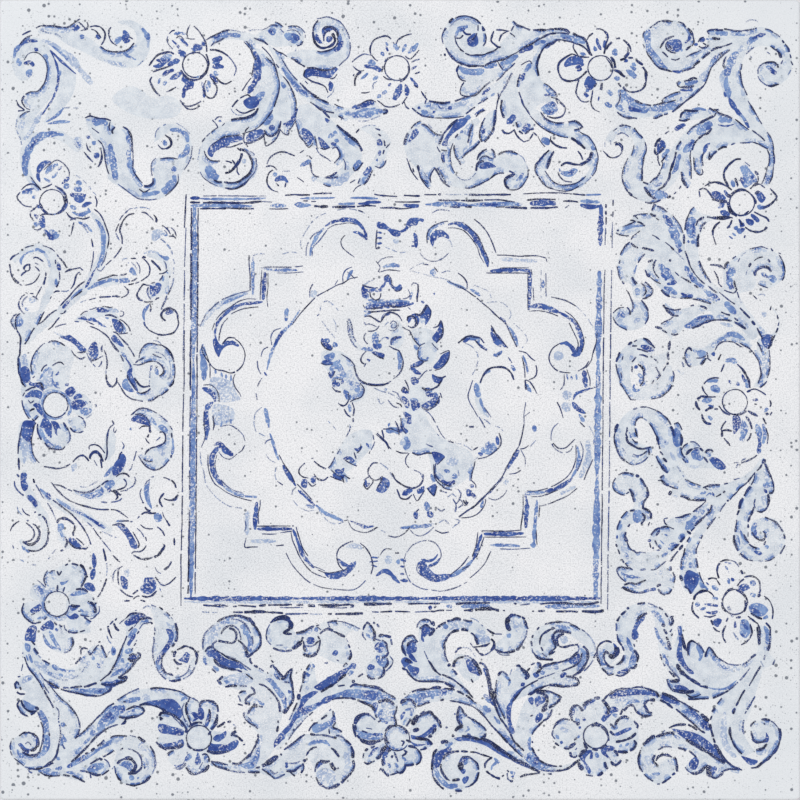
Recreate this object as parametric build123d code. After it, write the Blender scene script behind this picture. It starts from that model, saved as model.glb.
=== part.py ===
"""Square pressed porcelain tile, lying glazed face up.

One fired piece: a flat face with a soft rolled arris, an upright land that meets
the grout joint, sides that lean in below it so that the tile leaves its die, and
a back pressed with a grid of shallow cells that the adhesive keys into.

Millimetres. The origin is the middle of the back, on the faces of the ribs that
the tile lies on. +Z points out of the glazed face.
"""

from build123d import *
import math
import os

# Overall size
side = 450.0
thickness = 10.0

# Edge, from the glazed face down
corner_radius = 2.5
arris_radius = 1.5
land_height = 4.5
side_draft = 9.0
back_edge_radius = 0.8

# Keying cells of the back
cell_pitch = 35.0
rib_width = 3.0
cell_depth = 0.9
cell_draft = 40.0
cell_corner = 4.0
least_back_margin = 12.0

# Short grooves pressed across the plain margin, one beside each cell
groove_width = 6.0
groove_corner = 1.4
groove_end_clearance = 4.0


def pressed_body():
    """The tile with its edge profile and a plain back."""
    outline = RectangleRounded(side, side, corner_radius)
    land_bottom = thickness - arris_radius - land_height
    upper = extrude(Pos(0, 0, land_bottom) * outline, thickness - land_bottom)
    lower = extrude(Pos(0, 0, land_bottom) * outline, -land_bottom, taper=side_draft)
    body = upper + lower
    body = fillet(body.faces().sort_by(Axis.Z)[-1].edges(), arris_radius)
    return fillet(body.faces().sort_by(Axis.Z)[0].edges(), back_edge_radius)


def back_flat_side():
    """Width of the back's flat, inside its drafted sides and its rounded edge."""
    leaning_height = thickness - arris_radius - land_height
    drawn_in = leaning_height * math.tan(math.radians(side_draft))
    return side - 2 * (drawn_in + back_edge_radius)


def cells_across():
    """An even count, so that two ribs cross in the middle of the back."""
    return 2 * int((back_flat_side() - 2 * least_back_margin) / (2 * cell_pitch))


def pressed_recess(width, length, depth, draft, corner):
    """A recess sunk upwards from the back, with drafted walls and clipped corners."""
    mouth = Rectangle(width, length)
    mouth = chamfer(mouth.vertices(), corner)
    return extrude(mouth, depth, taper=draft)


def keying_cells():
    """The square cells, a rib's width apart."""
    mouth_side = cell_pitch - rib_width
    cell = pressed_recess(mouth_side, mouth_side, cell_depth, cell_draft, cell_corner)
    count = cells_across()
    return [spot * cell for spot in GridLocations(cell_pitch, cell_pitch, count, count)]


def margin_grooves():
    """Grooves across the plain margin on all four sides, in line with the cells."""
    count = cells_across()
    grid_side = count * cell_pitch - rib_width
    margin = (back_flat_side() - grid_side) / 2
    groove_length = margin - 2 * groove_end_clearance
    groove = pressed_recess(
        groove_width, groove_length, cell_depth, cell_draft, groove_corner
    )
    row_offset = grid_side / 2 + margin / 2
    row = [
        spot * Pos(0, row_offset, 0) * groove
        for spot in GridLocations(cell_pitch, cell_pitch, count, 1)
    ]
    return [Rot(0, 0, turn) * one for turn in (0, 90, 180, 270) for one in row]


def porcelain_tile():
    """The whole tile as one solid."""
    return pressed_body() - keying_cells() - margin_grooves()


os.makedirs("parts", exist_ok=True)
tile = porcelain_tile()
export_step(tile, "parts/porcelain_tile.step")
print("cells across", cells_across(), "volume cm3", round(tile.volume / 1000, 1))
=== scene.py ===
"""Looks of a square porcelain tile with an aged blue-and-white decoration.

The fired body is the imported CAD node, and it keeps its shape. The decoration lies on its
glazed face as it was laid there: a stippled tint first, then the cobalt washes, then the
drawn lines. Each is a low relief of brush strokes, seated in the glaze.

The drawing is kept as a squared cartoon, 800 squares each way across the face, with x to
the right and y down from the far left corner. Everything else is in metres.
"""

from __future__ import annotations

import logging
import math
import random
from dataclasses import dataclass, field
from enum import Enum
from typing import Any

import bpy
import numpy as np
from bpy.types import Material, NodeSocket, NodeTree, Object
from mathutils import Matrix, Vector

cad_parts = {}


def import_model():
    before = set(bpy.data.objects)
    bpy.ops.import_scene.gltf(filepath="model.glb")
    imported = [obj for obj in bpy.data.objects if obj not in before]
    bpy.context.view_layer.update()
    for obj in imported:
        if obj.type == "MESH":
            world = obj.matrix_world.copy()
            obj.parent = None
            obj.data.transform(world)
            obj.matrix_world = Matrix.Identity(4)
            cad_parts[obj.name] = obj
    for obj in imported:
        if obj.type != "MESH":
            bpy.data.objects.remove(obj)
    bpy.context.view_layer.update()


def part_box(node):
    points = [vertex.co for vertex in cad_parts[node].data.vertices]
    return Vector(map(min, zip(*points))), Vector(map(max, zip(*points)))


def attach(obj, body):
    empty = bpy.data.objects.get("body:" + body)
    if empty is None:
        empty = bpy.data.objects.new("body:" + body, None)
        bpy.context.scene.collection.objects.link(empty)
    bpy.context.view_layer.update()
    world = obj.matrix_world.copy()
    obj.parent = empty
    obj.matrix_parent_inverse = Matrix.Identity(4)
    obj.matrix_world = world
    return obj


LOG = logging.getLogger("porcelain_tile")

BODY = "root"
TILE_NODE = "porcelain_tile"
CARTOON_SQUARES = 800.0
MM = 0.001
TINY = 1e-9
DOUBLES_GAP = 0.0001 * MM

Point = tuple[float, float]

# The squared cartoon of each piece, one stroke after another: its brush, its width, its points.
CARTOON = {
    "cartouche_far_left": """
W4 325,226 333,222 342,220 350,219.5 357,222 362,227 366,235 367,240
W3 353,232 359,233 364,237 367,240
L1 327,229 334,225 341,224 350,223 357,225
w3.5 324,228 317,236 312,246 310,256
l1.2 320,231 313,235 307,246 306,256
l1.2 327,230 320,240 313,248 312,256
f1 301,248 301,240 306,231 312,222 319,216 326,213
f1 337,210 350,209 362,212 366,214
L1.2 345,235 341,240 342,247 347,252 354,257
f1.2 253,256 258,254 267,254
f1.2 282,254 290,252 297,253
L1.5 249,255 249,265 250,278 250,291
w4 253,257 253,275 253,295
p6 248,293 238,295 228,300 216,307 207,316 202,326
w3 244,295 233,299 222,304
l1.2 249,291 240,293 231,296 222,300 213,307 205,316 200,327
L1.3 256,299 247,299 238,302 232,306 223,312 216,320 212,330
l1.4 261,268 270,267 280,267 290,267 303,266
w3 264,269 280,270 297,270
l1.2 277,273 288,273 303,272
W4 265,272 264,285 263,300
L1.2 262,270 261,285 260,300
L1 268,273 268,285 267,297 268,307
W3.5 263,302 252,303 243,304 233,308 225,314 218,322 215,332 216,339
L1.2 258,307 247,308 237,311 231,314
L1.2 228,318 223,324 220,332 219,341
A 213,340 216,338 219,343 222,345 230,341 237,343 238,347 232,345 225,347 221,352 219,357 215,351
L1.5 222,344 228,338 235,338
W3.5 221,350 225,343 232,342 239,346
L1.4 235,339 240,343 244,350 245,357 243,364 238,370 231,373 224,371 215,369 209,362 203,353 201,343
# link and fringe at the left
w6 203,344 203,356 204,370 204,380
L1.2 202,345 207,356 210,366 210,378
w2 215,369 216,374
w2 221,372 222,378
w2 226,374 226,379
w2 231,374 231,381
q 211,378 232,382 236,392 240,400 214,400
L1.2 235,374 233,380 235,387 240,394 241,397
W5 202,388 209,391 214,396 215,402
L1.2 203,385 210,385 216,389 219,396 219,402
# ornament of the far middle
A 377,222 384,223 390,228 400,231 400,236 393,236 387,230 378,228
W2 377,232 382,233
W2 376,238 382,238
W2 376,244 382,243
L1.5 377,230 376,240 376,249
L2 376,249 380,247
f1.2 385,247 392,250 399,253
p4 393,240 399,242
A 400,233 406,231 411,226 417,225 419,221 423,222 424,219 411,218 407,222 405,228 400,231
W4 414,233 416,238 416,248
W2 411,246 416,246
W2 412,242 415,242
f1.2 400,253 406,252
""",
    "cartouche_far_right": """
A 433,247 430,241 431,235 435,231 442,230 446,233 449,236 449,239 443,237 438,238 434,243
w4 428,240 429,232 435,226 444,223
L1.3 427,243 427,234 432,227 440,223 448,221
W5 448,225 456,223 464,227 472,233 478,242 482,251 486,258 488,267
L1.4 462,222 470,228 477,235 482,245 486,254 489,262
L1.2 448,228 456,228 464,231 471,238 477,247 480,256 484,263
l1.2 420,253 424,258 430,261 437,261 443,258 449,253
f1 452,247 450,241 444,239
L1.4 474,219 480,224 487,232 492,242 496,253
l1.2 432,213 438,210 444,210 450,211
L1.4 497,255 506,255 516,256 528,256 537,256 546,258
p4 500,259 515,260 530,261 537,261
W4 490,271 505,270 518,270 530,271
L1.2 500,268 515,268 529,268
L1.2 486,273 505,273 520,273 530,273
W4 530,271 530,285 529,300 529,310
L1.2 531,269 532,275
L1.2 533,287 534,301
L1.2 528,273 528,290 528,310
L1 546,258 547,262
l1.2 546,273 546,285 546,297
w4 543,280 543,288
f1 541,270 541,298
W5 529,307 540,306 550,309 558,312
L1.2 529,311 540,311 550,313 558,316
W4 558,312 566,316 574,322 579,331 582,341 581,350 579,356
L1.2 569,323 574,333 578,343 577,352
L1.2 565,311 573,317 580,328 584,341 582,352
L1.4 551,297 560,299 567,301 576,306
f1 576,306 585,315 592,325 594,329
L1.3 597,333 596,343 593,353 591,361 586,368
L1.4 560,343 553,348 549,356 550,363 555,369 562,372 570,373
L1.4 578,371 585,367 589,361
W4 560,344 566,343 572,348 575,355
A 571,355 575,351 578,346 582,350 580,355 575,357
p8 557,351 560,360
L1.2 564,374 564,383 562,388 560,390
w2 567,374 568,380
w2 571,376 572,380
w2 576,374 577,380
W5 584,370 585,380 586,388
L1.2 587,369 590,380 590,386
W3 591,388 583,391 576,394 573,400
l1.2 590,389 597,386 600,382
p8 563,392 570,398
L1.3 557,402 560,408 563,418
p9 565,402 567,412
W5 572,402 577,408 585,413
w4 579,414 584,422
L1.3 580,422 585,427
""",
    "cartouche_near_left": """
W6 213,402 207,408 206,418 207,430 206,440
L1.4 213,415 214,425 213,430
L1.2 204,412 204,425 205,438 200,450
q 214,405 232,408 234,420 214,424
w2 215,422 214,427
w2 222,421 221,427
w2 227,420 226,424
w2 231,418 231,424
l1.2 220,427 229,425 237,429 243,435 245,441
L1.2 245,445 242,450 238,453
W4 214,445 220,443 224,447 228,451 233,456
W5 222,443 225,450 232,455
l1.3 219,452 223,457 230,459 237,454
W4.5 224,444 217,449 212,457 212,468 216,478 223,486
w3 223,486 232,492 245,496 257,497
l1.2 217,455 215,464 217,474 222,481 231,489 243,493
L1.2 208,455 208,466 210,475 215,484 219,487
L1.2 219,487 228,493 240,498 252,501
f1.2 200,452 201,462 204,473 206,484 213,494 222,502 232,507 242,508
W4.5 257,502 256,512 255,525 255,530
L1.2 260,500 260,506 258,515 259,524
p5 247,510 247,520 247,535
l1.2 245,520 246,526 245,531
L1.4 246,538 245,547 252,547
W4 257,529 270,529 280,529 292,529
L1.3 256,526 275,526 294,526
l1.2 262,534 277,534
l1.2 280,533 292,531
p4 251,541 262,541 276,541
L1.3 247,547 258,547
L1.3 276,546 284,545
W3.5 293,529 296,537 299,545 303,555 309,563 314,568
L1.3 296,527 299,537 302,546 308,556
L1.3 291,531 293,541 298,553 303,562 311,571 320,576 326,578
l1.1 309,565 318,568 325,571
L1.2 286,553 291,563 299,573 309,582 320,587 332,589
l1.2 333,589 345,590 355,589 362,584 368,577
W6 326,575 333,576 342,574 349,569 353,563
L1.4 318,570 326,573 337,572 347,569
A 324,572 333,573 345,571 350,565 356,561 355,567 349,573 340,578 330,579
W4 338,559 343,564 349,566
L1.5 344,571 339,565 337,557 338,550 343,545 353,541
L1.5 360,543 366,548 371,557 373,566 371,574
p4 345,546 357,546 362,549
W2 369,562 378,561
W2 371,557 378,558
W2 371,565 377,567
# ornament of the near middle
L1.2 380,555 385,549 392,549
W4 376,576 384,571 390,573 396,580 400,583
L2 395,553 399,553
p7 385,560 392,560
w4 396,562 400,562
""",
    "cartouche_near_right": """
l1.2 558,423 553,428 551,437 553,446 558,451 564,453 570,451 573,446
L1.5 553,443 558,448 565,448 571,443 575,439
w4 577,446 579,456 577,468 571,478
W4.5 573,478 565,484 555,489 545,492
w4 545,492 535,493 525,493
L1.3 576,445 576,457 573,468 568,476 560,482 548,488 536,491 527,491
L1.3 531,497 541,496 550,493 558,490
l1.2 580,441 583,450 581,462 577,472
f1.2 589,426 594,436 594,445
L1.2 593,459 588,470 584,480
L1.3 577,488 567,496 556,501 548,504 540,506
p6 588,440 588,460 580,478
p4 576,486 560,494
W4.5 525,494 527,505 526,516 526,528
L1.3 523,495 523,510 521,525 521,530
w4 537,500 536,512 535,525 534,540 534,546
L1.3 540,505 539,517
L1.3 536,530 537,545
W4 524,533 510,534 495,534 484,534
L1.3 482,531 495,531 510,531 521,530
L1.2 484,537 500,537 515,537 526,537
w3 490,545 505,545 520,546
l1.2 500,549 515,549 530,548
w5 530,545 536,545
W3.5 482,534 479,542 476,552 473,560
w4 473,560 465,568 455,574 446,578
L1.3 478,532 476,545 472,557
L1.3 484,537 480,548 476,558
L1.3 469,556 460,567 450,575
L1.3 462,570 470,565
A 418,563 424,561 428,567 436,574 446,574 452,575 446,580 436,582 428,580 421,575
l1.2 407,552 413,545 423,541 433,542 439,548 441,556 437,563 430,567 424,565
W3 421,559 427,561 434,559 438,554
W3 428,566 436,563 440,558
l1.2 418,563 417,570 422,576 429,579
l1.3 406,553 404,561 405,570 410,581 420,588 432,590 442,591 455,588 467,582
L1.2 470,578 478,571 485,563 489,555 491,551
W4 400,559 406,561
W2 400,566 405,567
W3 400,574 404,574
W3 400,580 408,581
""",
    "medallion": """
# far left
L1.2 358,277 350,279 343,283 337,285 330,289 323,293 316,297 310,303 300,314 292,325
l1.2 343,283 343,276 346,270 352,267
w3 347,280 350,274 353,270
l1.1 355,279 351,275 347,272
l1.1 310,298 310,290 313,284 316,281
p6 315,290 312,297
l1.1 335,285 338,280
w3 300,310 290,325 280,335 275,345 270,357 267,370
w4 285,317 287,310 286,321
l1.3 272,345 271,337 274,331 281,328
W4 275,345 277,340 283,331
l1.1 261,357 263,350 268,347
l1.3 257,361 258,368 262,376
W3 264,372 267,376
l1.2 257,387 260,381 262,378
l1.2 256,393 257,400
# far middle shell
l1.3 378,263 382,259 388,257 393,257
L1.3 376,261 380,267 378,272
L1.2 379,272 389,270 400,271
w4 383,267 393,265 400,266
# far right
L1.3 423,264 429,265
f1.1 409,270 417,265 424,263
L1.4 434,267 438,272
w6 430,272 436,273
f1.1 410,271 420,273 430,276 440,278 450,281
w3 447,281 456,285 466,289
L1.4 448,281 458,286 467,291 474,296 476,297
L1.6 477,298 485,305 493,312 500,319 506,324 509,331 513,339 517,347 519,351
W2.5 500,317 506,322
w3 508,326 514,335 518,346
f1 441,273 447,271 453,272
L1.4 458,273 463,277 467,283 467,289
w3 470,289 478,294 480,296
f1 474,285 482,288 489,292 491,298
f1.1 487,303 493,302 502,303 508,308 511,315 508,321
f1 513,323 520,329 526,336 527,341 522,348
L1.4 519,351 526,353 531,358 535,361
L1.4 536,365 537,371 535,377 529,380
w3 523,355 526,364 528,374
L1.2 522,357 524,366 525,378
L1.4 526,380 530,382 534,388 537,394
w4 527,384 530,392
L2 525,380 526,390
# near left
w4 265,408 267,418 269,428
w3 270,433 273,443 276,453 279,460
L1.4 279,455 284,464 290,473 295,482
W4 283,465 287,473 292,480 296,486
L1.4 297,484 305,492 312,500
W3.5 298,490 306,497 315,506
w4 316,505 325,513 334,517 343,521
L1.3 344,521 348,520
W3 350,521 358,524 365,527 374,526
f1.1 262,407 256,413 254,423 256,432
f1 259,433 265,436
l1.2 265,444 267,441 272,439
f1 266,454 270,460 279,464
f1 276,467 275,475 278,484
L1.3 277,481 283,485
l1.1 296,487 293,490 292,495
f1 293,500 298,506 307,511 315,510
w3 306,505 314,508
f1.1 318,508 322,515 329,522 337,524 344,522
L1.1 348,521 352,528 360,532 368,532 377,527
L1.4 370,532 378,527
f1 381,530 386,533
L1.3 388,536 395,537 400,536
# near right
w4 400,528 412,527 424,526 434,524
L1.4 400,536 405,533 410,527
l1.2 410,529 414,534 420,536 427,533 434,527
L1.3 435,530 442,533 449,532
f1 452,528 460,522
L2 459,517 467,511 475,506 481,500 486,495 493,488 500,480 504,473 507,468
L1.4 461,518 470,517 477,514 483,508 486,501 485,499
w3 483,500 481,508
l1.1 488,498 495,500 503,496 507,490
W3 488,494 496,485 503,477
p5 504,485 508,480
L1.6 505,470 510,461 515,452 519,446
W4 508,469 514,458 519,450
L1.3 509,474 516,473 521,470
l1.1 521,450 525,458 525,466
L1.5 519,446 522,435 524,424
L1.3 520,449 525,448 529,445
l1.1 524,424 524,412 526,402
l1.2 525,416 530,412
w4 534,425 535,432
f1 536,440 530,447
""",
    "square_frame": """
L2.2 203,605 212,606 222,605.5 228,606.5
W4 213,605.5 226,606
L2 233,606.5 237,606
L2.2 238,605.5 256,606.5
L3 259,606 266,605
L2.4 268,605 280,605 292,604.5
L2 296,605 303,605
L3.2 308,605.5 315,606
L3.2 318,605 330,605.5 350,604.5
L3 350,604.5 354,606
L3.4 364,604 372,604 384,604 392,604
l1.6 280,607.5 292,607.8 303,607.5
l1.4 322,607 340,608 354,607
f1.2 202,612 210,612.4 218,612.5
L1.6 219,612.5 220,612.5
L2.2 233,612.3 243,612.3
L3.6 244,612.3 256,611.8 266,612
L2.4 266,612 272,612.5 283,613
l2 285,614 300,614 308,613.5
f1.6 310,614 325,614
L2.6 328,614 332,614
L2.6 335,614 345,614
L3.6 345,613.8 354,613.6 363,613.4
l1.4 372,612 379,612.3
L1.8 380,612 392,611.5
L1.8 395,611.5 410,612
W5 428,607 432,608
w5 446,606 452,606.5
L2.8 456,604 462,603.5 476,603 490,603
w5 461,606.5 470,606 490,606
l1.6 415,612 430,611.5
L2.2 430,611.5 434,611.5 438,610.3 444,610.3
l1.4 446,610.4 452,610.4
L3 464,610.3 473,610.3
L4 475,609.8 485,608.8 492,609 499,610.4
L1.6 503,610.3 505,610.4
L1.8 514,603.8 517,604
l1.6 520,605 530,604
L2.8 540,604 550,603 562,603 576,604
L2.8 576,604 588,604 599,602
w5 545,606.5 570,606 600,606
L2 532,611.3 534,611.3
L2.8 538,611.3 545,611
L3.2 556,611.3 568,611.3 578,611.8
L3.4 582,611.3 597,611.8 604,610.6
# far side
L1.6 186,194 185.5,205 185,216 184.5,228
W3 190,198 200,198
w2.6 200,198.5 220,199 245,199 266,198
l1.3 203,196 230,196 266,196
L2.6 190,202.5 200,202.5
L2.8 203,202.5 220,202.5 240,203 262,201.5
l1.3 262,201.5 272,202
w4 190,205.5 210,205.5 230,206 252,206
L2.2 200,209 215,208.5 226,208.5
L2 226,208 240,208.5 254,208.5
w4 270,206 278,205.5 286,206
L1.3 269,209 280,209 288,208.5
L2 285,195.5 294,194.5 300,195 310,195
w4.5 294,204.5 303,205 311,205
L2 303,201 308,201
L1.8 313,194 320,193.5 332,193.5
w2.6 300,198.5 318,198 335,198
w2.6 350,198 362,198 378,198.5
L1.6 311,201.5 316,201.5
L3.4 314,206 321,206.5 328,206.5
L2.8 332,207 345,207 355,206.5
w3 338,204 348,204 355,203.5
L2 357,206.5 366,205.5 376,206
W3 358,204 370,203.5
W3 365,202 373,202 381,202
L2 374,194 380,195.5 388,196 397,196.5
L2.4 404,195.5 412,196 420,196
L1.8 395,202 405,202 420,202
W4.5 403,205 412,206 419,206
L2 380,208 392,208 402,209 412,208
L1.4 358,210 363,212
L1.6 424,194.5 436,194.5
L2.4 438,194.5 441,194.5
f1.2 445,194.5 456,194.5 468,194.5
L2.6 469,194.5 485,195 495,194.5 511,194.5
L2 438,200 450,200.5 460,200
L2.4 461,200.5 472,200.5 483,200.5
L1.6 484,200 500,200 515,202
w4.6 425,204.5 440,204 455,204 470,205
w4.6 470,205 490,204.5 510,204 522,205
W2.6 452,205 470,205.5
W2.6 480,204.5 498,204.5
L2 450,207 460,207
L2.8 465,207 472,207
L1.8 496,207 505,207
L2.8 505,207.5 515,207.5 527,208
L1.4 523,194 540,193 560,193 572,194
L1.8 573,194 585,195
w2 585,195 601,194.5
W6.5 530,203.5 545,202.5 556,204
L2.6 530,208 545,208 558,207
L2 527,200 540,199 556,199.5
L2.2 563,201 570,201 578,202
L1.4 565,208 569,205
w4 580,201 590,201.5 600,202
W5 580,205 590,207 601,206
# left side
l1.3 186,228 185,250 184.5,280 184,320 183,360
L1.3 184.5,330 184,380 183,420 182.5,470 182,520 181,560 181,606
w5.6 194.5,204 194.5,240 194.5,280 194,320 193.5,360
w5.6 193.5,360 193.5,400 193,440 192.5,480 192.5,520 191.5,560 191,598
L2.6 191.5,208 191.5,240 191.2,280 191,320
L2.2 190.8,330 190.5,360 190.5,390
l1.6 190.2,396 190,430 189.8,460 189.5,500
L2 189.4,510 189,540 188.5,570 188,594
L1.8 198,208 198,260 197.5,310 197,360 197,400
L1.4 197,400 196.5,450 196,500 195.5,550 195,594
# right side
W5.4 601,204 601,215 600.5,226 600,246
w6 599.5,270 599,300 598.5,330 598,360
w6.5 598,360 598,400 597.5,440 597,480
w6.5 597,480 596.5,520 596,560 595.5,600
L2 606,204 606,208
L2.2 606,211 606,215
L2 606,217 606,225
l1.3 605.5,228 605,247
L1.3 605,270 604,300 603.5,340 603,380 603,420
L1.3 603,420 602.5,470 602,520 601.5,560 601,604
L1.5 613,200 613,206
L1.6 613,211 612.8,217
l1.3 612.5,222 612,248
l1.3 611.5,270 611,300 610.5,340 610,400 609.5,450
l1.3 609.5,450 609,500 608,560 607.5,610
# near side
W5 184,598.5 220,598.5 260,598.5 300,598.5
W5 300,598.5 340,598.5 380,598.5 420,598.5
W5 420,598.5 460,598.5 500,598.5 540,598.5 600,598.5
p3 184,602 300,602 400,602
p3 400,602 500,602 600,602
""",
    "lion": """
# crown
W5 363,286 364,292 365,298
W4 364,289 370,291 376,288
L1.6 362,285 368,287 378,288
f1.4 362,285 366,284 370,281 375,280
W2.6 375,291 382,290
W2.6 378,290 384,285 386,280
L1.3 370,292 371,297 376,300 380,298 381,293
w4 367,293 367,299
A 384,277 388,275 391,279 392,284 396,287 400,284 402,287 400,291 395,290 391,287 388,282 385,283
L1.4 384,277 388,275 391,279 392,285 396,291 401,290 402,287
l1.2 408,289 410,295 407,298 403,299
L1 396,294 397,295
l1.3 411,286 413,283 417,284 418,288
L2 418,284 418,291 417,297 417,302
w3 412,292 410,300
w3 366,304 380,303 396,301 410,302
W5.5 365,308 378,306 392,305 410,304
L2.2 366,309 378,308 386,306 400,307 410,305
L2 368,312 384,311 400,310
w3 368,300 376,301 384,300
L1.3 363,305 365,309
W2.5 408,305 414,303
l1.4 408,307 411,310
# brow and eye
L2 364,317 370,316 375,319 380,322 384,317 388,313 394,313 399,316 402,321
w3 364,311 370,312 364,316
W2.5 381,320 385,315 390,314
l1.3 390,324 393,321 397,324 395,328 391,327 393,323
l1.2 389,330 393,331 397,328 399,324
f1.2 384,327 387,323 390,321
L1.4 402,327 406,329 410,331 411,335
W4.5 409,323 410,318 414,316 417,320 416,325 412,328
L2.2 407,321 408,317 412,316 416,319 416,325 412,328 408,326
# cheek, nose and mouth
l1.2 366,325 369,324 373,325 377,327
L1.6 368,331 373,331 377,329 379,326
l1.4 364,322 366,325
L1.3 366,333 364,337 365,341 368,344
w6 376,332 375,338 376,345
W6 373,344 377,347 381,344
W2.5 378,333 378,337
W3 386,337 389,339
W3.4 391,345 392,341 396,338 402,337
L1.4 391,345 392,340 397,337
f1 380,341 383,338 386,337
w5 361,349 367,349 373,350
W4 372,352 378,354 384,355
W5 380,353 383,358
L1.6 373,353 379,357 384,359
L1.5 366,351 362,356 361,361 364,364 367,363
W2.5 367,359 370,361
l1.3 366,364 364,367
# throat
L1.6 389,346 394,349 399,351 402,357 403,364 401,371 397,376 393,379
w5 398,352 400,360 399,370
L2 354,366 356,373 358,378 363,382 371,385 381,385 388,383 391,381
W2.6 358,379 364,383 374,385 384,384
L1.4 341,354 347,358 351,361 355,366
l1.8 347,322 349,319 351,323 352,330 353,336 356,342
W2 349,325 350,332
l1.6 348,322 348,330 350,338 353,344 357,348
t 347,320 351,320 354,338 362,348 358,350 350,340
f1.4 374,388 381,391 388,393 395,396 400,400
l1.4 392,391 397,393 400,398 402,403
f1.3 384,402 381,404 377,398 374,397
L1.8 396,403 400,404 402,407
l1.6 388,400 393,406 399,408
w3 384,390 387,389
# fore arm and paw
f1.3 320,311 321,305 326,301 332,304 337,309 340,314
f1.2 322,321 325,325 329,331 335,338
l1.3 317,316 319,314
f1 333,319 336,325 336,332
W5 322,338 323,343 328,346 332,349
L1.6 321,342 325,348 331,350 333,346
w8 324,339 327,344
w5 334,342 336,347
w6 324,357 330,357 334,353
W4 322,362 328,362 333,364
L1.5 321,363 326,365 333,364
w7 330,370 334,366 340,360
W4 329,372 331,377 334,371
L1.5 328,373 332,377 335,371
w7 338,364 342,372 344,378
W5 335,380 334,385 340,384
W4 343,378 342,384
L1.8 332,387 336,391 341,392
L1.3 333,382 335,379 342,380
p10 350,370 350,380 352,390
t 322,352 342,352 356,366 358,378 366,384 366,396 352,402 342,390 334,378 324,366
w6 356,382 358,388 356,392
L1.5 360,383 364,389 362,396 357,399
w6 344,390 348,396 350,400
L1.3 340,404 345,405 349,399 348,393
L1.5 338,403 342,406 347,404
w4 350,378 352,386
w4 362,392 358,396
# arm below
L1.3 350,402 353,400 358,398
L1.7 344,409 347,414 351,417
L1.8 352,402 354,409 353,416
L1.8 353,418 353,422
w4 349,404 350,412
l1.3 351,426 349,432 346,437
f1 350,424 350,430
# left hind foot and thigh
l1.3 340,449 337,454
L1.6 335,457 332,463 328,468
f1 336,430 333,426 328,421
L1.5 311,459 314,458
L1.8 314,461 320,466 326,469
L1.6 305,463 300,468 299,473 303,477 308,478
L1.8 314,474 318,479 324,480 328,477
A 303,479 307,480 306,488 301,486
A 311,478 315,476 315,484 311,482
L1.4 308,482 312,486 316,484
L1.6 330,476 337,479 343,481
W5 335,470 341,472 344,468
W5 333,474 340,478 344,475
L1.5 331,470 337,475 342,477 344,483
L1.5 344,475 350,479
W3.5 343,459 350,458 354,462
L1.4 345,460 352,464 357,466
W3.5 354,448 358,450 362,446
L1.5 354,452 356,459
L1.4 361,444 360,450 357,453
W3 366,443 369,447
L1.3 370,451 369,454
l1.3 373,435 374,440
l1.2 375,441 373,446 371,450
t 344,440 360,430 372,432 370,448 358,462 350,470 340,474 330,470
# right fore leg
L2 377,433 383,439 387,444 389,449
L1.4 376,434 384,441 391,449
w6 386,431 394,430 400,432
L1.6 382,430 384,438
L1.5 383,429 392,429 398,432
L1.8 395,421 398,427 399,435
W4 396,428 402,432
w5 388,424 390,425
# second paw
L1.7 378,463 373,463 369,468 368,473 371,478 376,480 382,478
f1.4 380,463 387,468 391,474 395,480
L2 392,473 396,480 401,484 407,487 414,488 420,485 423,480 423,474
f1.3 414,470 419,472 423,476
W4.5 366,480 366,486 370,483
L1.6 364,480 369,477 373,481 370,486 367,489 364,485 365,481
A 380,477 388,479 390,485 386,491 381,493 376,490 380,484
L1.6 382,476 381,481 377,488
L1.4 384,482 388,488
w7 383,482 386,486
L1.8 397,489 399,494 401,498 407,499 412,495
W5 402,495 407,492 412,489
# mane on the left of the body
W6 402,392 405,390 408,394
W5 402,396 406,402 408,408
L1.6 401,391 404,388 408,391
W6 404,412 409,418 409,424
W5 401,424 404,430 408,432
L1.4 401,418 402,428 406,434
w6 405,436 408,445 404,449
w5 410,400 418,402
A 411,401 419,402 420,407 413,411
L1.5 405,380 407,384 409,390
# body
L1.5 396,451 401,453 408,453
A 423,404 430,400 438,396 440,402 434,408 428,409 421,406
W5 426,393 432,395 438,394
L1.6 421,407 428,410 436,404 440,396
L1.5 440,393 442,398
L2.4 422,388 428,390 434,389
l1.3 422,408 430,414 436,424 441,434 445,439
L1.3 448,441 454,443
f1.2 455,443 464,445 470,449 473,451
L1.6 473,450 478,447
L1.5 409,453 406,458 406,464 409,468
L1.6 412,453 418,455 426,453 432,453
A 432,452 440,453 445,457 440,461 437,464 434,459
L1.4 445,457 440,462 437,465
l1.4 414,470 420,473 423,479
# round of the haunch
L2 434,464 434,472 436,480 441,485
L1.6 436,463 435,472 438,479 444,484 450,486 455,483
W4 441,480 448,484 455,481
w5 431,474 434,482
w5 452,478 457,475
f1.3 458,470 459,476
w3 444,470 450,472
L1.6 441,485 446,489 452,490
# toes under the haunch
A 417,490 424,486 423,492 418,494
L1.4 413,494 417,501 421,496 425,490
A 428,488 436,484 436,492 434,496 430,492
L1.6 427,488 431,493 434,496 437,486
# right hind leg
L1.5 475,461 474,467 472,474 471,481
W5 470,485 474,487
W6 467,489 471,496
W3.5 471,493 476,498
L1.5 471,480 475,484 476,488
L1.6 466,500 467,505 464,505
w3 468,471 471,474
w10 481,450 488,450 496,446
W3 478,453 483,455
L1.6 478,459 486,457 494,452 500,446 501,440 499,433
W3 497,436 498,445
w4 486,446 490,442
f1.2 474,460 478,457
# tail
L2.4 458,343 462,340 466,337 470,336 475,337 480,338 484,343
w5 464,338 472,338 480,341
W3.5 463,342 470,338
W3.5 477,342 481,346 487,350
L1.4 475,340 480,346 487,351
f1.3 465,343 471,346 476,351 478,359 476,368 472,375
l1.2 473,380 470,388 468,396 470,403 474,410 478,417
l1.3 479,417 482,422 485,428
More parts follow.
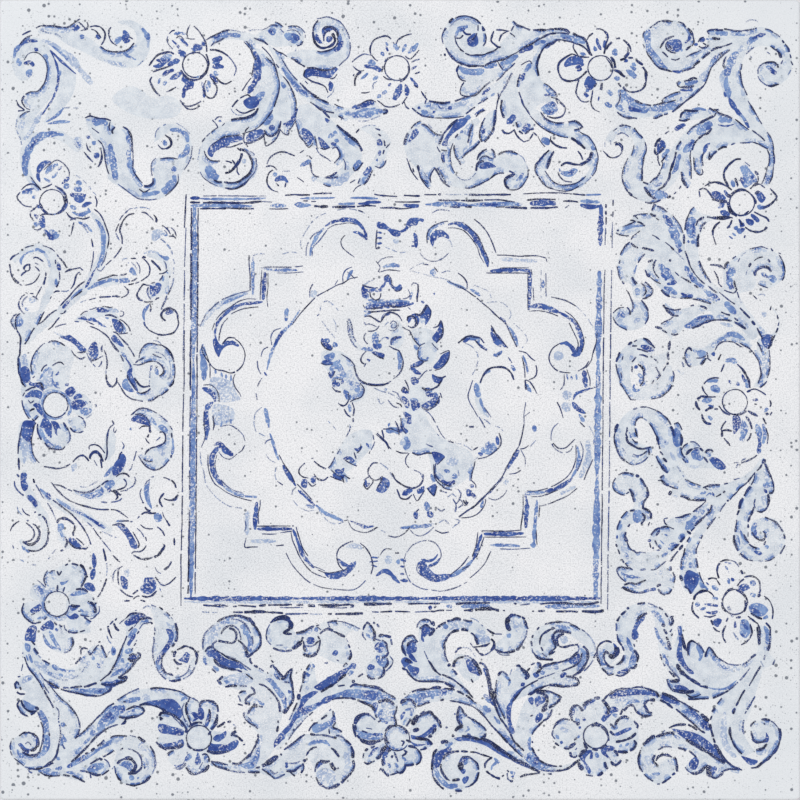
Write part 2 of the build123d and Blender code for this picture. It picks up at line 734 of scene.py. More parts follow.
L2.4 480,383 483,376 489,369 497,367 505,368 511,373 514,380
w3 484,374 490,370
w5 476,383 477,390 479,397
w3 480,398 482,405 486,412
l1.4 484,407 488,413 491,417
f1.2 484,419 488,422 491,425
f1.1 495,426 500,428 503,431
W5.5 491,332 495,339 501,347
W4 492,327 493,332
W3.4 495,333 500,340 506,347
L1.7 491,325 495,333 501,340 508,348
w4 502,351 497,355 493,355
L1.3 500,353 497,357
w5 511,365 515,371
l1.3 508,357 512,363
t 478,383 484,376 480,386 482,400 488,416 480,412 475,398
# mane at the right
A 426,304 430,308 431,315 428,322 425,325 425,319 420,318 423,312
L2.6 415,314 420,315 424,310 427,305
L1.6 427,305 431,311 430,318
A 441,321 444,330 442,338 436,342 432,338 436,332 439,327
L1.6 433,328 438,326 441,321 443,329 441,337 436,343
A 449,352 448,360 443,366 436,369 433,367 438,361 442,355
L1.6 440,354 449,351 448,360 441,368 432,371
A 432,374 438,377 443,378 440,384 436,383 433,381
L2 434,376 441,378 446,376
L1.8 442,379 438,386 432,389 425,390
W4 423,390 430,389
w5 437,331 438,337
L1.5 411,332 413,338 417,343 420,346
w5 414,345 418,349
L1.4 425,343 420,346 418,351 418,357 422,361 428,361
W5 412,366 418,364 424,361
L1.4 411,367 418,366 425,361
A 411,378 416,377 419,382 413,385
W4 411,365 415,371 421,374
l1.3 412,379 418,379 422,375 426,371 432,370
W2.5 433,294 435,294
W3 421,301 424,303
l1.3 432,343 435,347 438,350
L2 437,347 438,348
w3 427,357 428,359
t 412,330 432,330 438,345 432,362 420,362 413,345
t 396,320 402,326 404,340 398,348 390,340
t 410,388 422,386 430,394 424,410 440,436 470,452 474,470 456,486 440,488 432,470 426,452 404,450 404,420
p9 405,438 404,446
p8 446,462 458,462
p6 424,318 420,322
L2.6 469,427 474,427
l1.6 426,444 430,446 433,447
l1.4 437,434 439,436
# worn brown patch below
W4.5 416,511 416,516 417,519
W5 427,512 431,515 433,517
w8 424,507 430,506
L1.6 419,509 416,512
l1.6 441,491 447,493
l1.8 437,508 441,511 445,509
l1.8 453,499 456,505 455,512
l1.6 458,489 461,494 459,500
L2 463,500 466,504 468,502
f1.4 448,497 452,494 457,498
l1.5 456,504 460,500 463,504 458,508
f1.5 439,523 444,520 449,524
f1.4 455,519 460,521 454,526
""",
    "corner_scrolls_far_left": """
t 12,60 16,48 26,40 38,38 48,46 56,60 58,78 54,92 44,106 36,116 28,134 22,142 18,132 16,122 20,112 30,106
26,98 30,92 40,90 46,78 46,66 38,54 28,56 24,66 30,78 20,80 14,72
t 40,34 52,34 66,44 84,52 104,62 124,68 138,66 148,54 150,40 144,28 130,20 118,22 134,30 136,42 128,50
114,52 102,48 92,40 82,34 70,28 50,28 38,30
t 58,60 72,68 76,78 72,96 64,108 50,118 44,124 50,108 58,92
t 112,100 120,90 132,86 144,92 152,98 170,96 182,106 176,116 160,119 140,117 124,110
t 24,142 30,134 42,132 60,131 72,138 82,148 76,152 66,144 52,138 40,139 32,150 30,166 34,178 42,188 30,184
22,170 20,154
t 86,118 100,118 112,122 116,130 124,128 132,140 130,160 134,178 146,190 154,180 152,164 158,158 174,159
186,154 184,140 174,130 160,138 154,142 160,128 172,124 186,132 192,146 190,162 182,172 178,184 166,196
148,200 134,196 118,186 108,178 106,160 102,148 92,136
L1.8 36,28 40,26 50,26 60,27 68,27 74,23 80,19
W6 72,29 76,28 79,26
L1.8 79,22 82,25 86,29 88,26 87,22
L1.6 80,31 84,30 88,29
w5 80,35 84,38
L2 90,27 95,26 100,27 103,30 105,34 104,40 101,45
L1.6 91,29 96,31 99,35 101,38
W4.5 96,35 100,39
f1.4 40,30 48,33 56,34 62,38
p7 42,40 52,44 62,52 72,60 82,72 92,84
w3 52,46 60,52 68,60
W2.4 50,50 60,60 70,69 76,74
p4 140,26 148,38 148,48
w5 142,28 146,34 149,40
W7 124,30 126,36 124,42
W4 124,43 130,40
w8 116,38 120,42
L1.6 117,46 112,42 109,36 109,30 111,27
L1.8 100,46 106,50 114,52 124,51 130,48 134,43
L1.5 129,37 133,39
w3 122,52 128,56 136,60
f1 137,66 144,60
p4 104,60 114,63 126,66
W4.5 24,64 30,62 34,66
w10 26,72 32,74
W5 34,48 38,51
w6 44,54 47,60
w5 14,58 16,50 22,44
w5 20,66 18,58
W3 19,46 28,41 38,41
L1.6 20,44 26,38 32,35
L1.8 22,35 28,32 31,31
L1.4 24,60 28,54 34,52 40,54 46,62 47,72 44,84 38,91 30,92 24,96 22,102 26,108 30,110
L2.6 24,96 22,101 25,107
L1.8 16,100 19,106 24,110 18,111
L1.4 30,111 24,113 19,117
f1.3 17,119 16,128 20,138 22,145
p8 22,120 22,130
p5 42,112 36,122 30,132 24,140
W2.6 50,50 55,60 58,72 58,84 54,96 48,106 42,115
w3 60,76 60,70
f1.2 62,108 70,108 78,108
w3 46,122 56,116 64,108
w2.6 48,124 58,122 70,122
w7 26,176 25,164 28,152 34,142 42,136 54,134 64,135
W3 30,150 34,143 38,139
p6 74,138 82,144
w4 76,142 82,148
L1.6 30,176 36,184 41,190
f1.4 74,144 80,150
w8 92,122 100,122 108,124
L2 85,118 90,116 98,118 106,119 111,121
L1.6 110,122 109,127 110,131
L1.3 92,128 99,133
W3 86,136 90,138
L1.7 86,143 88,149 91,152
L1.7 84,152 88,157 93,162
w5 92,142 96,144
W6 94,154 99,157
L1.8 98,140 102,144 104,150 105,158 107,168 109,174
L2.2 101,150 102,158 100,164 98,167
L2.2 113,134 112,131 115,127
L2.4 123,127 128,130 131,136 132,144 132,152
w7 110,144 112,156 114,168 116,180
w5 128,134 130,144
w6 128,150 130,164 134,174
L1.6 133,150 133,162 133,170 138,178 144,185
L2.6 144,186 149,186 153,183 153,178
L1.6 139,189 144,192 150,189
l1.4 152,176 151,168 152,162 156,158
L1.6 160,159 170,158 178,159
w5 178,158 186,152 188,144
w5 170,130 178,130 186,135 188,142
L2.4 165,135 170,139 171,145 166,149
w5 164,140 166,146
L1.4 158,145 162,149 168,148
f1.4 155,138 156,132 160,127 166,124
f1.2 176,123 184,128 190,134
l1.4 192,146 191,156 188,164 184,170
w4.5 174,166 174,172
w5.5 174,174 175,182
w7 172,180 168,188 162,192
w4 142,196 150,194 160,192
L1.5 178,174 178,182 172,190 165,196
l1.5 118,184 126,190 134,196 140,199 150,200 158,199
""",
    "corner_scrolls_near_right": """
t 622,645 616,630 617,620 627,608 642,603 660,607 672,620 671,651 682,624 683,642 688,651 688,644 695,641
704,652 709,646 718,658 732,665 744,663 757,652 757,626 768,630 769,652 775,662 762,670 740,698 752,704
743,728 742,754 730,740 718,752 712,735 712,712 722,698 700,699 686,698 668,690 668,680 678,680 662,662
656,628 650,612 636,622 634,645 638,658 632,669 618,676 602,670 598,655 610,642 618,655 610,666 624,656
t 605,700 620,689 645,687 662,693 700,712 711,728 728,763 742,768 765,760 780,742 779,728 768,720 752,724
753,740 768,738 756,750 742,756 728,745 724,710 738,696 750,668 762,664 756,692 744,716 744,734 760,764
738,770 716,778 708,770 690,774 686,766 698,757 690,750 656,750 656,764 672,757 676,770 658,784 642,772
640,752 652,738 674,732 700,730 672,708 652,700 644,706 650,715 638,713 632,704 622,710
L2.6 637,604 640,603.5 645,603
l1.8 648,603 653,605 658,608
L2.8 659,607 663,610
L2.4 665,613 668,617
l2 669,619 670,624
L3.2 671,616 673,622 670,626
L3.6 627,609 629,607.5
L2.8 626,611 621,615
L3.2 620,616 617,621
l1.8 616,623 616.5,627 616,631
L2.6 617,634 618,639 620,643 622,645.5
L2 622,646 624,651
L3 647,613 643,615 639,618 637,622
A 646,613 641,616 637,620 634,626 632,632 632,638 635,640 639,636 637,630 640,624 644,620 645,617
W5 633,636 638,636
a 651,611 656,611 661,615 664,620 665,626 662,626 659,621 655,616
L4.4 662,624 665,626
L3 664,629 667,634
L3.2 666,637 668,640
L3.4 668,641 670,650
a 654,627 657,629 659,635 663,641 668,647 671,651 666,649 661,644 657,638 655,632
L2 672,629 670,632
L3 671,634 672.5,635
L2.6 597,648 600,644 604,641.5 608,641 612,642.5
A 613,643 617,646 618,651 616,657 612,659 608,656 611,654 614,651 614,647
L6.4 616,647 617,652 613,657 609,655
L3 609,654 606,652 604,655 604,659
L2.6 604,659 607,664 611,667 614,667
L2.6 597,648 597,655 599,662 601,666
L2.2 602,668 606,672 609,675 614,674
L2.6 616,665 620,663 623,659 624,655
a 600,652 604,649 606,651 603,655 603,661 606,666 602,664 599,658
L3 616,675 620,676 625,674 630,670
W4 617,673 624,671 630,668
L3 630,668 634,668 637,664
L3.4 637,662 638,658 637,654 634,650
a 633,652 637,657 636,662 632,666 628,668
w4 627,637 629,643 632,650 635,653
L1.6 634,644 635,647
A 678,626 681,626 682,634 682,642 682,652 684,660 688,667 693,671 694,674 690,674 686,670 681,665 677,658
677,650 679,640 678,632
L3.2 682,634 683,641 685,648 687,651
L4.4 677,664 680,670 685,675 690,679
L3.6 690,679 695,682 700,685
L2 702,686 708,686.5
L2.8 688,656 688,649 689,643 692,641 696,643
l2.4 696,643 700,646 703,650 704,653
w5 697,645 700,650 701,655 699,661
L2 660,654 662,660
L1.8 663,663 665,666
L2.6 669,671 675,677
w4 664,655 666,661 669,667
l2 667,664 671,669 676,675 680,679
L4 670,681 675,681 680,680
L2.6 667,679 669,685 672,690
A 674,686 680,685 686,687 690,691 688,693 682,691 677,690
L3.8 672,690 679,691.5 684,692 690,692 694,691
L2 686,694 691,697 697,696 701,694
L2.6 688,699 694,699 702,698.5 709,698.5
L2.6 604,700 607,696 613,692 620,689 630,688.3
L2.4 630,688.6 637,687 645,688
L2.4 645,688 651,690 656,692 659,697
A 609,696 616,692 624,690 634,689 644,690 652,691 656,694 659,697 653,696 645,695 636,695 628,696 620,697
612,699
p6 614,702 626,699 636,700
w4 626,705 634,701 640,702
L3 624,711 627,707 631,705 634,706
L2.8 634,706 636,711 640,714 645,716 650,715.5
L3 645,717 652,715
L3.2 652,713 648,712 646,708 644,705
L2.6 644,705 647,701 650,700
L3.6 650,700 655,700
L3.2 602,700 605,703 608,707 609,711
A 661,694 668,696 676,700 680,702 675,704 668,702 661,699
L3.4 662,693 669,696 677,700
L2.4 677,700 685,704 693,709 699,712
L2.8 660,700 666,703 670,706 673,708.5
L2.8 676,709 682,714 688,719 694,724 700,730
a 681,711 688,709 696,713 703,719 709,724 710,730 704,730 699,724 692,718 685,714
A 690,709 697,713 701,718 698,720 692,715
A 701,720 708,722 710,730 705,729 701,725
L4.4 701,714 705,718 709,721
w3 675,706 680,703
L3 669,728 673,726 680,724.5 686,724.5
L3.4 688,724.5 693,727 697,730
L2 700,730 705,733
A 672,729 682,730 692,732 700,735 707,740 714,746 720,752 725,758 728,763 722,760 714,755 706,750 698,746
690,743 682,737
L4 686,740 694,744 702,749 710,754
L4 710,754 718,759 725,763
L3.6 710,724 711,730 713,737
L2 713,738 715,743
L4.4 714,744 718,749 722,756 727,762
L3 727,762 731,765 736,768 740,769
l1.6 661,735 665,730
L3.8 643,745 647,742 651,738 655,736
L3.8 656,737 662,735 668,733 672,733 674,735
w4 674,735 680,739
L2.4 641,750 639,756 638.5,762 640,768 643,772
L2.2 644,774 648,778 653,781
l1.8 657,784 660,784
L2.4 662,783 667,780 671,777
L2.6 672,775 675,773
L2.8 677,772 677,766 676,760 674,757
L3.2 672,757 667,755 662,755 658,757 656,761
L3.2 655,755 653,760 656,764 658,766
L2 658,750 664,747 668,746.5 672,747
L2.6 678,748 683,749 686,751
L2.8 689,751 694,755 696,757
p6 648,755 647,766
w4 652,774 660,774
f1.6 668,760 671,765
A 693,758 697,757 699,761 697,768 694,770 690,768 689,763
l1.6 685,767 688,771 691,773
L3 691,773 695,774
L4.4 695,774 700,772 704,768 708,765
A 709,767 714,766 717,768 715,773 711,776 708,772
L5 711,766 708,769 709,774 712,777
L2.8 712,777 716,778 721,775 724,771 729,769
L2.4 729,769 733,769 738,769 742,770
L2.2 705,657 707,651 709,647
L2.2 709,647 712,650 716,656 721,660 728,664
l2 728,664 736,665 741,664.5
w4 742,666 747,664
l2 743,665 748,661 753,656
L4 751,658 756,654
w4 711,655 716,661
p6 716,664 724,667 732,669 740,669
w3 720,665 728,669
l2 750,668 746,673 742,678 738,682 733,687 728,691
L2.6 728,691 722,694 713,698
a 707,687 714,688 722,688 728,686 735,681 737,680 731,688 724,690 714,690
L2.4 700,686 708,688
L2 722,698 717,704
L3.6 715,708 712,712
L3 712,716 710,720
L2.2 761,666 757,672 753,679 749,686
L2.4 745,690 741,696 738,702 736,706
W4 735,708 733,713
L2.6 735,709 733,714
l2 755,696 751,703 748,708 745,714
l2.2 744,720 743,725 743,731 744,734
L3.2 730,727 730,733 732,740
L2.6 732,740 735,746 739,751 742,754
p6 725,712 724,725 724,740 730,752 736,757
A 741,756 746,757 752,759 758,761 756,764 750,765 746,762
L2.6 751,768 757,767 762,763 766,761
L3.2 763,762 769,758 774,752 778,746 780,740
L3 780,740 780.5,733 779,728
a 776,740 780,742 776,750 770,757 764,761 770,754
L2 756,721 752,724 751,727
L2 751,731 752,736 754,740
L3 752,739 757,742 762,742 766,740
A 766,732 769,737 768,742 763,743 760,742 765,739 766,735
L3.4 767,744 762,749 756,750
L3 761,719.5 766,719.5 770,720.5
l1.4 770,720.5 775,724 779,729
L1.6 764,723 765,725
L2.4 757,627 758,633 758.5,640 759,645
w6 764,626 768,634 768,645
L3 770,643 768,651
l2 765,655 764,660
l1.8 775,660 773,665
f1.4 761,661 764,668
L1.6 769.5,682 770.5,682.7
L1.6 788,695.5 788.8,696.3
""",
    "scrolls_left_upper": """
b9 14,262 19,255 27,250 37,248 46,251 53,259 55,270 53,282 48,294 43,306 38,318
b9 91,213 99,222 104,236 104,250 99,264 92,278 84,289 74,298 64,308 52,318 38,330 26,344
b10 96,284 110,281 126,279
b6 147,255 160,258 168,268 166,284
b9 112,338 121,350 129,366 133,382 142,390
b8 76,320 92,315 108,312 120,324
t 16,316 22,312 34,312 44,308 42,318 34,330 26,344 22,345 21,338 17,328
t 138,362 150,361 160,366 164,371 159,376 151,372 150,386 142,394 132,396 124,388 134,398 150,400 168,388
174,372 172,358 164,348 152,344 142,349
t 150,286 160,282 168,272 168,290 158,297 150,296
L2 134.5,213.3 129,214.8 124.5,219 122,223.5 119.7,230.5 121.5,235.5 122.3,240.5 122.2,247
L1.6 122,247 119,251.5 114,258.3
L1.4 111.5,260 106,265
l1.3 105,266 101,270.8 97.5,269.5 96,267
f1.3 150,209 145,207.5 139,207.3 134,208.3
l1.3 133,208.6 130,208.9 126,212.4 122.3,216.2 119.4,220.6
L1.3 118.8,223.5 117,227.5 115.6,231.5
l1.6 115.7,233 117.2,236.5 119.4,240.3
L2.2 141.5,212.4 145.5,212.8 149,215.6
L1.4 149,215.6 151.5,218 153.5,220.6
L2.6 153.5,215 155.6,217 156.6,220 156.2,222.5
q 152,232 155,229.5 160,229.5 164,232 167,234.5 163,236 159,238.5 155,241.5 152,239.5
L1.5 162.3,225.4 165.5,227.7 168.6,231 170.3,234.3
l1.2 164,230 166,232 167.3,234.3
L1.7 171,227.8 173.5,230 175.3,233.4 176.3,236.4
L1.5 168.7,236.2 171.5,236.2 174.5,236.8 176,238.6
w2 164,235.8 167.5,235
f1.8 160.5,239 163,240.6 167,244.8 170.3,249 172.4,254.5
f1.4 172.6,259 174.2,262.5 173.8,268 173.4,274
f1.8 173.8,278 172.5,284 170.5,289
L1.6 171.5,286.5 169.8,291 167.5,295
l2 167,295.5 165.5,300 163,305 161.2,309.5
p2.4 144,253.5 148,252.2 154,252 159,254
a 158,254 164,256 168,256 169.5,258.5 167.5,260.5 164,259.5
l1.2 164,261 166,265 166,270
l1.5 136.3,262 139,265.5 140,270 139.5,273.5
f1.2 131,262.5 135,266 137.3,271
L2.2 141.7,258.3 143.5,257 146,257.8
L1.8 143.5,258.5 146.5,261.5 149,265.5 150,270 149,275 145.5,278 141,281
L1.6 139.5,281.7 135.5,283.2
L1.8 134,283.5 131,284.5 128.5,284.6
l1.4 124.3,286.3 126,288
L1.6 131,281.3 134,280.3 137,278
L2.4 151.3,260.5 155,263.8 158.6,267.3 160.6,270.8
L1.6 159,273.8 162.5,273.5 165.5,272 167.5,270
L1.8 163,275 161.8,278 159.5,280.8
L1.4 169.5,277.5 170,275.8
w2.4 166,272 168.5,273.5
w2 164,276 162.5,281
A 150,285 153.5,286.5 155.5,283.5 158,282.5 161.3,284.5 161,288.5 158,293.5 154,296.3 151,295.5 150,291
L1.4 151,283.2 155,282.2
l2 148.3,287 147.2,291 148.2,295.5 151,299.5
L2 149.5,285.2 146.5,285.3 143.6,284.4 140.8,287.6 137.8,292
L2.4 137.8,292 137.2,296 139.5,299.5 143,301
L2 144,301.6 148,302.3 153,301.5
L2 155,300 157,298.5 159.5,297.8
L1.8 97.5,280.5 102,278.8 108,277.2 113,275.3 118,275.5
L1.6 120.5,275.2 124,274.8 126.8,273.7
a 87,288.5 91,286.5 94,283.5 99,281.5 105,279.6 110,278.2 116,279 122,278.3 128,278 130,281.5 124,283
117,282.3 108,282.5 103,284 98,286 92,288.5 88,290
w3.4 128,262.5 128.6,263.2
a 130.5,268 133,267 135.5,271.5 136.5,275 134,275.5 131,273 129,271.5
L1.8 125.5,287.5 128.3,290.5 128,293 126,295.5 121,297.5
L2.2 120,297 116,296.4 112,296.6
L1.8 111,296.6 105,297 99,297.3
l1.3 96,298 92,299 88.5,299.8
f1.3 86,300.3 80,302.5
f1.4 122,260 125,258.5 127.5,258.2
L1.6 131,258.6 136,258.3
L1.6 94,209 99,213 103.5,220 106.5,228 108.7,236 108.5,243 107,248.5
l1.4 106.5,252 104.5,259 101,266
f1.4 81,224 86,230 90,236
L1.6 91.5,239 93,247
l1.3 93.4,251 93,258.5 92,264 90,271.5
a 95,219 100,222 104,228 106,236 105.5,246 104.5,255 101,265 98,268 96.5,266 99,259 101,250 101,240 100,230
A 96,268 94.5,272 91,280 87.5,287 85,288 86.5,283 90,277 94,270
a 83,289 80,292 75,297 71.5,300 70.5,298 75,293 80,289
A 70,300 69,303 66,307 62.5,309 62,307 65,303 68,300
L1.8 84.6,281.5 79.2,285.4 75.4,289.2 69.2,296.2 64.6,300.8 60.4,305.8
L1.6 82,291 77,295 73,298
L1.8 57,310 53.8,311.5 49.2,314.6 46.2,317.7 43,321.2 39.2,323.8
L1.7 44.6,311.5 42,315.4 39.2,321.5 37,325.4
L2 34.6,327.7 30.8,333.8 28.5,338.5 24.6,344.2
L1.4 42.5,245.5 47,246.8 51,248.5 55,251.5
L1.6 57,254 58.8,257
L1.3 25,248 29,246.5 34,245.5
L2.2 21.5,250 23.5,249.5
L2.6 10,260 13,256.5 16,255
L1.6 16,255 19,253
L2.2 9.5,264 10.2,269 11,274 13,278.5 16,282.5
L2.8 13,277.5 16,281.5 19,283
L1.4 19.5,284 22,285.5
L1.5 25,285.5 29.5,284.5 33,283 36,280.5 38.5,276.5 39.8,273.5
L1.6 39.5,271.5 37.5,268.5 35,266.3
L2.2 30.5,264.5 27,264.8 24.5,267 23.7,269.5
L1.6 24,269.5 26,271 29,270.5 30,268 29.5,265.5
L1.8 26.5,271.5 23,273.5 20.8,276
L1.6 33,258.5 35,257.3 38,258 41,260 43.5,262
l1.2 35,263.3 38.5,264.5
a 20,264 19.5,260 21,257 24,254 28,251.5 32,250 37,248 42,250 46,252.5 43,253.5 38,251 33,252 28,253.5
24,257 22,261 21.5,265
q 44,251 48,256 50,261 51,267 49,267 47,260 44,255
L1.8 46,272.5 46,276
L2.4 45.8,277 44.5,281 43.3,284.5
L1.6 41.5,286.5 40,289.5 38,293 36,297
L2.2 59,257.5 61.5,260 64,263 66,266.5 67,268
A 58,262 60.5,265 61,270 58,270 56.5,266
L1.4 55.2,259.5 55.5,264
L2 65,272.5 68,270.5 72,269.3 76,268.5 80,267.5
L1.6 80,267.5 83,270.5
L1.8 80,272 77,274 75.5,278 74,284 71,289
L1.4 59.5,272 59.8,280
a 56,278 58,283 56,287 54.5,283
L1.8 59,281 57.5,285.5 56,287.5
L1.8 53.5,292.5 56,291 60,291
f1.2 61,291 67,291.3 69,290
L1.8 50.2,299 51.5,296.5
L1.8 37.5,299.5 35.5,297.5 32.5,296.5
L1.4 25.5,292.5 27.5,293.5
L1.5 30,293.5 33.5,293.7
L1.8 25,294.5 21.5,297 20,300
L1.8 19.3,301 18.5,304.5 19.5,308 21.5,311 24.5,314
l1.6 27.5,296 24,299.5 22.3,303 22.8,306.5
a 24.5,307.5 28,308 29,310 27,311 25,310
q 29,297 34,298 37,300 34,302 30,303
L1.8 20.5,313.5 17.5,315.5 15.8,319 15.3,323 15.8,327 17,330.5
l1.6 17,313.8 14,315.5 12.5,318 10.8,320.5 12,325 14.5,328.5 16.5,331
a 18.5,320 21,318 23.5,321 22.5,325 19.5,327 17.5,324
L2.2 17,331 19,334 20.5,338 20.5,344 20.2,350 19.8,355 18,358
L1.6 90,326.5 94,327.8 99,330.2 104,333.5 108,337 110.5,341
L2.2 110.5,341 113,344.5 116,348.5 119,352
L1.5 80.5,315 84,312 87.5,311
l1.3 74,321 79,321.8
L1.2 86,321.5 90,323 94,324.5
l1.3 55,327.5 60,325.4 66.5,323.8
L1.8 48,329.8 52,326.5 56,321.5 59.5,317.5
L1.6 60,313.5 63,313.5 66,310.5
A 78,318.5 82,316.5 85,316.5 87,319 91,317.5 94,318 97,320.5 100,323.5 96,322.5 91,321 87,320.5 82,319.5
a 97,320.5 102,323.5 107,327.5 104,327 99,325 96,322.5
A 96,310 98,307.5 102,307.5 107,309.5 110,311 106,312.5 100,312.5 97,312
L1.3 102,306.8 105,306.5 109,307.5 113,307.2
l1.3 89,309.3 92,309.2 97,307.2
q 105,308 112,308 117,309 119,312 116,313 110,312
L2.4 105,315.5 109,315 113,316 117,318
w2.2 105,317.5 108.5,318.5
A 112,319 117,319.5 121,323 123.5,327 122.5,331 119.5,333 115.5,330 113,325
a 121,322 124.5,326 126,331 124,333 122,330
l1.4 120.5,311 123,311.5 123.8,314 122,316 119.5,316
L1.6 119.5,319.5 123,321 126.5,324 129,327.5 130.5,331.5
L1.7 119,320.5 121.5,324 123,328 121,333.5
L1.4 119.5,334 123,333.8 128,333
L1.6 113,332 116,333 119,335.5
L1.6 119,336 123,340 126,343 128.5,345.5
L1.6 128.5,346.5 131,350.5 133,353.5 134.5,357
A 111,338 114,334.5 117,337 121,342 124,347 121,346.5 117,344 113,341.5
w3 121,352 124,355 127,359
L1.8 120.5,355 122,358.5 123.5,361.5
A 124,357 128,360 131,364 132.5,369 132,374 134.5,380 137,386 138,391 135,390 131,384 128,378 127,372
129.5,368 127.5,362
L1.6 133,364.5 138,365 142,364 147,362 152,361 156,361.5 160,363.5 165,368.5
L2 135.5,363 138.5,360.5 144,358
a 139,360.5 142,357 146,356 143,359.5
L2 157,362.5 161,365 163.5,369 164,372 161.5,375 159,376
A 150.5,365.5 153,365.5 152,369 150.5,371
L2.4 155.5,366 157.5,367.3
a 154,368 157,368.5 159,372 158,375.5 155,373
L1.5 152.5,354 156,355.8 161.5,357.8
f1.3 155,352 160,353 165,357 167,361
f1.3 169,360 170.5,368 170,376 167.5,380
f1.4 149.8,371 149.8,378 149.5,384
L1.7 139,358 140,352.5 142,348.5 145,345 148.5,343.3 154,343.5 159,344.8 162,345
L2 162,345.5 166,348 169.5,351.5 172.5,357 174,362
f1.3 153,340.5 158,341.5 161,344
L1.6 174,363.5 174.8,370 174.5,376 173.5,380
L2.4 174,380 172.5,384 169.5,387
L1.7 169,389.5 165,392.5 161,395.5
L2 160.5,395 156,397.5 152,400.5 148,401.2
L1.6 117.5,382 120,386 123,391 126.5,395.5 131,398.5 136,400 143,401.2
L2.4 127,375 128.5,379 132,384 136,390
L2.6 134.5,377.5 137,382 140,385.5 144,386.8 150,386
L1.8 137,391.5 140,393.2 144,392.8 148,391 150.5,388.5
a 122,384 124,379.5 127,378.5 129,383 132,388 134,391.5 130,392 126,390 123,388
A 60,337 65,336 69,334.5 73,337 78,341 82,345 86.5,350 84,352 80,351 76,346 72,343 67,340
q 53,331.5 60,334 66,337 68,341 62,338
A 89,348 93,342 96,342 98,347 98,356 94,359.5 90,356 87.5,351
L2 90,358 93,360.5 97,359 100,357.5 103,356
L1.8 71.5,350.5 74,354.5 77.5,357.5 81,359 85,357
L1.8 77.5,352.5 82,352.5 86,351.5
l1.7 86.5,353 89,358.5 92,363 95.5,367
l1.5 98.5,367 101,364.5 102,361
L1.6 102.5,345 101.5,348.5 102,352
L1.8 104,350 106,354.5 107,360 107,365 106.5,369
f1.4 106,369 105.8,374
L2 106.2,374.5 106.5,380
L2.6 106.5,380 108.5,384.5 111,387
L2 111.5,387.3 114.5,385.5 116.5,382.5 116.7,377.5
L2.6 165.5,321 162,318 161,314.5 163,311 167,308.8 171,308.3 175,310.5 177.5,314 178,319
A 165,313.5 168,310 172,310 174,312.5 171,314 168,315
L2 178,319 178.5,324 176.5,329 173,333 168,334.5 163,335 157,334 152,332 148,329.5
l2 148,329 145,325.5 144,321.5
w3 144.5,321 143.5,316 144.5,311 147.5,307 149.5,304.5
L1.6 150,303.5 151,308 150.2,312
""",
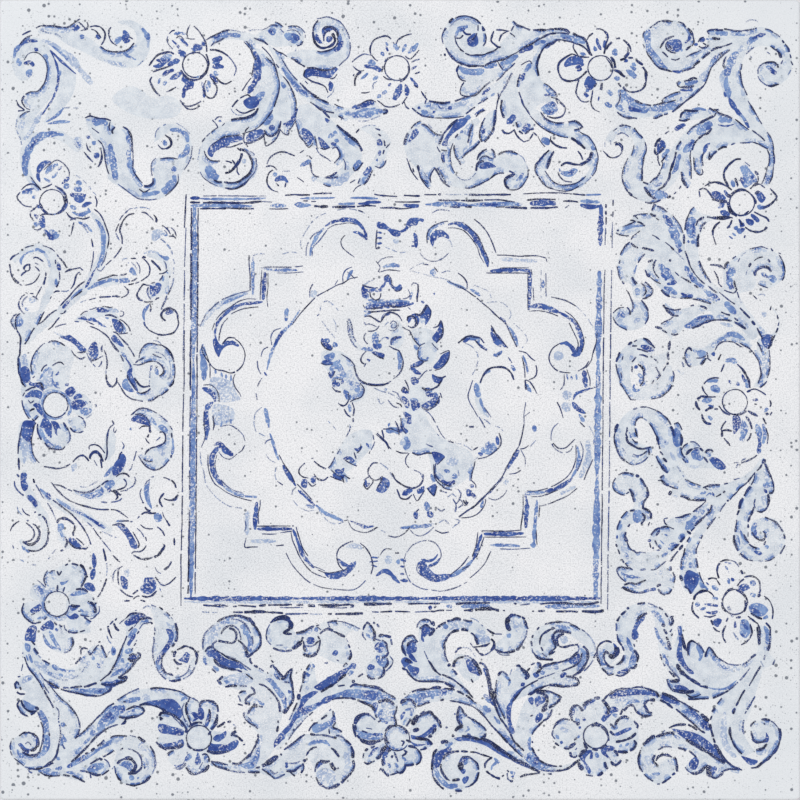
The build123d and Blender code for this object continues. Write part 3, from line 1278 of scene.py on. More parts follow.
    "scrolls_left_lower": """
t 132,415 140,410 150,410 160,415 168,423 173,434 173,450 170,460 160,468 150,468 142,460 146,450 158,446
164,441 164,434 158,431 150,424 140,420
b9 24,470 25,484 32,498 42,514 46,530 42,545 30,549 20,540
b10 110,430 110,444 106,460
b12 74,491 90,494 104,489 116,475 121,462
b9 40,490 52,501 66,508 82,515 98,524 112,531
b6 116,483 122,480 128,482 130,486
b9 60,524 61,534 66,544 76,545
L1.8 130.5,415 133,413.5 136,411 139.5,409 144,408.3 149,409.5 153,411 157,413
l1.5 159,414.5 163.5,418.5 167.5,422
l1.4 170,426 172.5,430
L2.2 135,414.5 139,414.3 143,415.5 147,418 149,421.5 150,426
A 131,419.5 134,416 138,415 143,416 147,419 149,423 149.5,426 145,425 140,423.5 136,422 131.5,421
W3 136,417.5 142,419 147,423
a 151,416.5 154,419 156.5,423 157,426 154,424.5 151.5,421
L2.4 149.8,426 149.8,430 150.5,432.5
L2.2 149,434 147.5,437.5
L1.6 145.5,438 147,441 149.5,443.5
L1.6 139,429 142,426.5 146,426 149,426.5
w3 129.5,429.3 131.5,429
a 158,426 162,424.5 166,427 168,431 165,432.5 161,430
L2 159.5,432.5 162.5,432 165,434.5 165.5,438.5 164.5,442.5 161,444.8 157,446.5 153,447.3 149.5,449
146.5,451.5 145,454.5
l1.4 156,441 160.5,437
L1.8 171.5,433 172,438
w2.4 172.5,438 173.2,444 173,450 171.8,455
L2.2 171.5,455 171,458
l1.6 138,455.5 141,459.5
L1.6 143,459 147,461 153,461.7
L2.2 140.5,459.5 143.5,463.5 147.5,467.5 151,469.3 155,470 160,468.8
L1.7 160,468.8 164,466 167,462.5 169.5,459.5
q 157,448 162,449 165,453 163,456 159,453
L2 113.5,424.5 110,427.5 108.2,432 107,438 107,445 107.2,452 106.5,457 105,460.5
L2 112,420.5 114,424.5
l1.3 114.5,427 113.5,430 115,432.5 116.5,429.5
l1.5 122,442 124,446 122.5,449.5
L1.8 122,451.5 119.5,455 118.5,459
l1.6 136.5,451 135,456 133.5,461
l1.4 132.5,464 131,469 129,470.5
A 117,460 120,455.5 123,453.5 126,457 126,462 124,467 121,472 117,475 114,476 112,471 114,465
a 113,466 111,472 108,476 104,477 108,470
L2 100.5,485.5 96,488.5 90,491.5 84,492.5 78,491.8 73,490
L2 101.5,485 105,482 108.5,480.5
a 75,492 80,494 86,493.5 92,492 98,489 102,487 104,491 102,495 96,498 90,499 85,497 79,495.5
l1.6 101,501.8 107,502.5
l1.6 111,502.3 116,501.5 120,500 122,498
L1.8 116,477 119,474.5 123,473.3 127,474.5 129.5,477
l2 134.5,477 135.5,480.5 134,484.5 131,487.5 127,489.3
L1.8 123.5,479 126,481.5 126.5,484.5 124.5,487.5 121,489 117,490
l1.6 120,491.3 124,490.6 127.5,490.5
L2.2 113,490.5 116,491 119,494 121,495
L2 110,490.8 114,492 117,495 117.5,497.5 115.5,500
A 107,489 109.5,487.5 111,490.5 109,492.5 107,491
a 108,481 113,480 115,484 111,488 107,489 104,486
L1.8 89,449.5 89,446.5 91.5,445 95,444.5 99,446 102,449 105,453
L3 90,459 90.5,455.5 93,452.5 96,452 99,454 101.5,457.5 103.5,461.5
L2.8 101.5,457 101,463 102,468
L2.2 73,462 76,458.5 79.5,456 83,455.5 86.5,458 89,461
q 71,466 75,462.5 77.5,466 75,470 72.5,472
l1.3 94,460 96,464 97,466
L1.8 44,466.5 50,467.5 56,468.5 61,468 66,466.5 70,464
L2.2 51,482 55,487 59.5,492.5 64,497 69,500.5
L2 69,500.5 76,503.5 82,505.5 88,507 94,508.5 101,509.5 109,509.5
L1.7 111,509.5 115,510 119,511.5 123,514.5 128,518
L1.6 54,484.5 61,485.8 67,489 72,491
f1.4 80,486.5 86,487 92,484.5 98,481
L2.2 18.5,458 19,464 19.2,470
l2 17,474 19.5,477
A 21,473.5 26,473 27,477 25.5,481 28,485 27,489.5 24,491 21.5,487 20.5,481
l1.8 14.5,481 15,486 17.5,490 21,493.5 24,495.5
A 27,496 30,494.5 34,498 37,502 37.5,506 35,507.5 32,503 29,500.5
L1.8 22,508.5 24,512 27,514.5 30,516
f1.5 17,506 18.5,511 22,515
L1.6 34,512.5 36,511.8
L1.8 38,515 41,514.5
L2 42.5,516 45,519 47,524
L2.2 47,524 48.2,530 47.8,537 46.5,543 43,547.5 38,550.3 32,551 28,550
L1.8 26,522.5 30,526 33.5,530 34.5,534 33,538 29.5,541 25,542
L3.2 36,526 39,530 39.5,535 37.5,540 33.5,543.5 29,544.5 25,543 22.5,541.5
L1.7 32.5,523.5 36,525.5 38.5,528.5
L1.6 19.5,521 15.5,523.5 12,527 10.5,531
l1.3 12.5,545 13.5,548.5
L2 13.8,551 14.2,552.5
f1.3 20.5,559.5 24,561.5
f1.3 31,564.5 36,564.8
w3 22,546 26,550 30,551.5
l1.4 26.5,520.3 29,520.6
w3.4 40,488.5 45,494 51,500
A 47,492.5 50,493.5 51,498.5 48,498 45.5,495.5
L2.2 33.5,479 34.5,483
l1.5 36,484.5 40,492 43,497 46.5,500.5
L2 53,500 59,504.5 64,508.5 69,512 73,515.5
a 56,498.5 62,501 70,506.5 78,511 86,514.5 94,519.5 106,527.5 100,527 92,521.5 84,516.5 76,513 68,509 60,504
W2.2 86,516 94,521 101,526.5 105,528.5
L1.8 73,515.5 77,520 81,525 84,529.5 86.5,533.5
l1.8 86.5,533.5 89,538.5 91,544.5
L1.6 93,528 95,531 98,535.5 101,538.5
l1.4 87,522 92,526.5
f1.4 102,531 108,534 113,536.5 117,537.8
l1.4 102,540.5 106,545.5 111,551.5
L1.7 113,555.5 117,559.5 120.5,562.5
l1.5 47.5,503 50.5,508 53.5,514 56,520
L3 57,523 59,519.5 63,518.3 67,519 71,521.5 74,524.5
L2.2 74.5,525 74.5,529 73,533 73.5,536
a 58,524 63,523.5 64,528 62,531 64.5,536 66,541 63,540 60,534 57.5,530
L2.4 64.5,537 67,542 65,547.5
L1.8 76,538 80,541 84,545
A 68.5,538.5 72,537.5 76,540 80,544.5 82,547 77,547.5 73,546 70,543
L2.2 68,541 72,545.5 76,548 81,547.5
L2 79,549 83,548.5 86,548.8 88,547
L2.2 60.5,551 63.5,550
f1.4 56,549 52,554 48,559.5
L1.6 163,477.5 166,478 170,480
L2.6 171,480 174,483 176,488
L2.4 164,493 161.5,496 159.5,500 160.5,504 162.5,507
L2.4 164,498.5 168,500 172,500 175.5,498 178,495
A 172,500 176,496.5 178,495 177,499.5 174,501.5
l1.6 151,477.5 154,476.5
l1.5 150,479 146.5,482 144.5,486
l1.5 141.5,488.5 140,493 141,498 143,502
a 144,488 147,483 150,481 149,490 150,500 152,509 148,505 145,498
L1.8 142,502.5 144,503
L2.2 145,507 147,510 150.5,511
L1.6 162.5,512 163.5,516 166,520
L2.6 166.5,520 168,523 170,526
L2.4 141.5,514.5 144,512.8 148,512.5 152,513.5 156,512.8
l1.6 137.5,518.5 139.5,516
a 154,514 159,513 162,517 161,521 157,522 154,519
L1.6 140.5,524.5 145,528 150,528.8 153,528.6
L2 157,527 160,529 163,532.5 164.5,536
L1.6 145.5,537 146.5,541
L3 163.5,544 164.5,546 161.5,551 158,555 154,557
L2.4 153,557 148,558.8 142,559 137,557 133.5,555
L1.6 131.5,553.5 134,551.5 140,551.5 144,549 146.5,545
l1.4 137,528.5 141,532 144,537
L2.4 112.5,525.5 116,524.5 121,524 125,526
w3 116,521.5 121,521 126,520.8
L1.8 119,521.5 125,521 129,520.8
l1.6 129.5,521.5 132.5,521.6
A 117,525.5 122,525 126.5,527 130.5,532 134,537.5 136.5,543 138,547.5 135,549 131,547 128.5,541 125,534.5
120,529
L1.6 133,532 136.5,538 139,544 138,548
L2.4 174,538 174.5,545
L2.6 171.5,561.5 169,566 164,570
l1.5 155,567 157,571 161,573.5
L1.6 165,585.5 170,583 176,577
l1.5 158,581 161,584.5 165,585.5
L1.6 122.5,566 119,568.5 118,573 118,580 119,585
l1.5 119,567.5 115,571.5 113,577 113.5,582
A 120.5,576 124,576.5 127.5,580 128,586 127,589.5 123,588.5 121,583
q 124,570 127.5,568.5 130,573 128,577 124.5,574
A 145,577.5 149,577.5 154,578 156,583 156,589 153,592.5 148,594.5 142,592 140,588 143,584
L2.4 142,596 147,597 152,595.5 156.5,591
L2 120,589 124,593 129,596 133,597
L2.2 132.5,594 136,591.5 138,590
L1.8 133,599 137,596 139.5,596
L1.8 124,600.8 130,600.8
L1.8 140.5,600 145.5,601.5
L2 155,577 158,580.5
W2 159.5,588 160.5,591
""",
    "scrolls_far_middle_left": """
t 208,44 214,38 224,32 234,31 246,32 258,37 268,42 258,44 250,44 244,41 232,39 222,41 213,46
t 254,38 262,31 270,26 278,26 284,31 292,28 300,30 304,38 301,44 296,46 286,46 276,47 266,43
t 252,48 260,49 268,55 275,66 279,82 278,96 272,110 262,124 250,131 236,135 222,138 211,146 205,152
208,158 214,161 210,166 216,178 230,182 243,178 251,170 250,158 244,150 252,152 256,162 253,174 244,184
230,189 214,185 203,177 199,162 203,142 212,132 222,124 236,119 250,117 258,108 252,98 258,80 259,64
t 264,50 272,59 277,72 279,88 276,100 271,112 266,122 268,134 273,135 279,128 281,121 284,131 288,134
292,126 296,116 296,104 292,90 284,78 276,64 270,54
t 268,45 280,54 290,70 300,83 314,95 330,104 344,108 354,107 366,101 374,101 380,109 386,111 376,117
358,119 342,118 328,116 316,107 304,99 292,86 282,72 274,58
t 297,108 306,104 316,109 328,117 338,126 350,137 359,145 362,154 361,164 354,173 344,181 330,185 318,182
312,175 324,177 336,172 343,164 341,152 338,145 330,148 322,148 316,141 309,146 302,139 298,128
t 360,128 372,125 384,131 391,141 388,150 384,161 377,168 370,172 364,183 358,182 364,171 372,162 377,150
374,138 366,132
t 314,30 320,20 330,17 341,22 348,33 350,46 347,57 339,66 326,69 310,68 298,62 286,55 300,50 314,50 326,52
336,48 342,41 338,31 330,26 321,28 316,36
# stem from the first flower
L2.2 206,40 211,37 217,34 224,31 230,30
f1.3 230,30 236,31 242,32 252,30 262,30
L1.8 211,46 214,43 219,41 224,38
w4.5 214,40 222,36 232,35 241,36
W3 214,38 220,35
L1.3 244,42 248,46 252,51
L1.4 246,41 250,46 253,50
# lobes over the stem
l1.3 262,30 267,28 270,26
L1.8 270,25 274,25 278,26
L1.8 275,22 279,24 283,27
w7 268,31 276,32
W4 269,31 273,31
l1.2 280,29 284,33
L1.6 288,27 292,26 297,26
l1.3 297,26 302,29 305,33 305,38
l1.3 287,31 292,30 298,32 301,36
w6 284,34 290,37 296,43
W6 291,34 296,37 299,40
L2 303,41 301,44 297,46
f1.2 296,48 295,52
# upper edge of the long stem
L2 254,38 259,40 264,42 268,45
L1.6 273,48 278,52 283,54 287,57
L2.2 291,58 296,61 300,64 305,67
# first leaf
L2 251,49 253,55 256,60
W7 254,51 257,58 258,65 257,73 256,80 252,87 248,94
L1.6 254,63 253,70 252,76
L1.7 251,78 247,83 244,88 242,91
A 243,102 247,98 254,96 259,98 259,104 255,108 250,109 246,107
a 255,97 260,92 265,92 263,98 259,102
L1.6 240,98 244,96 248,95 251,97
L2 238,100 235,103 232,107
f1.3 231,109 233,112 238,115 243,115
L1.7 236,109 240,112 245,113 250,111 255,109
L2.8 258,108 256,112 251,116 244,118 237,119 231,120
p6 262,54 264,60 266,66
w4 260,62 264,66
# second leaf
L1.6 262,47 267,52 272,59 275,66 277,74 279,82 279,90 277,98 274,107 270,114 262,124 254,130 248,132 242,134
L1.3 266,57 271,62 276,68
w7 272,114 268,120 264,125
W6 269,129 275,127
L2.2 264,130 267,135 272,136 276,133 279,128 281,121
L1.8 264,136 265,142 266,146 270,144 275,140 278,135 280,130
w3 272,141 276,137
L1.5 280,129 283,133 288,135 289,131 292,127 295,122
W4.5 283,124 288,124 292,121 295,115 297,108
# third leaf
L1.4 276,64 279,68
L1.6 283,76 287,81 291,88 294,95 296,102 296,110 296,118
w4 281,82 285,88
# tail of the first leaf
W8 212,157 211,152 215,147 222,143 230,140 238,138 244,137
L1.6 212,146 217,141 224,137 232,136 240,135
L1.8 225,147 231,147 237,145 243,143
A 246,138 250,132 256,130 262,129 264,133 260,138 254,142 248,143
L2.4 245,143 250,143 257,140 263,136 266,132
L1.8 249,127 246,130 244,135 244,141 248,147
L1.4 212,120 216,124 218,127
L1.4 215,120 218,117 222,117
W2.6 220,120 220,122
L1.2 222,126 225,123
L1.6 218,127 214,130 211,133
L1.6 205,138 202,142
l1.3 210,133 206,137
f1.3 200,147 199,153 198,160
L1.6 204,151 206,156 210,160 214,161 220,161
L1.8 226,161 230,162 232,163
l1.3 200,172 203,177 208,181 213,184 218,186
L2.4 225,188 232,189 238,188 244,184 249,179
l1.4 249,179 254,173 256,168 256,160 254,154 250,151
L2.4 214,180 218,182 222,182
L2.6 224,182 230,183 238,182 244,178 249,174 252,168 252,162 250,157 247,152 243,149
L3 240,149 245,151 250,156
w8 207,166 211,173 218,179
L3.4 225,173 230,172 234,168 238,163 241,158 242,153
L2 232,160 235,164 237,168 237,172 239,175
L2.2 237,148 241,151
p6 242,160 246,162
# volute under the far edge
l1.5 317,19 322,18 328,17 334,19 340,22 345,28 348,34 350,42 350,50 348,57 343,62 339,66
L1.8 318,20 314,26 313,32
L3.2 313,32 314,40 317,45 322,48 328,47 333,44 335,40 333,35 330,31 326,32 324,36 324,41
L3 323,30 327,27 333,28 337,32 338,37
L1.8 337,38 338,42 336,46 332,49 327,51 321,52 317,51
A 322,29 327,26 334,29 330,31 326,33 323,36
w4 339,33 340,39 341,44
A 338,43 343,41 343,46 340,50 336,52 333,50 337,47
W5 316,34 318,40 322,43
W6 327,37 331,41
# blue leaf below the volute
A 306,69 312,68 320,70 328,70 335,67 338,69 334,74 330,78 320,77 312,76 306,78 304,74
L2.2 307,68 314,68 322,70 330,70 336,67
L1.8 305,70 304,76 308,79 314,82 320,84 325,87 328,93
W4.5 330,81 331,86 330,91
L1.3 337,74 334,78 330,79
f1.3 334,88 333,92 327,98
L1.3 305,81 308,84
# long stem to the second flower
L2.6 300,83 306,89 312,94 318,98 324,101 331,104
l1.4 281,57 285,64 289,71 294,77 300,83
L1.3 334,104 338,106 344,108
L2.6 310,102 316,106 322,110 328,112 334,113
L2.2 322,110 326,114 330,118
L1.8 338,116 342,118 344,119
w5 282,68 288,76 294,84 301,91 308,97
W3 302,90 308,96
L1.5 357,106 361,104 366,101 371,100 376,102
W5 352,108 360,106 368,103 374,103
w6 344,113 355,115 366,115 376,112 384,111
w4 356,112 366,110 376,108
L2.6 383,110 387,110 386,113 383,114
f1.3 380,116 372,119 364,121 358,121
# dark edged lobes of the fourth leaf
A 302,128 308,130 313,135 314,140 311,144 307,142 303,137
L2 298,130 300,136 305,142 309,147 313,143
L1.4 295,120 297,127 299,134
L1.6 315,136 316,142 317,147
l1.5 316,148 320,154 326,158 331,162
A 318,137 322,139 326,143 329,147 325,149 321,147 319,142
L2 320,148 325,149 330,147
w5 328,138 332,135 337,132
W4 331,143 336,145
w4 334,140 339,141
L1.8 332,149 336,147 339,151 340,156 337,160 334,163
W4 325,118 329,122
L3.2 337,125 341,129 346,133 352,138 357,142 360,146 362,151
w5 342,132 348,138 355,146
L1.3 341,120 343,116
w7 360,160 357,166 354,170
L1.6 353,167 355,171 359,168 363,162
W5.5 371,167 368,171 364,175
w6 366,177 363,183
L2.2 373,170 370,175 367,181 364,185
L1.4 360,178 358,184
L1.4 350,183 355,180
L1.3 353,192 356,188 361,185
W6 379,139 380,146
L2.6 384,140 385,146
W4 380,150 379,156
L2 384,150 383,154
L1.4 386,148 390,143
L2 375,128 380,130
L2 378,134 381,136
w3 376,160 378,160
L1.8 375,166 380,168 384,165 386,160
L1.8 356,133 359,129
f1.1 362,127 370,125 376,126
# lower scroll
L2 309,156 312,159
L2.4 310,162 311,168 312,173
L1.8 312,173 315,176 319,177
L2.4 325,178 331,176 337,172
L1.8 326,178 332,178 338,177
p9 326,184 336,182 344,178 350,172
L1.8 323,184 327,186 331,187
p6 312,176 316,180
l1.5 343,158 345,163 345,170
w5 300,166 306,163 311,161
# small curl
L1.8 267,164 269,159 273,155 279,152 285,152 290,154 295,156
L2 266,167 270,166 274,167 277,170
L1.7 273,170 269,173 267,179 268,185 272,190 278,192
W4.5 275,181 280,178 285,179 288,183
L2.4 285,187 286,183
w3.5 273,176 277,173
L1.4 276,183 279,186
f1.2 282,171 290,171
L1.3 297,177 304,182
L1.3 300,153 304,150
""",
    "scrolls_far_middle_right": """
t 443,36 445,27 452,19 463,16 474,17 482,24 486,34 484,46 498,50 494,62 480,66 468,66 456,61 448,52 444,44
t 498,48 510,33 514,26 520,27 531,31 552,30 566,31 576,36 586,42 590,52 578,45 566,40 554,41 545,47 539,56
536,50 524,52 512,58 500,64
t 538,64 540,78 546,85 552,90 557,97 553,102 540,104 530,112 524,104 519,90 520,78 528,64
t 460,68 484,70 500,68 512,64 504,74 492,82 480,92 466,97 460,94 462,86 465,81 458,74
t 426,102 440,104 456,102 472,97 486,88 500,80 512,70 504,88 490,98 476,107 464,116 444,118 426,117
412,110 418,104
t 404,146 408,132 416,124 424,124 434,132 444,136 440,146 443,162 436,168 430,176 431,184 424,180 416,168
408,158
t 436,170 444,180 452,186 466,188 484,183 500,173 514,174 506,180 510,189 520,188 527,178 527,165 520,155
508,151 498,156 488,150 478,158 476,170 468,178 460,179 452,168 450,150 456,138 448,144 444,158
t 456,138 466,126 476,118 480,122 472,130 468,146 474,148 466,154 460,160 455,150
t 484,118 494,110 497,112 495,126 490,136 484,142 480,134
t 498,94 508,80 517,74 518,88 522,104 530,116 534,126 530,130 520,132 512,122 504,118 502,106
t 548,150 538,162 535,170 542,182 554,189 568,191 582,184 595,172 598,156 594,142 586,134 575,130 580,137
584,148 592,152 586,164 590,168 582,178 570,184 558,184 548,175 546,165 552,152
t 524,104 540,112 548,119 560,123 580,124 575,130 584,136 570,138 556,134 540,126 528,114
# volute
L1.5 443,44 442,38 443,33 445,29
L2.8 444,31 446,28
L2.4 449,23 453,18
L1.8 455,18.5 460,16.5 466,16 472,17.5 477,20 481,24
f1.3 450,27 454,22 460,19 466,19.5 473,19 478,23
L3 482,26 484,31
L1.5 485,33 486,38 485,43 483,46
L2.6 446,48 449,53 453,58 458,62 463,64 470,66 477,66 484,66
L1.8 455,36 456,42 458,46 461,50 464,52
L1.8 465,53 470,55 476,55 482,55 488,53 494,51 499,47
L2.4 494,31 492,36 491,41 494,44 498,47 501,47
L2 496,30 502,30 508,31
L2.4 503,34 501,36 499,41
L1.4 503,34 506,32 509,31
L1.8 514,26 511,31
L1.4 510,33 514,36 515,37
p2 512,38 517,39
w4.5 456,37 457,33 459,30 463,28 468,26
W5 460,30 465,29
A 467,40 470,36 475,33 478,38 478,44 473,47 468,45
L2.4 463,31 466,34 471,34
L2 477,33 474,38 472,40
L2 456,38 460,38 463,35
L1.4 478,25 478,31
# band below the volute
a 459,66 466,68 474,69 483,68 484,72 480,75 470,75 462,73
L2.4 459,65 457,69 457,72
L1.6 457,72 459,77 462,80 466,81
L1.6 464,82 461,87 460,92 461,95
L2 461,95 465,96 470,96 475,95 480,91 485,86 490,82
L1.5 496,81 501,77 505,72 510,68 515,63
L1.4 497,60 500,66 503,70
w5 484,67 490,66 497,64
w6 500,64 506,62 512,59 518,55
L2.2 484,66 490,63 497,61 505,59 510,56 516,53
L2.2 516,53 525,47 533,43 540,38
W5 519,53 526,49 533,46
w4 534,45 540,42 546,42
# stem to the second flower
L2.6 429,101 434,102 440,103 446,103 450,102
L2.2 455,101 461,99 467,97 471,96
p6 430,108 445,108 458,105 470,102
w4 421,111 428,113
w3 424,106 430,106
W5 448,109 452,107
W4 433,111 435,113
W1.8 438,105 440,108 444,108
w1.6 426,104 430,103 430,108
L2.2 412,108 417,112 423,116 428,117 434,118
L1.4 434,118 442,118 450,118 458,117 464,116
L2 466,114 472,109 475,107
W3 482,95 487,90 490,88
w3 491,96 495,93
L2.4 478,104 483,101 488,98
L1.6 404,101 406,107 409,109
W3 417,109 420,107
L2 421,91 424,96 427,100
L1.6 425,104 426,100
# stem to the third flower
L2.4 513,21 517,25 523,27 530,30
L2.8 533,30 540,30 546,30
L1.8 546,30 550,29 554,29
L3.2 554,29 560,29 566,30 570,33
L3.4 573,33 578,36 583,38 587,42
L2.4 587,42 588,47 590,53 592,56
L2.4 538,40 543,37 549,34 556,33
L2 556,33 563,33 569,34
w4 560,36 568,37 576,40 585,43
W2.4 562,38 568,38
w2.4 572,40 578,43
p6 545,38 553,37
L2.6 540,54 543,49 548,45 553,43 557,40 562,40
L1.8 562,40 567,41 572,42 578,45
W3 545,48 550,45
L2.8 540,54 538,60 537,66 538,72 539,76
p5 534,34 540,35
# little leaf in the middle
w5 531,63 528,68 525,72
W5 525,73 522,78 522,81
L1.8 520,74 518,80 517,87
L1.4 521,65 526,62 530,61 532,64
L2 519,92 521,98 523,104 527,110 530,115
l2.4 512,73 508,81 505,87 501,93
L1.8 498,93 499,99
L1.4 501,93 498,100 496,110
# lobes at right
w7 546,89 551,92 553,96
W3 544,95 550,95
L1.4 544,83 549,86 552,90
L2 551,88 555,92 557,97
L2.2 551,97 557,99 561,103 565,107
L2 565,107 565,111 562,116 557,118 552,118 547,116
a 541,108 546,104 552,101 556,104 558,110 554,114 548,115 543,112
W3.4 552,102 555,106
W2.6 545,110 550,112 555,111
L1.8 556,99 558,104
L2 541,112 544,117 549,121 556,123 564,123
# big left lobe
L1.8 411,129 414,125 418,122 421,121
L2.4 421,124 425,125 429,128 433,132 438,135 443,135
f1.2 428,124 433,129 438,132
A 411,135 413,130 416,128 419,132 416,137 411,141 408,142
L3 408,133 406,138 404,145
L1.4 407,158 409,164 411,170 414,175 418,180
L1.6 417,166 419,172 421,178 424,183 428,188 430,189
L2.4 418,165 419,171
L2.2 413,168 414,172
f1.2 424,172 427,177
L1.2 421,178 425,182 428,184
A 442,145 445,138 450,130 455,122 459,119 464,118 468,120 464,126 458,130 453,134 448,140 447,146
L2.8 443,135 447,130 452,124 458,119
L2.4 443,135 441,140 439,145
w3 460,133 463,131
L2 458,134 455,138
w4 463,121 470,116
W3 475,115 480,111 484,109
L2 476,117 479,113 485,110
L1.4 437,146 438,149 440,152
L1.8 441,150 447,151
W4 443,153 443,158 444,163
L1.6 441,158 444,163
L2.2 435,168 432,172 430,178 431,183
L2.4 435,168 438,173 441,179 445,184
L1.4 437,168 441,174 446,183
L1.6 445,184 450,187
W2 434,167 438,171
L1.4 453,143 451,149 450,156 451,163 453,170 457,176
f1.4 457,176 461,179 466,180 471,178 476,173
L2 454,145 454,151 456,157 459,161 461,165
L2.6 462,158 466,154 471,150 476,146 480,141
L2 473,124 471,129 469,136 468,143
w3.6 473,124 472,132 471,140 470,146
L2.2 485,118 482,124 480,131 480,138 482,142
W3.4 484,128 483,134
L3 496,110 495,118 494,126 492,132
L2.4 492,132 488,138 484,142
W2.6 495,128 491,135
L2.4 477,160 479,155 483,151 487,149
L2.2 491,149 494,152 495,158
L2 479,160 482,157 486,156 490,158 494,159
L3 476,171 477,165 480,162 484,161
A 479,168 483,163 488,162 493,164 496,167 490,168 484,169
L2.2 498,155 503,152 508,151 514,152 518,154
f1.3 518,154 523,158 526,164 528,169
L1.8 465,188 471,188 478,185 484,182 490,179
L2 490,179 495,175 500,173 504,173
L3 509,171 514,174 508,177 505,181 506,186 509,189
L1.5 509,190 515,190 520,188 525,182 528,176 528,170
w3 516,181 520,178 523,173
# dark lobes in the middle
L3 502,100 501,108 502,113 504,118
W6 507,124 511,120 515,115
L2.4 502,130 505,133 510,133 514,130
L1.8 514,129 516,134 519,138 524,142
L1.6 524,142 529,140 533,134
W7 522,131 527,127 531,126
L2.6 519,131 523,134
L2.4 525,134 530,130 534,129
L2 516,122 518,128
L2 534,133 537,136
L2.4 535,124 534,126
# right leaf and its curl
L1.5 530,116 538,124 543,128 550,132 556,135 562,137 568,138
L3.2 571,138 576,141 581,145 585,149
L1.3 538,136 541,142 545,147
w7 541,140 546,141 549,145
L2.4 550,140 554,144 560,147 567,148
L1.4 551,136 550,142
L2.6 549,150 545,154 540,160 536,165 535,170
L3 554,151 551,156 549,162 547,169
p4 547,152 544,160 543,168
L2.2 535,170 538,176 542,182 547,187 553,189
L1.5 553,189 560,191 568,191 574,189 579,186
L1.6 545,171 549,177 554,182 561,185 568,185 574,184 580,181 586,176
f1.4 579,186 586,182 591,177 595,170
w2.6 580,181 585,177
L1.5 578,131 583,134 588,136 592,141 595,146 597,152
L1.6 597,152 598,158 597,164 596,170 592,176
L2 568,122 575,121 579,123 583,127
L2.4 583,127 579,129 574,130
L2.6 561,166 566,163 573,164 580,165
L3.6 580,165 586,162 590,158 592,152
L2 578,151 581,155 583,160
w4 592,145 594,150
a 559,168 562,171 568,171 573,168 578,170 574,175 570,177 565,176 560,173
W4 568,174 574,171
L1.6 558,172 560,177 565,181 572,182
L3.2 444,55 446,54.6
""",
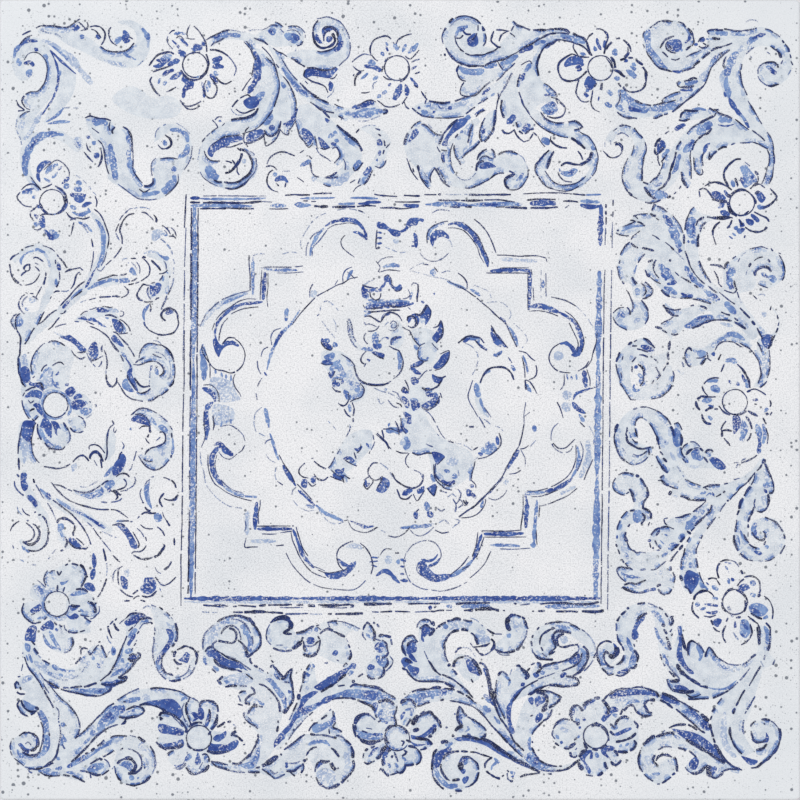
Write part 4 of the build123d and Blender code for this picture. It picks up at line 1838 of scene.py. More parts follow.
    "corner_scrolls_far_right": """
t 644,34 652,24 664,20 678,21 689,28 694,40 690,47 700,50 706,44 712,30 726,30 742,32 758,28 770,31 764,38
752,44 742,52 732,56 726,58 716,62 708,72 700,88 684,102 668,112 654,116 634,118 618,114 616,106 620,92
630,96 640,103 660,104 664,100 672,94 680,90 678,83 684,80 698,78 706,72 714,60 706,56 698,62 688,70
674,72 660,68 650,56 644,46
t 742,32 760,27 774,32 786,44 792,60 789,76 778,85 766,86 758,76 758,68 764,62 776,62 782,60 778,52 766,46
756,47 746,54 742,62 740,74 744,90 752,106 762,124 770,138 774,152 773,170 768,186 762,184 768,166 768,150
760,136 744,124 736,112 728,100 722,88 724,72 728,60 738,50
t 680,118 686,110 700,109 716,111 734,119 750,130 764,140 768,149 752,142 736,143 722,148 710,158 710,146
704,150 702,168 698,174 694,168 692,152 690,172 691,178 684,186 681,172 684,160 676,180 664,192 656,199
646,202 632,196 624,186 622,172 628,158 634,144 630,136 618,134 612,142 606,140 612,130 622,125 632,127
644,138 646,150 642,170 643,182 654,180 662,166 670,152 680,138 692,126 706,118 690,120
# volute
L2 650,28 654,25 658,22 661,21
L2.6 662,21 668,21 673,21.5
L2 678,22 682,23 686,27
L3.2 688,28 691,32 693,36
L2 693,36 694,42 692,46
L2.4 691,46 688,48 686,50
L1.5 643,38 643,34 645,31
L1.4 643,44 645,48
a 646,30 650,30 651,38 651,46 655,52 660,58 664,64 668,68 666,70 660,66 654,60 649,54 646,50 646,44 644,38
L2.2 646,51 648,55 652,60 655,64 660,68 666,70 672,72
W3 672,71 678,72 684,71
L2 682,71 689,69 695,67
L2.2 693,66 697,63 700,61
L2.4 702,59 706,55 710,52
L2.6 711,51 716,48 722,47
L1.6 722,46.5 727,45 732,43
L2.4 660,48 663,43 665,40 669,38 674,36
L2 668,41 666,45 667,49 671,52 676,53
A 668,41 674,39 680,40 682,45 681,50 676,52 670,50 667,46
L2.6 668,44 671,49
w2.6 684,27 688,31 690,37
W3.4 690,34 689,39 685,43
w4 677,51 683,50
L1.8 662,52 665,54 668,57
L2 671,59 676,60 680,58
L1.5 686,57 692,54 697,52 701,50
L2 698,42 701,38 704,37
A 702,37 705,39 704,42 700,42
W3 694,45 698,44
L1.8 699,46 702,48 706,47 709,45
w3 706,39 713,39
L1.6 703,43 706,45
# stem along the far edge
L2 707,31 710,30 714,29.5
L2.8 714,29.5 718,30 723,30
L1.6 707,31 709,34
w5 715,33 722,33 728,34
L3 712,38 716,39 720,39
L2.2 724,29 730,30 736,31 742,31
L2 742,31 748,30 753,29 757,28
w2.4 735,34 742,35 748,35
w6 747,44 752,40 758,38
W4 752,39 758,36 766,34
p7 738,51 744,47
w8 738,52 734,56 731,62 728,69 727,76
w6 727,76 726,84 728,92 729,98
W4.5 729,98 732,104 736,110 741,115
W2.4 724,92 726,97
p5 724,70 722,80 724,88
L2 726,56 724,61 723,67
L2.2 730,50 724,54 719,59 715,63 711,68
L2 711,68 709,73 707,79 704,85 700,89
L3 700,89 695,94 690,98 686,101
L2.2 686,101 681,105 676,109 672,112
w4.4 722,53 717,57 713,62 709,67
p4.4 709,67 705,73 700,78
W2.6 718,55 714,59
L1.6 723,52 719,55
L2.8 684,81 689,80 694,78 697,79
L1.6 680,81 677,83 678,86 681,88
w4 685,84 692,83 698,81
L2.6 681,87 686,87 690,87 694,86
W4 680,90 687,90 693,90
L1.6 680,92 674,93 668,96 663,99
L1.6 663,99 662,101 665,103 669,102 676,100
w3.4 671,97 676,94 681,93
w3 682,97 680,100
# band to the third flower
a 618,90 624,90 629,95 634,99 642,103 650,105 646,113 636,112 629,111 628,103 624,100 622,106 625,112
618,110 615,106 619,100
w7 648,109 658,109 668,107 676,103
L2.6 634,100 640,103 643,104
L2 645,104 651,105.5
L2 653,105 659,104 665,102
W3 628,108 636,110 642,111
L2.4 617,112 622,116 628,118 634,118 637,118.5
L2.4 653,118 656,118 660,116 663,115
L1.8 664,115 668,114
# corner scroll
f1.3 746,22 750,20 755,20 758,22
L1.6 765,29 770,30 773,32
l1.4 772,32 776,34 780,37
L2.4 782,40 784,43
L2.6 785,44 788,48 789,52
L1.5 790,54 791,58
L1.5 791,61 793,65
f1.3 791,70 788,75
L2.6 783,80 782,81
L2.2 779,84 775,85 771,86 766,85
l1.6 766,85 763,83 760,80 758,76
l1.6 758,74 758,70 760,66 764,63
L2.2 764,63 769,62 774,62 777,65
L1.8 778,64 778,68
w5 766,67 771,67
A 768,69 771,67 775,70 777,72 775,75 771,73
L3 776,49 779,53 781,58
L2 770,46 774,49 777,51
L1.4 783,60 781,64
l1.5 746,54 750,50 754,47
l1.3 767,52 770,54
l1.2 750,56 752,58
L1.3 742,64 741,70
L1.8 740,70 741,77 742,83 744,88
L1.6 744,88 747,95
L1.8 748,101 751,106 754,111 757,116
L1.4 757,116 760,121 762,124
# leaf towards the frame
L2.4 619,126 624,125
L1.6 624,125 628,126 631,127
L1.8 634,128 638,133 643,138
l1.5 617,135 621,133 625,134 629,137
L1.5 617,128 613,131
f1.2 610,140 611,145
L3 615,145 619,144 622,147 622,151
L1.5 614,143 617,142
L1.7 622,151 620,155 617,157 613,158 609,157 606,154 603,151
f1.2 605,142 605,147
L1.6 645,142 646,146 646,152 644,157 643,163 642,170
L2.6 642,168 642,175 642,181
L1.5 634,145 633,150 631,156
L1.5 628,158 625,164 623,170 622,176
L1.8 622,176 623,182 625,187 628,192
L2.8 628,192 632,196
L1.4 632,196 638,199
L2 645,202 650,203 656,202 661,200
L2.6 667,198 671,196
L1.6 674,194 676,192
L1.4 679,189 681,186
L2.6 643,182 648,184
L2.2 650,183 653,180 657,177 660,172
L1.4 660,172 662,167 663,162
L2.8 644,187 648,193 652,197 656,199
a 648,190 656,190 664,191 668,196 664,199 654,198 649,194
L2.6 658,190 663,187 666,183 669,178 670,172
p5 646,187 656,184
w3 655,187 662,183
L3 670,172 673,164 675,157 676,152
w5 672,174 676,168 678,160 680,154
L2 676,150 678,145 681,141
w7 683,152 690,146 694,140
w8 697,134 704,128 712,123
W3 688,148 692,142
W4 706,130 711,126
L1.8 687,134 690,130 693,127 700,123
L2.8 700,123 707,119 714,116
L2.6 698,139 703,135
L2.4 703,135 708,133 712,128
L2.4 698,139 694,144 692,150
L1.8 691,150 690,157 691,165 691,172 691,179
L1.8 694,157 694,163 695,170 698,174 701,175 703,172 702,169
L1.6 703,166 702,158 704,152
A 703,148 706,144 710,143 708,147 706,152 704,154
L2.4 709,160 712,156 717,151
L2 709,160 710,152
L2.2 718,150 723,147 727,147
l1.5 731,145 735,143
l1.6 740,143 746,143 752,142
L1.6 752,142 758,144 764,147 768,149
p4 745,140 754,141 762,144 766,147
L1.5 767,150 769,155 769,162 767,169
L1.6 767,169 765,176 762,184
L1.5 767,132 771,138 773,144 774,150
L2 773,150 774,157 774,164
L1.5 774,164 773,170 772,177 769,184
w4 768,176 767,184
L2.4 716,111 721,114 727,116 732,118
L1.8 735,119 740,123 745,127 749,130
L1.8 752,130 757,134 762,138 765,141
w7 718,120 724,119 732,120
W2 718,125 726,126 734,124
w4 736,112 742,116 746,122
W3 745,120 749,128
L2.6 684,110 690,111 698,111
L3 680,118 682,113 686,110
w3 686,114 692,113
w3 692,109 700,109 706,110
L2.6 709,108 714,110 719,109
L1.6 714,117 716,113
A 674,129 678,125 684,123 686,125 682,128 677,131
L2.6 679,120 684,121 690,119
w3 684,119 692,116
L3 661,138 657,142 655,147
A 657,146 660,140 664,141 666,147 662,152 658,154
L2.6 655,148 655,152 658,155
L1.6 658,155 658,161 660,166
L2.6 659,153 662,149 664,147
L1.6 665,134 669,131
w4.5 662,158 666,153 669,149
L2.4 661,162 664,158 667,154
L2.6 681,172 682,176 682,181
L3 682,178 685,184 688,188
""",
    "scrolls_right_upper": """
t 620,255 630,242 642,230 634,234 620,236 616,230 632,220 634,214 650,212 656,206 664,208 676,220 684,236
686,254 696,274 712,290 730,304 746,318 758,334 752,340 736,324 716,316 700,302 690,298 676,298 662,290
650,278 645,270 652,260 640,258 634,272 640,284 652,288 652,294 640,298 634,296 630,284 620,280 617,268
t 690,210 704,214 716,218 706,224 700,236 698,250 702,266 712,282 722,288 724,270 730,262 742,252 752,248
768,249 782,258 785,272 780,282 768,288 758,284 768,276 770,270 760,266 754,272 756,284 752,290 740,294
744,304 756,320 768,336 756,334 740,318 722,302 704,290 692,272 686,254
t 768,336 776,330 778,318 770,306 764,300 776,312 780,326 772,344 768,360 768,378 760,386 754,386 760,374
758,358 758,340
t 748,346 734,341 722,341 714,350 708,360 692,366 686,358 688,348 702,348 712,342 724,334 736,332 750,338
t 684,326 694,318 708,314 722,314 736,320 748,330 736,325 720,320 704,322 690,328
t 664,305 674,310 690,307 704,304 716,308 700,314 688,322 680,332 672,338 668,356 658,376 652,384 644,372
636,362 630,372 634,390 644,386 656,380 668,364 674,376 670,390 656,398 636,400 626,394 618,380 616,362
622,350 634,341 644,338 655,348 652,356 668,350 670,338 658,328 662,324 674,316
t 612,316 618,308 628,308 632,300 642,302 648,312 646,324 634,330 620,328
# fronds over the stem
L3.4 652,211 653,207 655,204
L2.4 657,206 662,208 667,212
L1.4 673,216 677,221 681,227 683,233
L2.6 684,234 684,244
w8 663,215 668,221 673,230 677,240 680,248
W4 666,215 669,222 672,228
W4 679,249 681,252
L2.4 633,216 637,215
L1.5 637,215 643,214 648,213.5
L2.8 650,214 654,216 656,216
L1.6 634,215 638,219
p4 641,217 652,217
L1.5 656,218 659,220
L2 630,220 635,221
L1.5 622,227 627,225 632,223 636,221
L2.8 637,222 641,223 645,226
w2.6 621,231 628,228 636,226 643,226
p3 626,232 636,230
L2.4 617,231 619,230
L1.8 616,233 620,235 626,236 629,236
L1.6 631,240 633,236 636,234
L1.4 636,234 640,231
L2 620,255 623,249 627,244 630,242
L1.4 620,260 619,264
L1.6 617,266 618,271 619,276 621,280
L2 622,281 624,284
L2.2 631,243 634,246 638,248
L2.8 642,248 648,249 654,251
L1.8 645,254 641,258 638,263
w2.4 637,265 635,270 634,274
L1.5 652,235 656,237 660,240
L1.4 665,242 670,246
L2 670,246 674,250
f1.3 674,250 680,256 686,262
L2.6 648,262 653,260
L2.6 653,268 654,263 656,260
L1.8 653,268 655,273 659,278
w8 659,264 664,270 669,276 674,281
W4.4 661,273 667,280
W4 667,284 673,283 676,281
L3 645,270 647,274 650,277
L1.4 650,277 655,281 661,284
L3 669,260 671,261
L1.4 675,272 679,276
L2 681,277 686,280 691,283
w5 664,287 670,290 677,294
W4 681,293 687,296 693,296
L2.2 661,290 665,294 670,297
f1.2 671,297 676,298
L1.8 680,298 692,298
# main stem
L2 685,251 688,259 690,266 694,273
L1.7 694,273 700,280 705,284
w5.4 685,266 690,274 696,282 704,288
W3 690,275 694,281
L2 694,285 698,288
w6 704,290 711,295 718,300
W3.4 713,294 720,300
L1.8 708,286 713,290 717,293
L1.6 719,292 724,296 729,300 735,304
L2.2 699,261 702,268 706,275 711,283
L2 692,299 699,300 705,302 711,304
L1.6 690,306 694,305
L2.4 700,306 704,307 707,309
w6 725,302 730,308 736,314
p6 738,318 744,324 748,328
L2.2 740,308 745,313 750,318
L3 752,321 755,325
L2 757,328 760,334 763,339
L2 721,312 726,314 730,315
L2.6 734,318 738,321
L2.6 734,322 740,325 746,329
# band beside the fourth flower
L1.8 694,207 691,210 689,214
w9 693,217 691,227 692,238
W3 688,222 687,232
W2 694,222 693,234
W4 688,240 689,243
w5 693,240 693,244
L1.8 689,214 686,222 685,230
L2.6 704,217 698,221 696,226
L2.6 706,222 702,226 700,232
L2.8 699,234 698,240 698,247
L2.4 707,217 714,218 720,219 730,218
L2.8 720,222 716,225 713,230 713,236
L1.6 713,236 715,242 716,245
# curl at left
L2.8 632,277 634,281 637,284
w6 637,288 638,295
L2 641,283 645,287 646,292 643,296
L2.6 645,282 650,286 653,290
L2.2 653,290 652,294 646,298 642,299
L1.6 626,290 629,294 631,299
L2 631,299 633,304 633,309
W1.8 633,308 632,312
L2.2 641,300 645,305 648,311
L1.6 648,311 648,318 645,324
L1.6 613,313 616,310 619,308 624,307
L1.8 627,307 630,311 630,315
L1.6 613,317 615,322 619,326 623,328 627,330
w5 617,316 622,314 624,318
p6 620,311 621,322
p7 636,318 638,322
# arch
a 684,326 690,322 697,317 704,315 712,315 714,319 706,321 700,324 694,328 686,328
W2.4 696,319 704,317 710,317
L3 692,328 698,326 704,323 710,321 716,320
L2.2 716,320 724,320 732,321
p4 720,323 728,325 733,326
# leaf and volute at right
L2.8 710,265 715,265 720,266 725,269
L2.6 725,268 726,264 729,262
w8 730,268 732,272 729,276
w6 729,276 730,284 732,289
W3.4 727,271 728,280
W3 731,284 733,289
L1.6 724,290 729,292 734,293 737,290
L2.4 734,280 735,286 737,290
L1.8 737,292 739,298
f1.3 739,298 742,304
L2 714,271 716,274 718,279 719,284
L1.5 719,284 722,287
L1.5 750,249 755,248 762,247 768,249
L2 771,248 773,251
L1.5 732,259 736,256
f1.2 741,256 746,252
L1.5 738,262 740,258
L1.4 778,253 781,254
L1.6 779,255 782,260 784,266 785,272
L1.4 785,272 784,277 782,281
L1.7 754,261 758,258 763,257
L2 768,259 770,262
L2.4 749,267 751,263
f1.2 747,270 746,275
L3.8 755,276 755,272 758,269 763,267 768,268 771,272
w4 761,273 766,276
W3 763,275 768,277
a 768,277 773,275 777,279 774,283 770,281
L1.7 758,284 762,286 768,288
L1.4 753,295 757,299
f1.3 758,295 763,294 765,296
L1.5 771,306 770,310
L1.8 777,315 778,319
L1.4 779,322 778,326
L2.4 778,328 776,333
L1.6 775,335 773,340
p4 762,312 766,316
# arch over the fifth flower
w6 724,337 731,334 738,336 745,340
w5 717,343 724,337
p5 711,347 718,342
L1.8 715,350 718,345 722,342 727,341
L1.6 727,341 733,342 739,345
L2.2 740,343 745,346 750,349
L1.6 750,349 754,354 758,360 760,366
L1.8 760,366 761,373 760,378 758,383
L1.2 736,344 742,347
L2.8 687,349 690,348 692,351
L1.8 687,349 685,354 685,359
L2.2 685,359 687,364 691,367
w4 693,350 697,352
a 697,352 700,350 706,352 706,356 701,358 698,356
L1.8 696,358 702,358 706,356
L2.8 701,365 704,361 706,358
L2.4 707,358 711,361
W4 711,354 715,354
L1.8 707,352 708,358
L2.2 718,360 721,354
A 762,336 768,334 772,336 771,343 768,349 763,345 761,340
L2.8 773,336 771,343 768,349
L2 757,342 760,347 762,352
w4 762,350 764,355
p7 765,356 765,368 764,378
L1.4 769,350 770,358 770,366
L1.6 770,366 769,372 767,378
w4 758,384 763,380
L1.8 767,381 764,385 760,388
# leaf and curl at left, lower
L3.4 663,305 666,309 670,313 674,316
L1.8 674,316 679,316
L1.8 665,307 670,309 675,310 681,309
L1.5 674,316 669,320 664,322 661,324
f1.8 663,326 667,323
L2.8 655,327 659,328 662,329
L1.8 662,330 667,333
L2.4 671,334 675,335 678,334
L2.8 670,341 669,346 669,350
L2.8 668,352 668,357 669,360
L3.4 668,362 667,365
L1.4 666,366 663,371
L2.2 656,367 658,371 660,375 657,380
W4 656,378 659,375
L2 654,380 652,384
L3 628,345 632,342
L2 634,342 637,340
L2.8 643,338 647,340 651,344 655,348
A 641,345 646,345 651,347 655,351 650,352 645,350 641,348
L2 632,346 637,346
L2.2 637,349 642,350 648,352
L2.4 616,362 618,357 620,352
L1.6 616,364 617,371 619,377 620,381
w2 620,378 621,386
L1.5 621,372 622,378
L1.5 622,360 623,356
L1.8 620,383 624,389 627,394 631,400
L1.3 631,400 636,400
L1.6 632,362 636,357
L1.8 639,355 643,355 648,357
L2.2 651,356 652,358
L1.6 654,359 657,361
L2.6 638,364 642,367 644,371 644,376
W3 634,368 638,366
w5 638,374 642,378 640,384
L1.6 644,376 643,382 640,386
w3 634,384 634,390 640,390
L1.6 632,372 632,366
L1.8 673,371 674,376 673,382
L1.8 672,385 670,389 666,393
L1.8 666,393 662,396 657,398
L1.4 657,398 651,399
l1.6 682,362 684,367
p2 677,369 682,374 684,372
""",
    "scrolls_right_lower": """
t 618,424 628,412 640,407 654,409 667,418 673,430 678,424 683,438 682,450 692,442 702,450 712,448 712,458
726,468 708,468 690,468 678,462 690,480 704,486 724,484 740,478 752,470 764,458 772,480 774,492 768,500
768,508 758,512 750,512 748,530 748,542 754,548 766,544 766,534 758,540 752,532 752,522 764,518 776,520
785,534 784,546 776,556 760,561 748,560 738,552 734,540 736,522 740,506 746,492 752,478 738,490 728,500
716,516 706,530 700,540 696,552 696,566 700,578 708,590 692,594 682,586 680,572 682,556 690,540 700,524
712,510 706,500 692,500 680,496 668,494 672,488 658,480 664,476 656,460 662,456 658,442 652,428 642,418
636,424 634,440 650,448 650,456 640,464 626,462 616,450 614,436
t 612,488 618,476 630,472 642,478 648,492 646,502 642,508 650,512 650,520 640,522 628,526 626,540 634,552
648,552 662,550 652,544 650,536 660,528 672,518 690,514 704,504 710,512 700,524 684,538 672,552 664,562
672,576 674,586 664,594 656,590 640,594 624,588 628,584 616,572 618,566 630,568 620,556 616,540 618,524
626,512 634,506 632,496 622,494 614,492
# great curl at left
l1.8 633,409 637,408
L1.8 640,407 646,407
L1.7 646,407 653,409 659,412 664,416 668,420 671,425
L3 671,426 673,431 674,436
L3.4 618,424 616,428 615,433
L1.8 615,433 614,439 615,444 617,449
L2.2 617,449 619,454 622,459
L2.6 621,458 625,461
L1.5 626,461 630,464 634,465
l1.6 634,465 640,463 645,460 648,457
L1.8 627,427 627,431 626,434 628,438
L2.8 626,437 628,442 632,445 637,448 642,449
L2.4 642,449 647,448 651,447
L2 648,447 649,452 649,455
l2 633,454 638,456 643,454
L2 643,454 647,451
L1.8 635,426 636,421 639,418 643,418
f1.5 643,418 647,421
L2 635,428 636,433 637,437
L2 632,439 635,442 638,442
w2.6 629,432 631,438
w2 636,428 637,438
L1.8 649,423 652,427 655,433 657,437
L3 657,436 658,441 659,445
L1.6 659,445 660,449
L1.8 660,451 663,455
L2.4 663,458 667,462
L2.2 656,456 658,461 661,466
L2.8 661,466 664,470 668,473
W2 663,464 667,470
p4 662,440 668,444
W2 664,442 666,442
f1.4 622,448 626,454
f1.3 632,456 640,458
L1.6 674,424 678,423 682,430
a 673,430 677,428 681,433 682,440 680,446 676,447 673,442
W4 674,430 674,438
L2.6 681,434 682,440 681,446
L2.6 681,447 682,453 685,458
L2 682,458 686,463
W2 686,458 688,463
p3 670,452 676,462
# leaf under the fifth flower
L1.5 682,450 684,446 688,443
l1.5 690,442 694,442 697,444 700,447
L3 686,455 689,451 692,449
l2 690,450 696,448 700,448
L3 700,448 703,451
a 691,453 694,450 699,450 700,455 704,457 701,461 697,460 693,459
W2.6 694,450 699,450
p3 690,466 696,467 700,464
L2.8 705,453 708,450 711,450
L2 711,449 713,452
L2 704,457 707,461 708,463
w3 707,456 711,455
A 709,459 713,457 719,459 724,464 726,468 721,470 716,468 712,464
W3 712,462 714,464
W3 718,465 722,468
# lower edge of the leaf
L1.8 741,463 747,461 753,458 757,455
l1.5 741,461 746,458
l1.6 734,463 738,463 736,468
L3 660,478 664,475
L1.6 658,481 662,480
L2.8 661,480 665,484 669,486
L1.8 669,486 674,488 678,489
f1.4 677,466 681,472 684,477
L1.6 685,479 691,482 696,484 701,486
L2.4 703,488 708,486 714,485 720,485
L1.8 724,484 728,483
l1.5 734,480 740,478
L1.6 705,488 708,490
L3.4 671,491 669,495
p2.4 672,495 680,498
L2.6 680,496 685,497 690,500
L2.4 690,500 697,500 706,500
L1.6 706,501 702,505 698,508 693,512
L2.4 675,518 681,517 686,515 691,514
l1.6 694,512 698,509
w3 700,494 706,492
W1.8 712,492 714,496
L2 716,497 721,494
L2.4 723,493 725,491
w1.6 706,496 710,493 712,497
# stem from the fifth flower
w5 756,424 759,432 760,442
W3 758,436 760,444 758,452
L2.2 763,418 766,424
L1.6 766,428 768,436 767,444
w5 763,424 765,434 763,444
w4 759,444 759,454
L3.4 765,459 763,464
L2 762,464 760,468 757,471
L2 755,472 751,478 748,482
L2 748,482 744,485 740,488 737,492
L1.8 737,492 733,496 730,500
L2.6 729,500 727,501
l1.4 726,503 722,508 720,512
L2 716,517 711,523 707,529
L1.8 703,535 701,539
L1.6 700,541 698,545
L2 698,545 696,550 696,554
L1.8 755,473 754,479 751,485
L2.8 751,486 747,491 744,496
L3.6 743,498 740,504 739,509
L2.6 739,510 737,515
L2 737,520 736,526 735,532
L2.8 734,535 734,541 736,546
L2.6 736,546 738,551
L2.6 740,553 744,557 748,560
L1.5 748,560 753,561
f1.4 758,561 763,561
L1.5 765,561 770,560 775,557
L2.4 785,545 783,549
L1.6 783,549 780,554
L2.6 765,464 768,470 771,477
L2.2 771,477 773,483 774,489
L2 774,489 772,493 769,493
w6 766,482 767,488
p5 766,474 768,482
L3 768,494 769,500 768,506
L2 768,506 765,510 761,512 757,511
l1.8 755,499 754,504 755,508
L2.8 754,507 752,512 750,516
L2.4 750,516 748,522
L2.2 748,524 748,528
L1.6 748,532 748,537
L2.4 744,534 746,539 749,543
L2 749,544 753,547 757,548
W3 764,489 767,493
p3 762,496 764,506
w1.6 738,536 740,546
w3 740,530 744,540
# curl at the right edge
L1.6 765,517 769,519
L2.4 769,519 775,522 780,527
L2.8 780,527 783,532
L2.4 784,534 785,539
w6 756,523 753,530 754,536
W3.4 756,530 755,536
L2.6 752,532 755,537 759,540
L2.4 759,540 763,540 765,538
L1.8 765,538 765,534 763,531
p4 760,519 768,521
w5 766,545 767,549
W3.4 754,551 758,553 762,554
w3 754,548 760,549
L1.8 766,541 764,545
L2.4 753,490 754,491
# lower left curl
L2 618,475 623,473 629,473
L1.8 629,473 634,475
L3.4 636,475 639,477
L3 640,478 643,482 646,487
L3.4 647,487 648,493 647,498
L2.2 647,498 644,502 643,508
L1.8 616,478 613,483 613,488 616,492
L1.7 616,492 620,494 625,495
L1.6 626,494 629,492
L3 629,489 632,493 633,497
L3 633,497 634,502
L2.4 630,511 635,510
a 634,511 640,510 642,515 641,520 637,523 633,520
L2.4 642,508 647,510 651,513
L3.2 651,513 651,519
L2.8 642,513 645,518 641,524
w3 648,515 649,519
L1.8 650,522 648,526
L1.7 627,511 624,514 621,518
L2 620,520 618,526 617,530
W2.6 617,535 617,539
w2.6 622,524 619,530
L1.8 630,524 628,527
L3 626,532 625,537 627,542
L1.8 627,542 629,547 633,551
L2.6 633,550 637,553 640,552
l1.4 640,552 646,553
L2.2 616,544 617,547
L2 618,549 620,554
w2.6 626,552 628,559
L2 622,559 624,563
L2 625,563 628,567
p4 622,546 626,558
# stem, its band
w7 701,511 704,513
W2.6 706,509 710,511
w7 696,516 690,524 686,530
W3 700,520 694,526
w6 684,534 680,540
W3 680,536 684,538
w5 676,543 668,549
w4 668,552 662,557
L2.6 712,505 710,511 706,515
L3.2 706,515 700,521 695,526
L2 695,527 691,531
L3 687,531 691,534
L3 685,537 680,542
L2.6 679,544 675,548 671,551
W2 672,546 678,544
L3.6 683,545 679,550
L2.2 678,551 674,556 670,562
L2 690,537 687,542
L1.8 651,570 656,569 661,565 666,561
l2.4 640,570 646,569
p4 655,574 662,572
L2.6 651,535 655,530 660,528
L2.2 660,528 665,527 669,527
L1.6 669,527 674,529
L2.4 660,530 656,536
W3.4 649,539 650,542
L1.6 650,543 651,548
L3 652,548 654,548
L2.6 655,540 657,545
L1.5 657,545 661,549
l1.5 656,550 660,550
L1.8 664,519 665,523 667,525
l1.6 664,519 668,518
w1.8 660,540 664,544
w2 664,534 668,536
# lobes at the bottom
L2 633,570 630,568 626,568 622,567
L1.8 622,567 618,568 617,571 619,576
L1.6 619,576 622,579 626,582
w3.4 621,572 626,576 632,577 640,578
W2 624,574 630,577
L2.6 624,585 630,583 636,584 641,582
L2.6 641,582 646,580
L3 622,587 627,590 633,592 638,593
w3 627,587 634,590
W4 642,592 650,590 656,589
L2.6 638,593 645,592
L2.8 657,587 659,585 661,585
L2.4 658,589 661,593 665,595
L1.8 665,594 669,593 672,589
L2 671,566 671,571
L2 673,573 675,578 674,583
# dark leaf by the sixth flower
w5 683,556 682,564 682,570
p5 690,550 690,560
w5 690,562 691,568
A 684,576 688,570 694,572 699,576 698,584 694,590 691,594 687,588 684,582
W6 690,578 692,586
L1.8 685,548 684,554 682,560 681,568
L3 680,575 682,581
L2.6 684,586 689,590 691,594
L2 696,558 697,563 698,568
L1.5 699,572 701,578 704,584
w4 700,582 704,588
""",
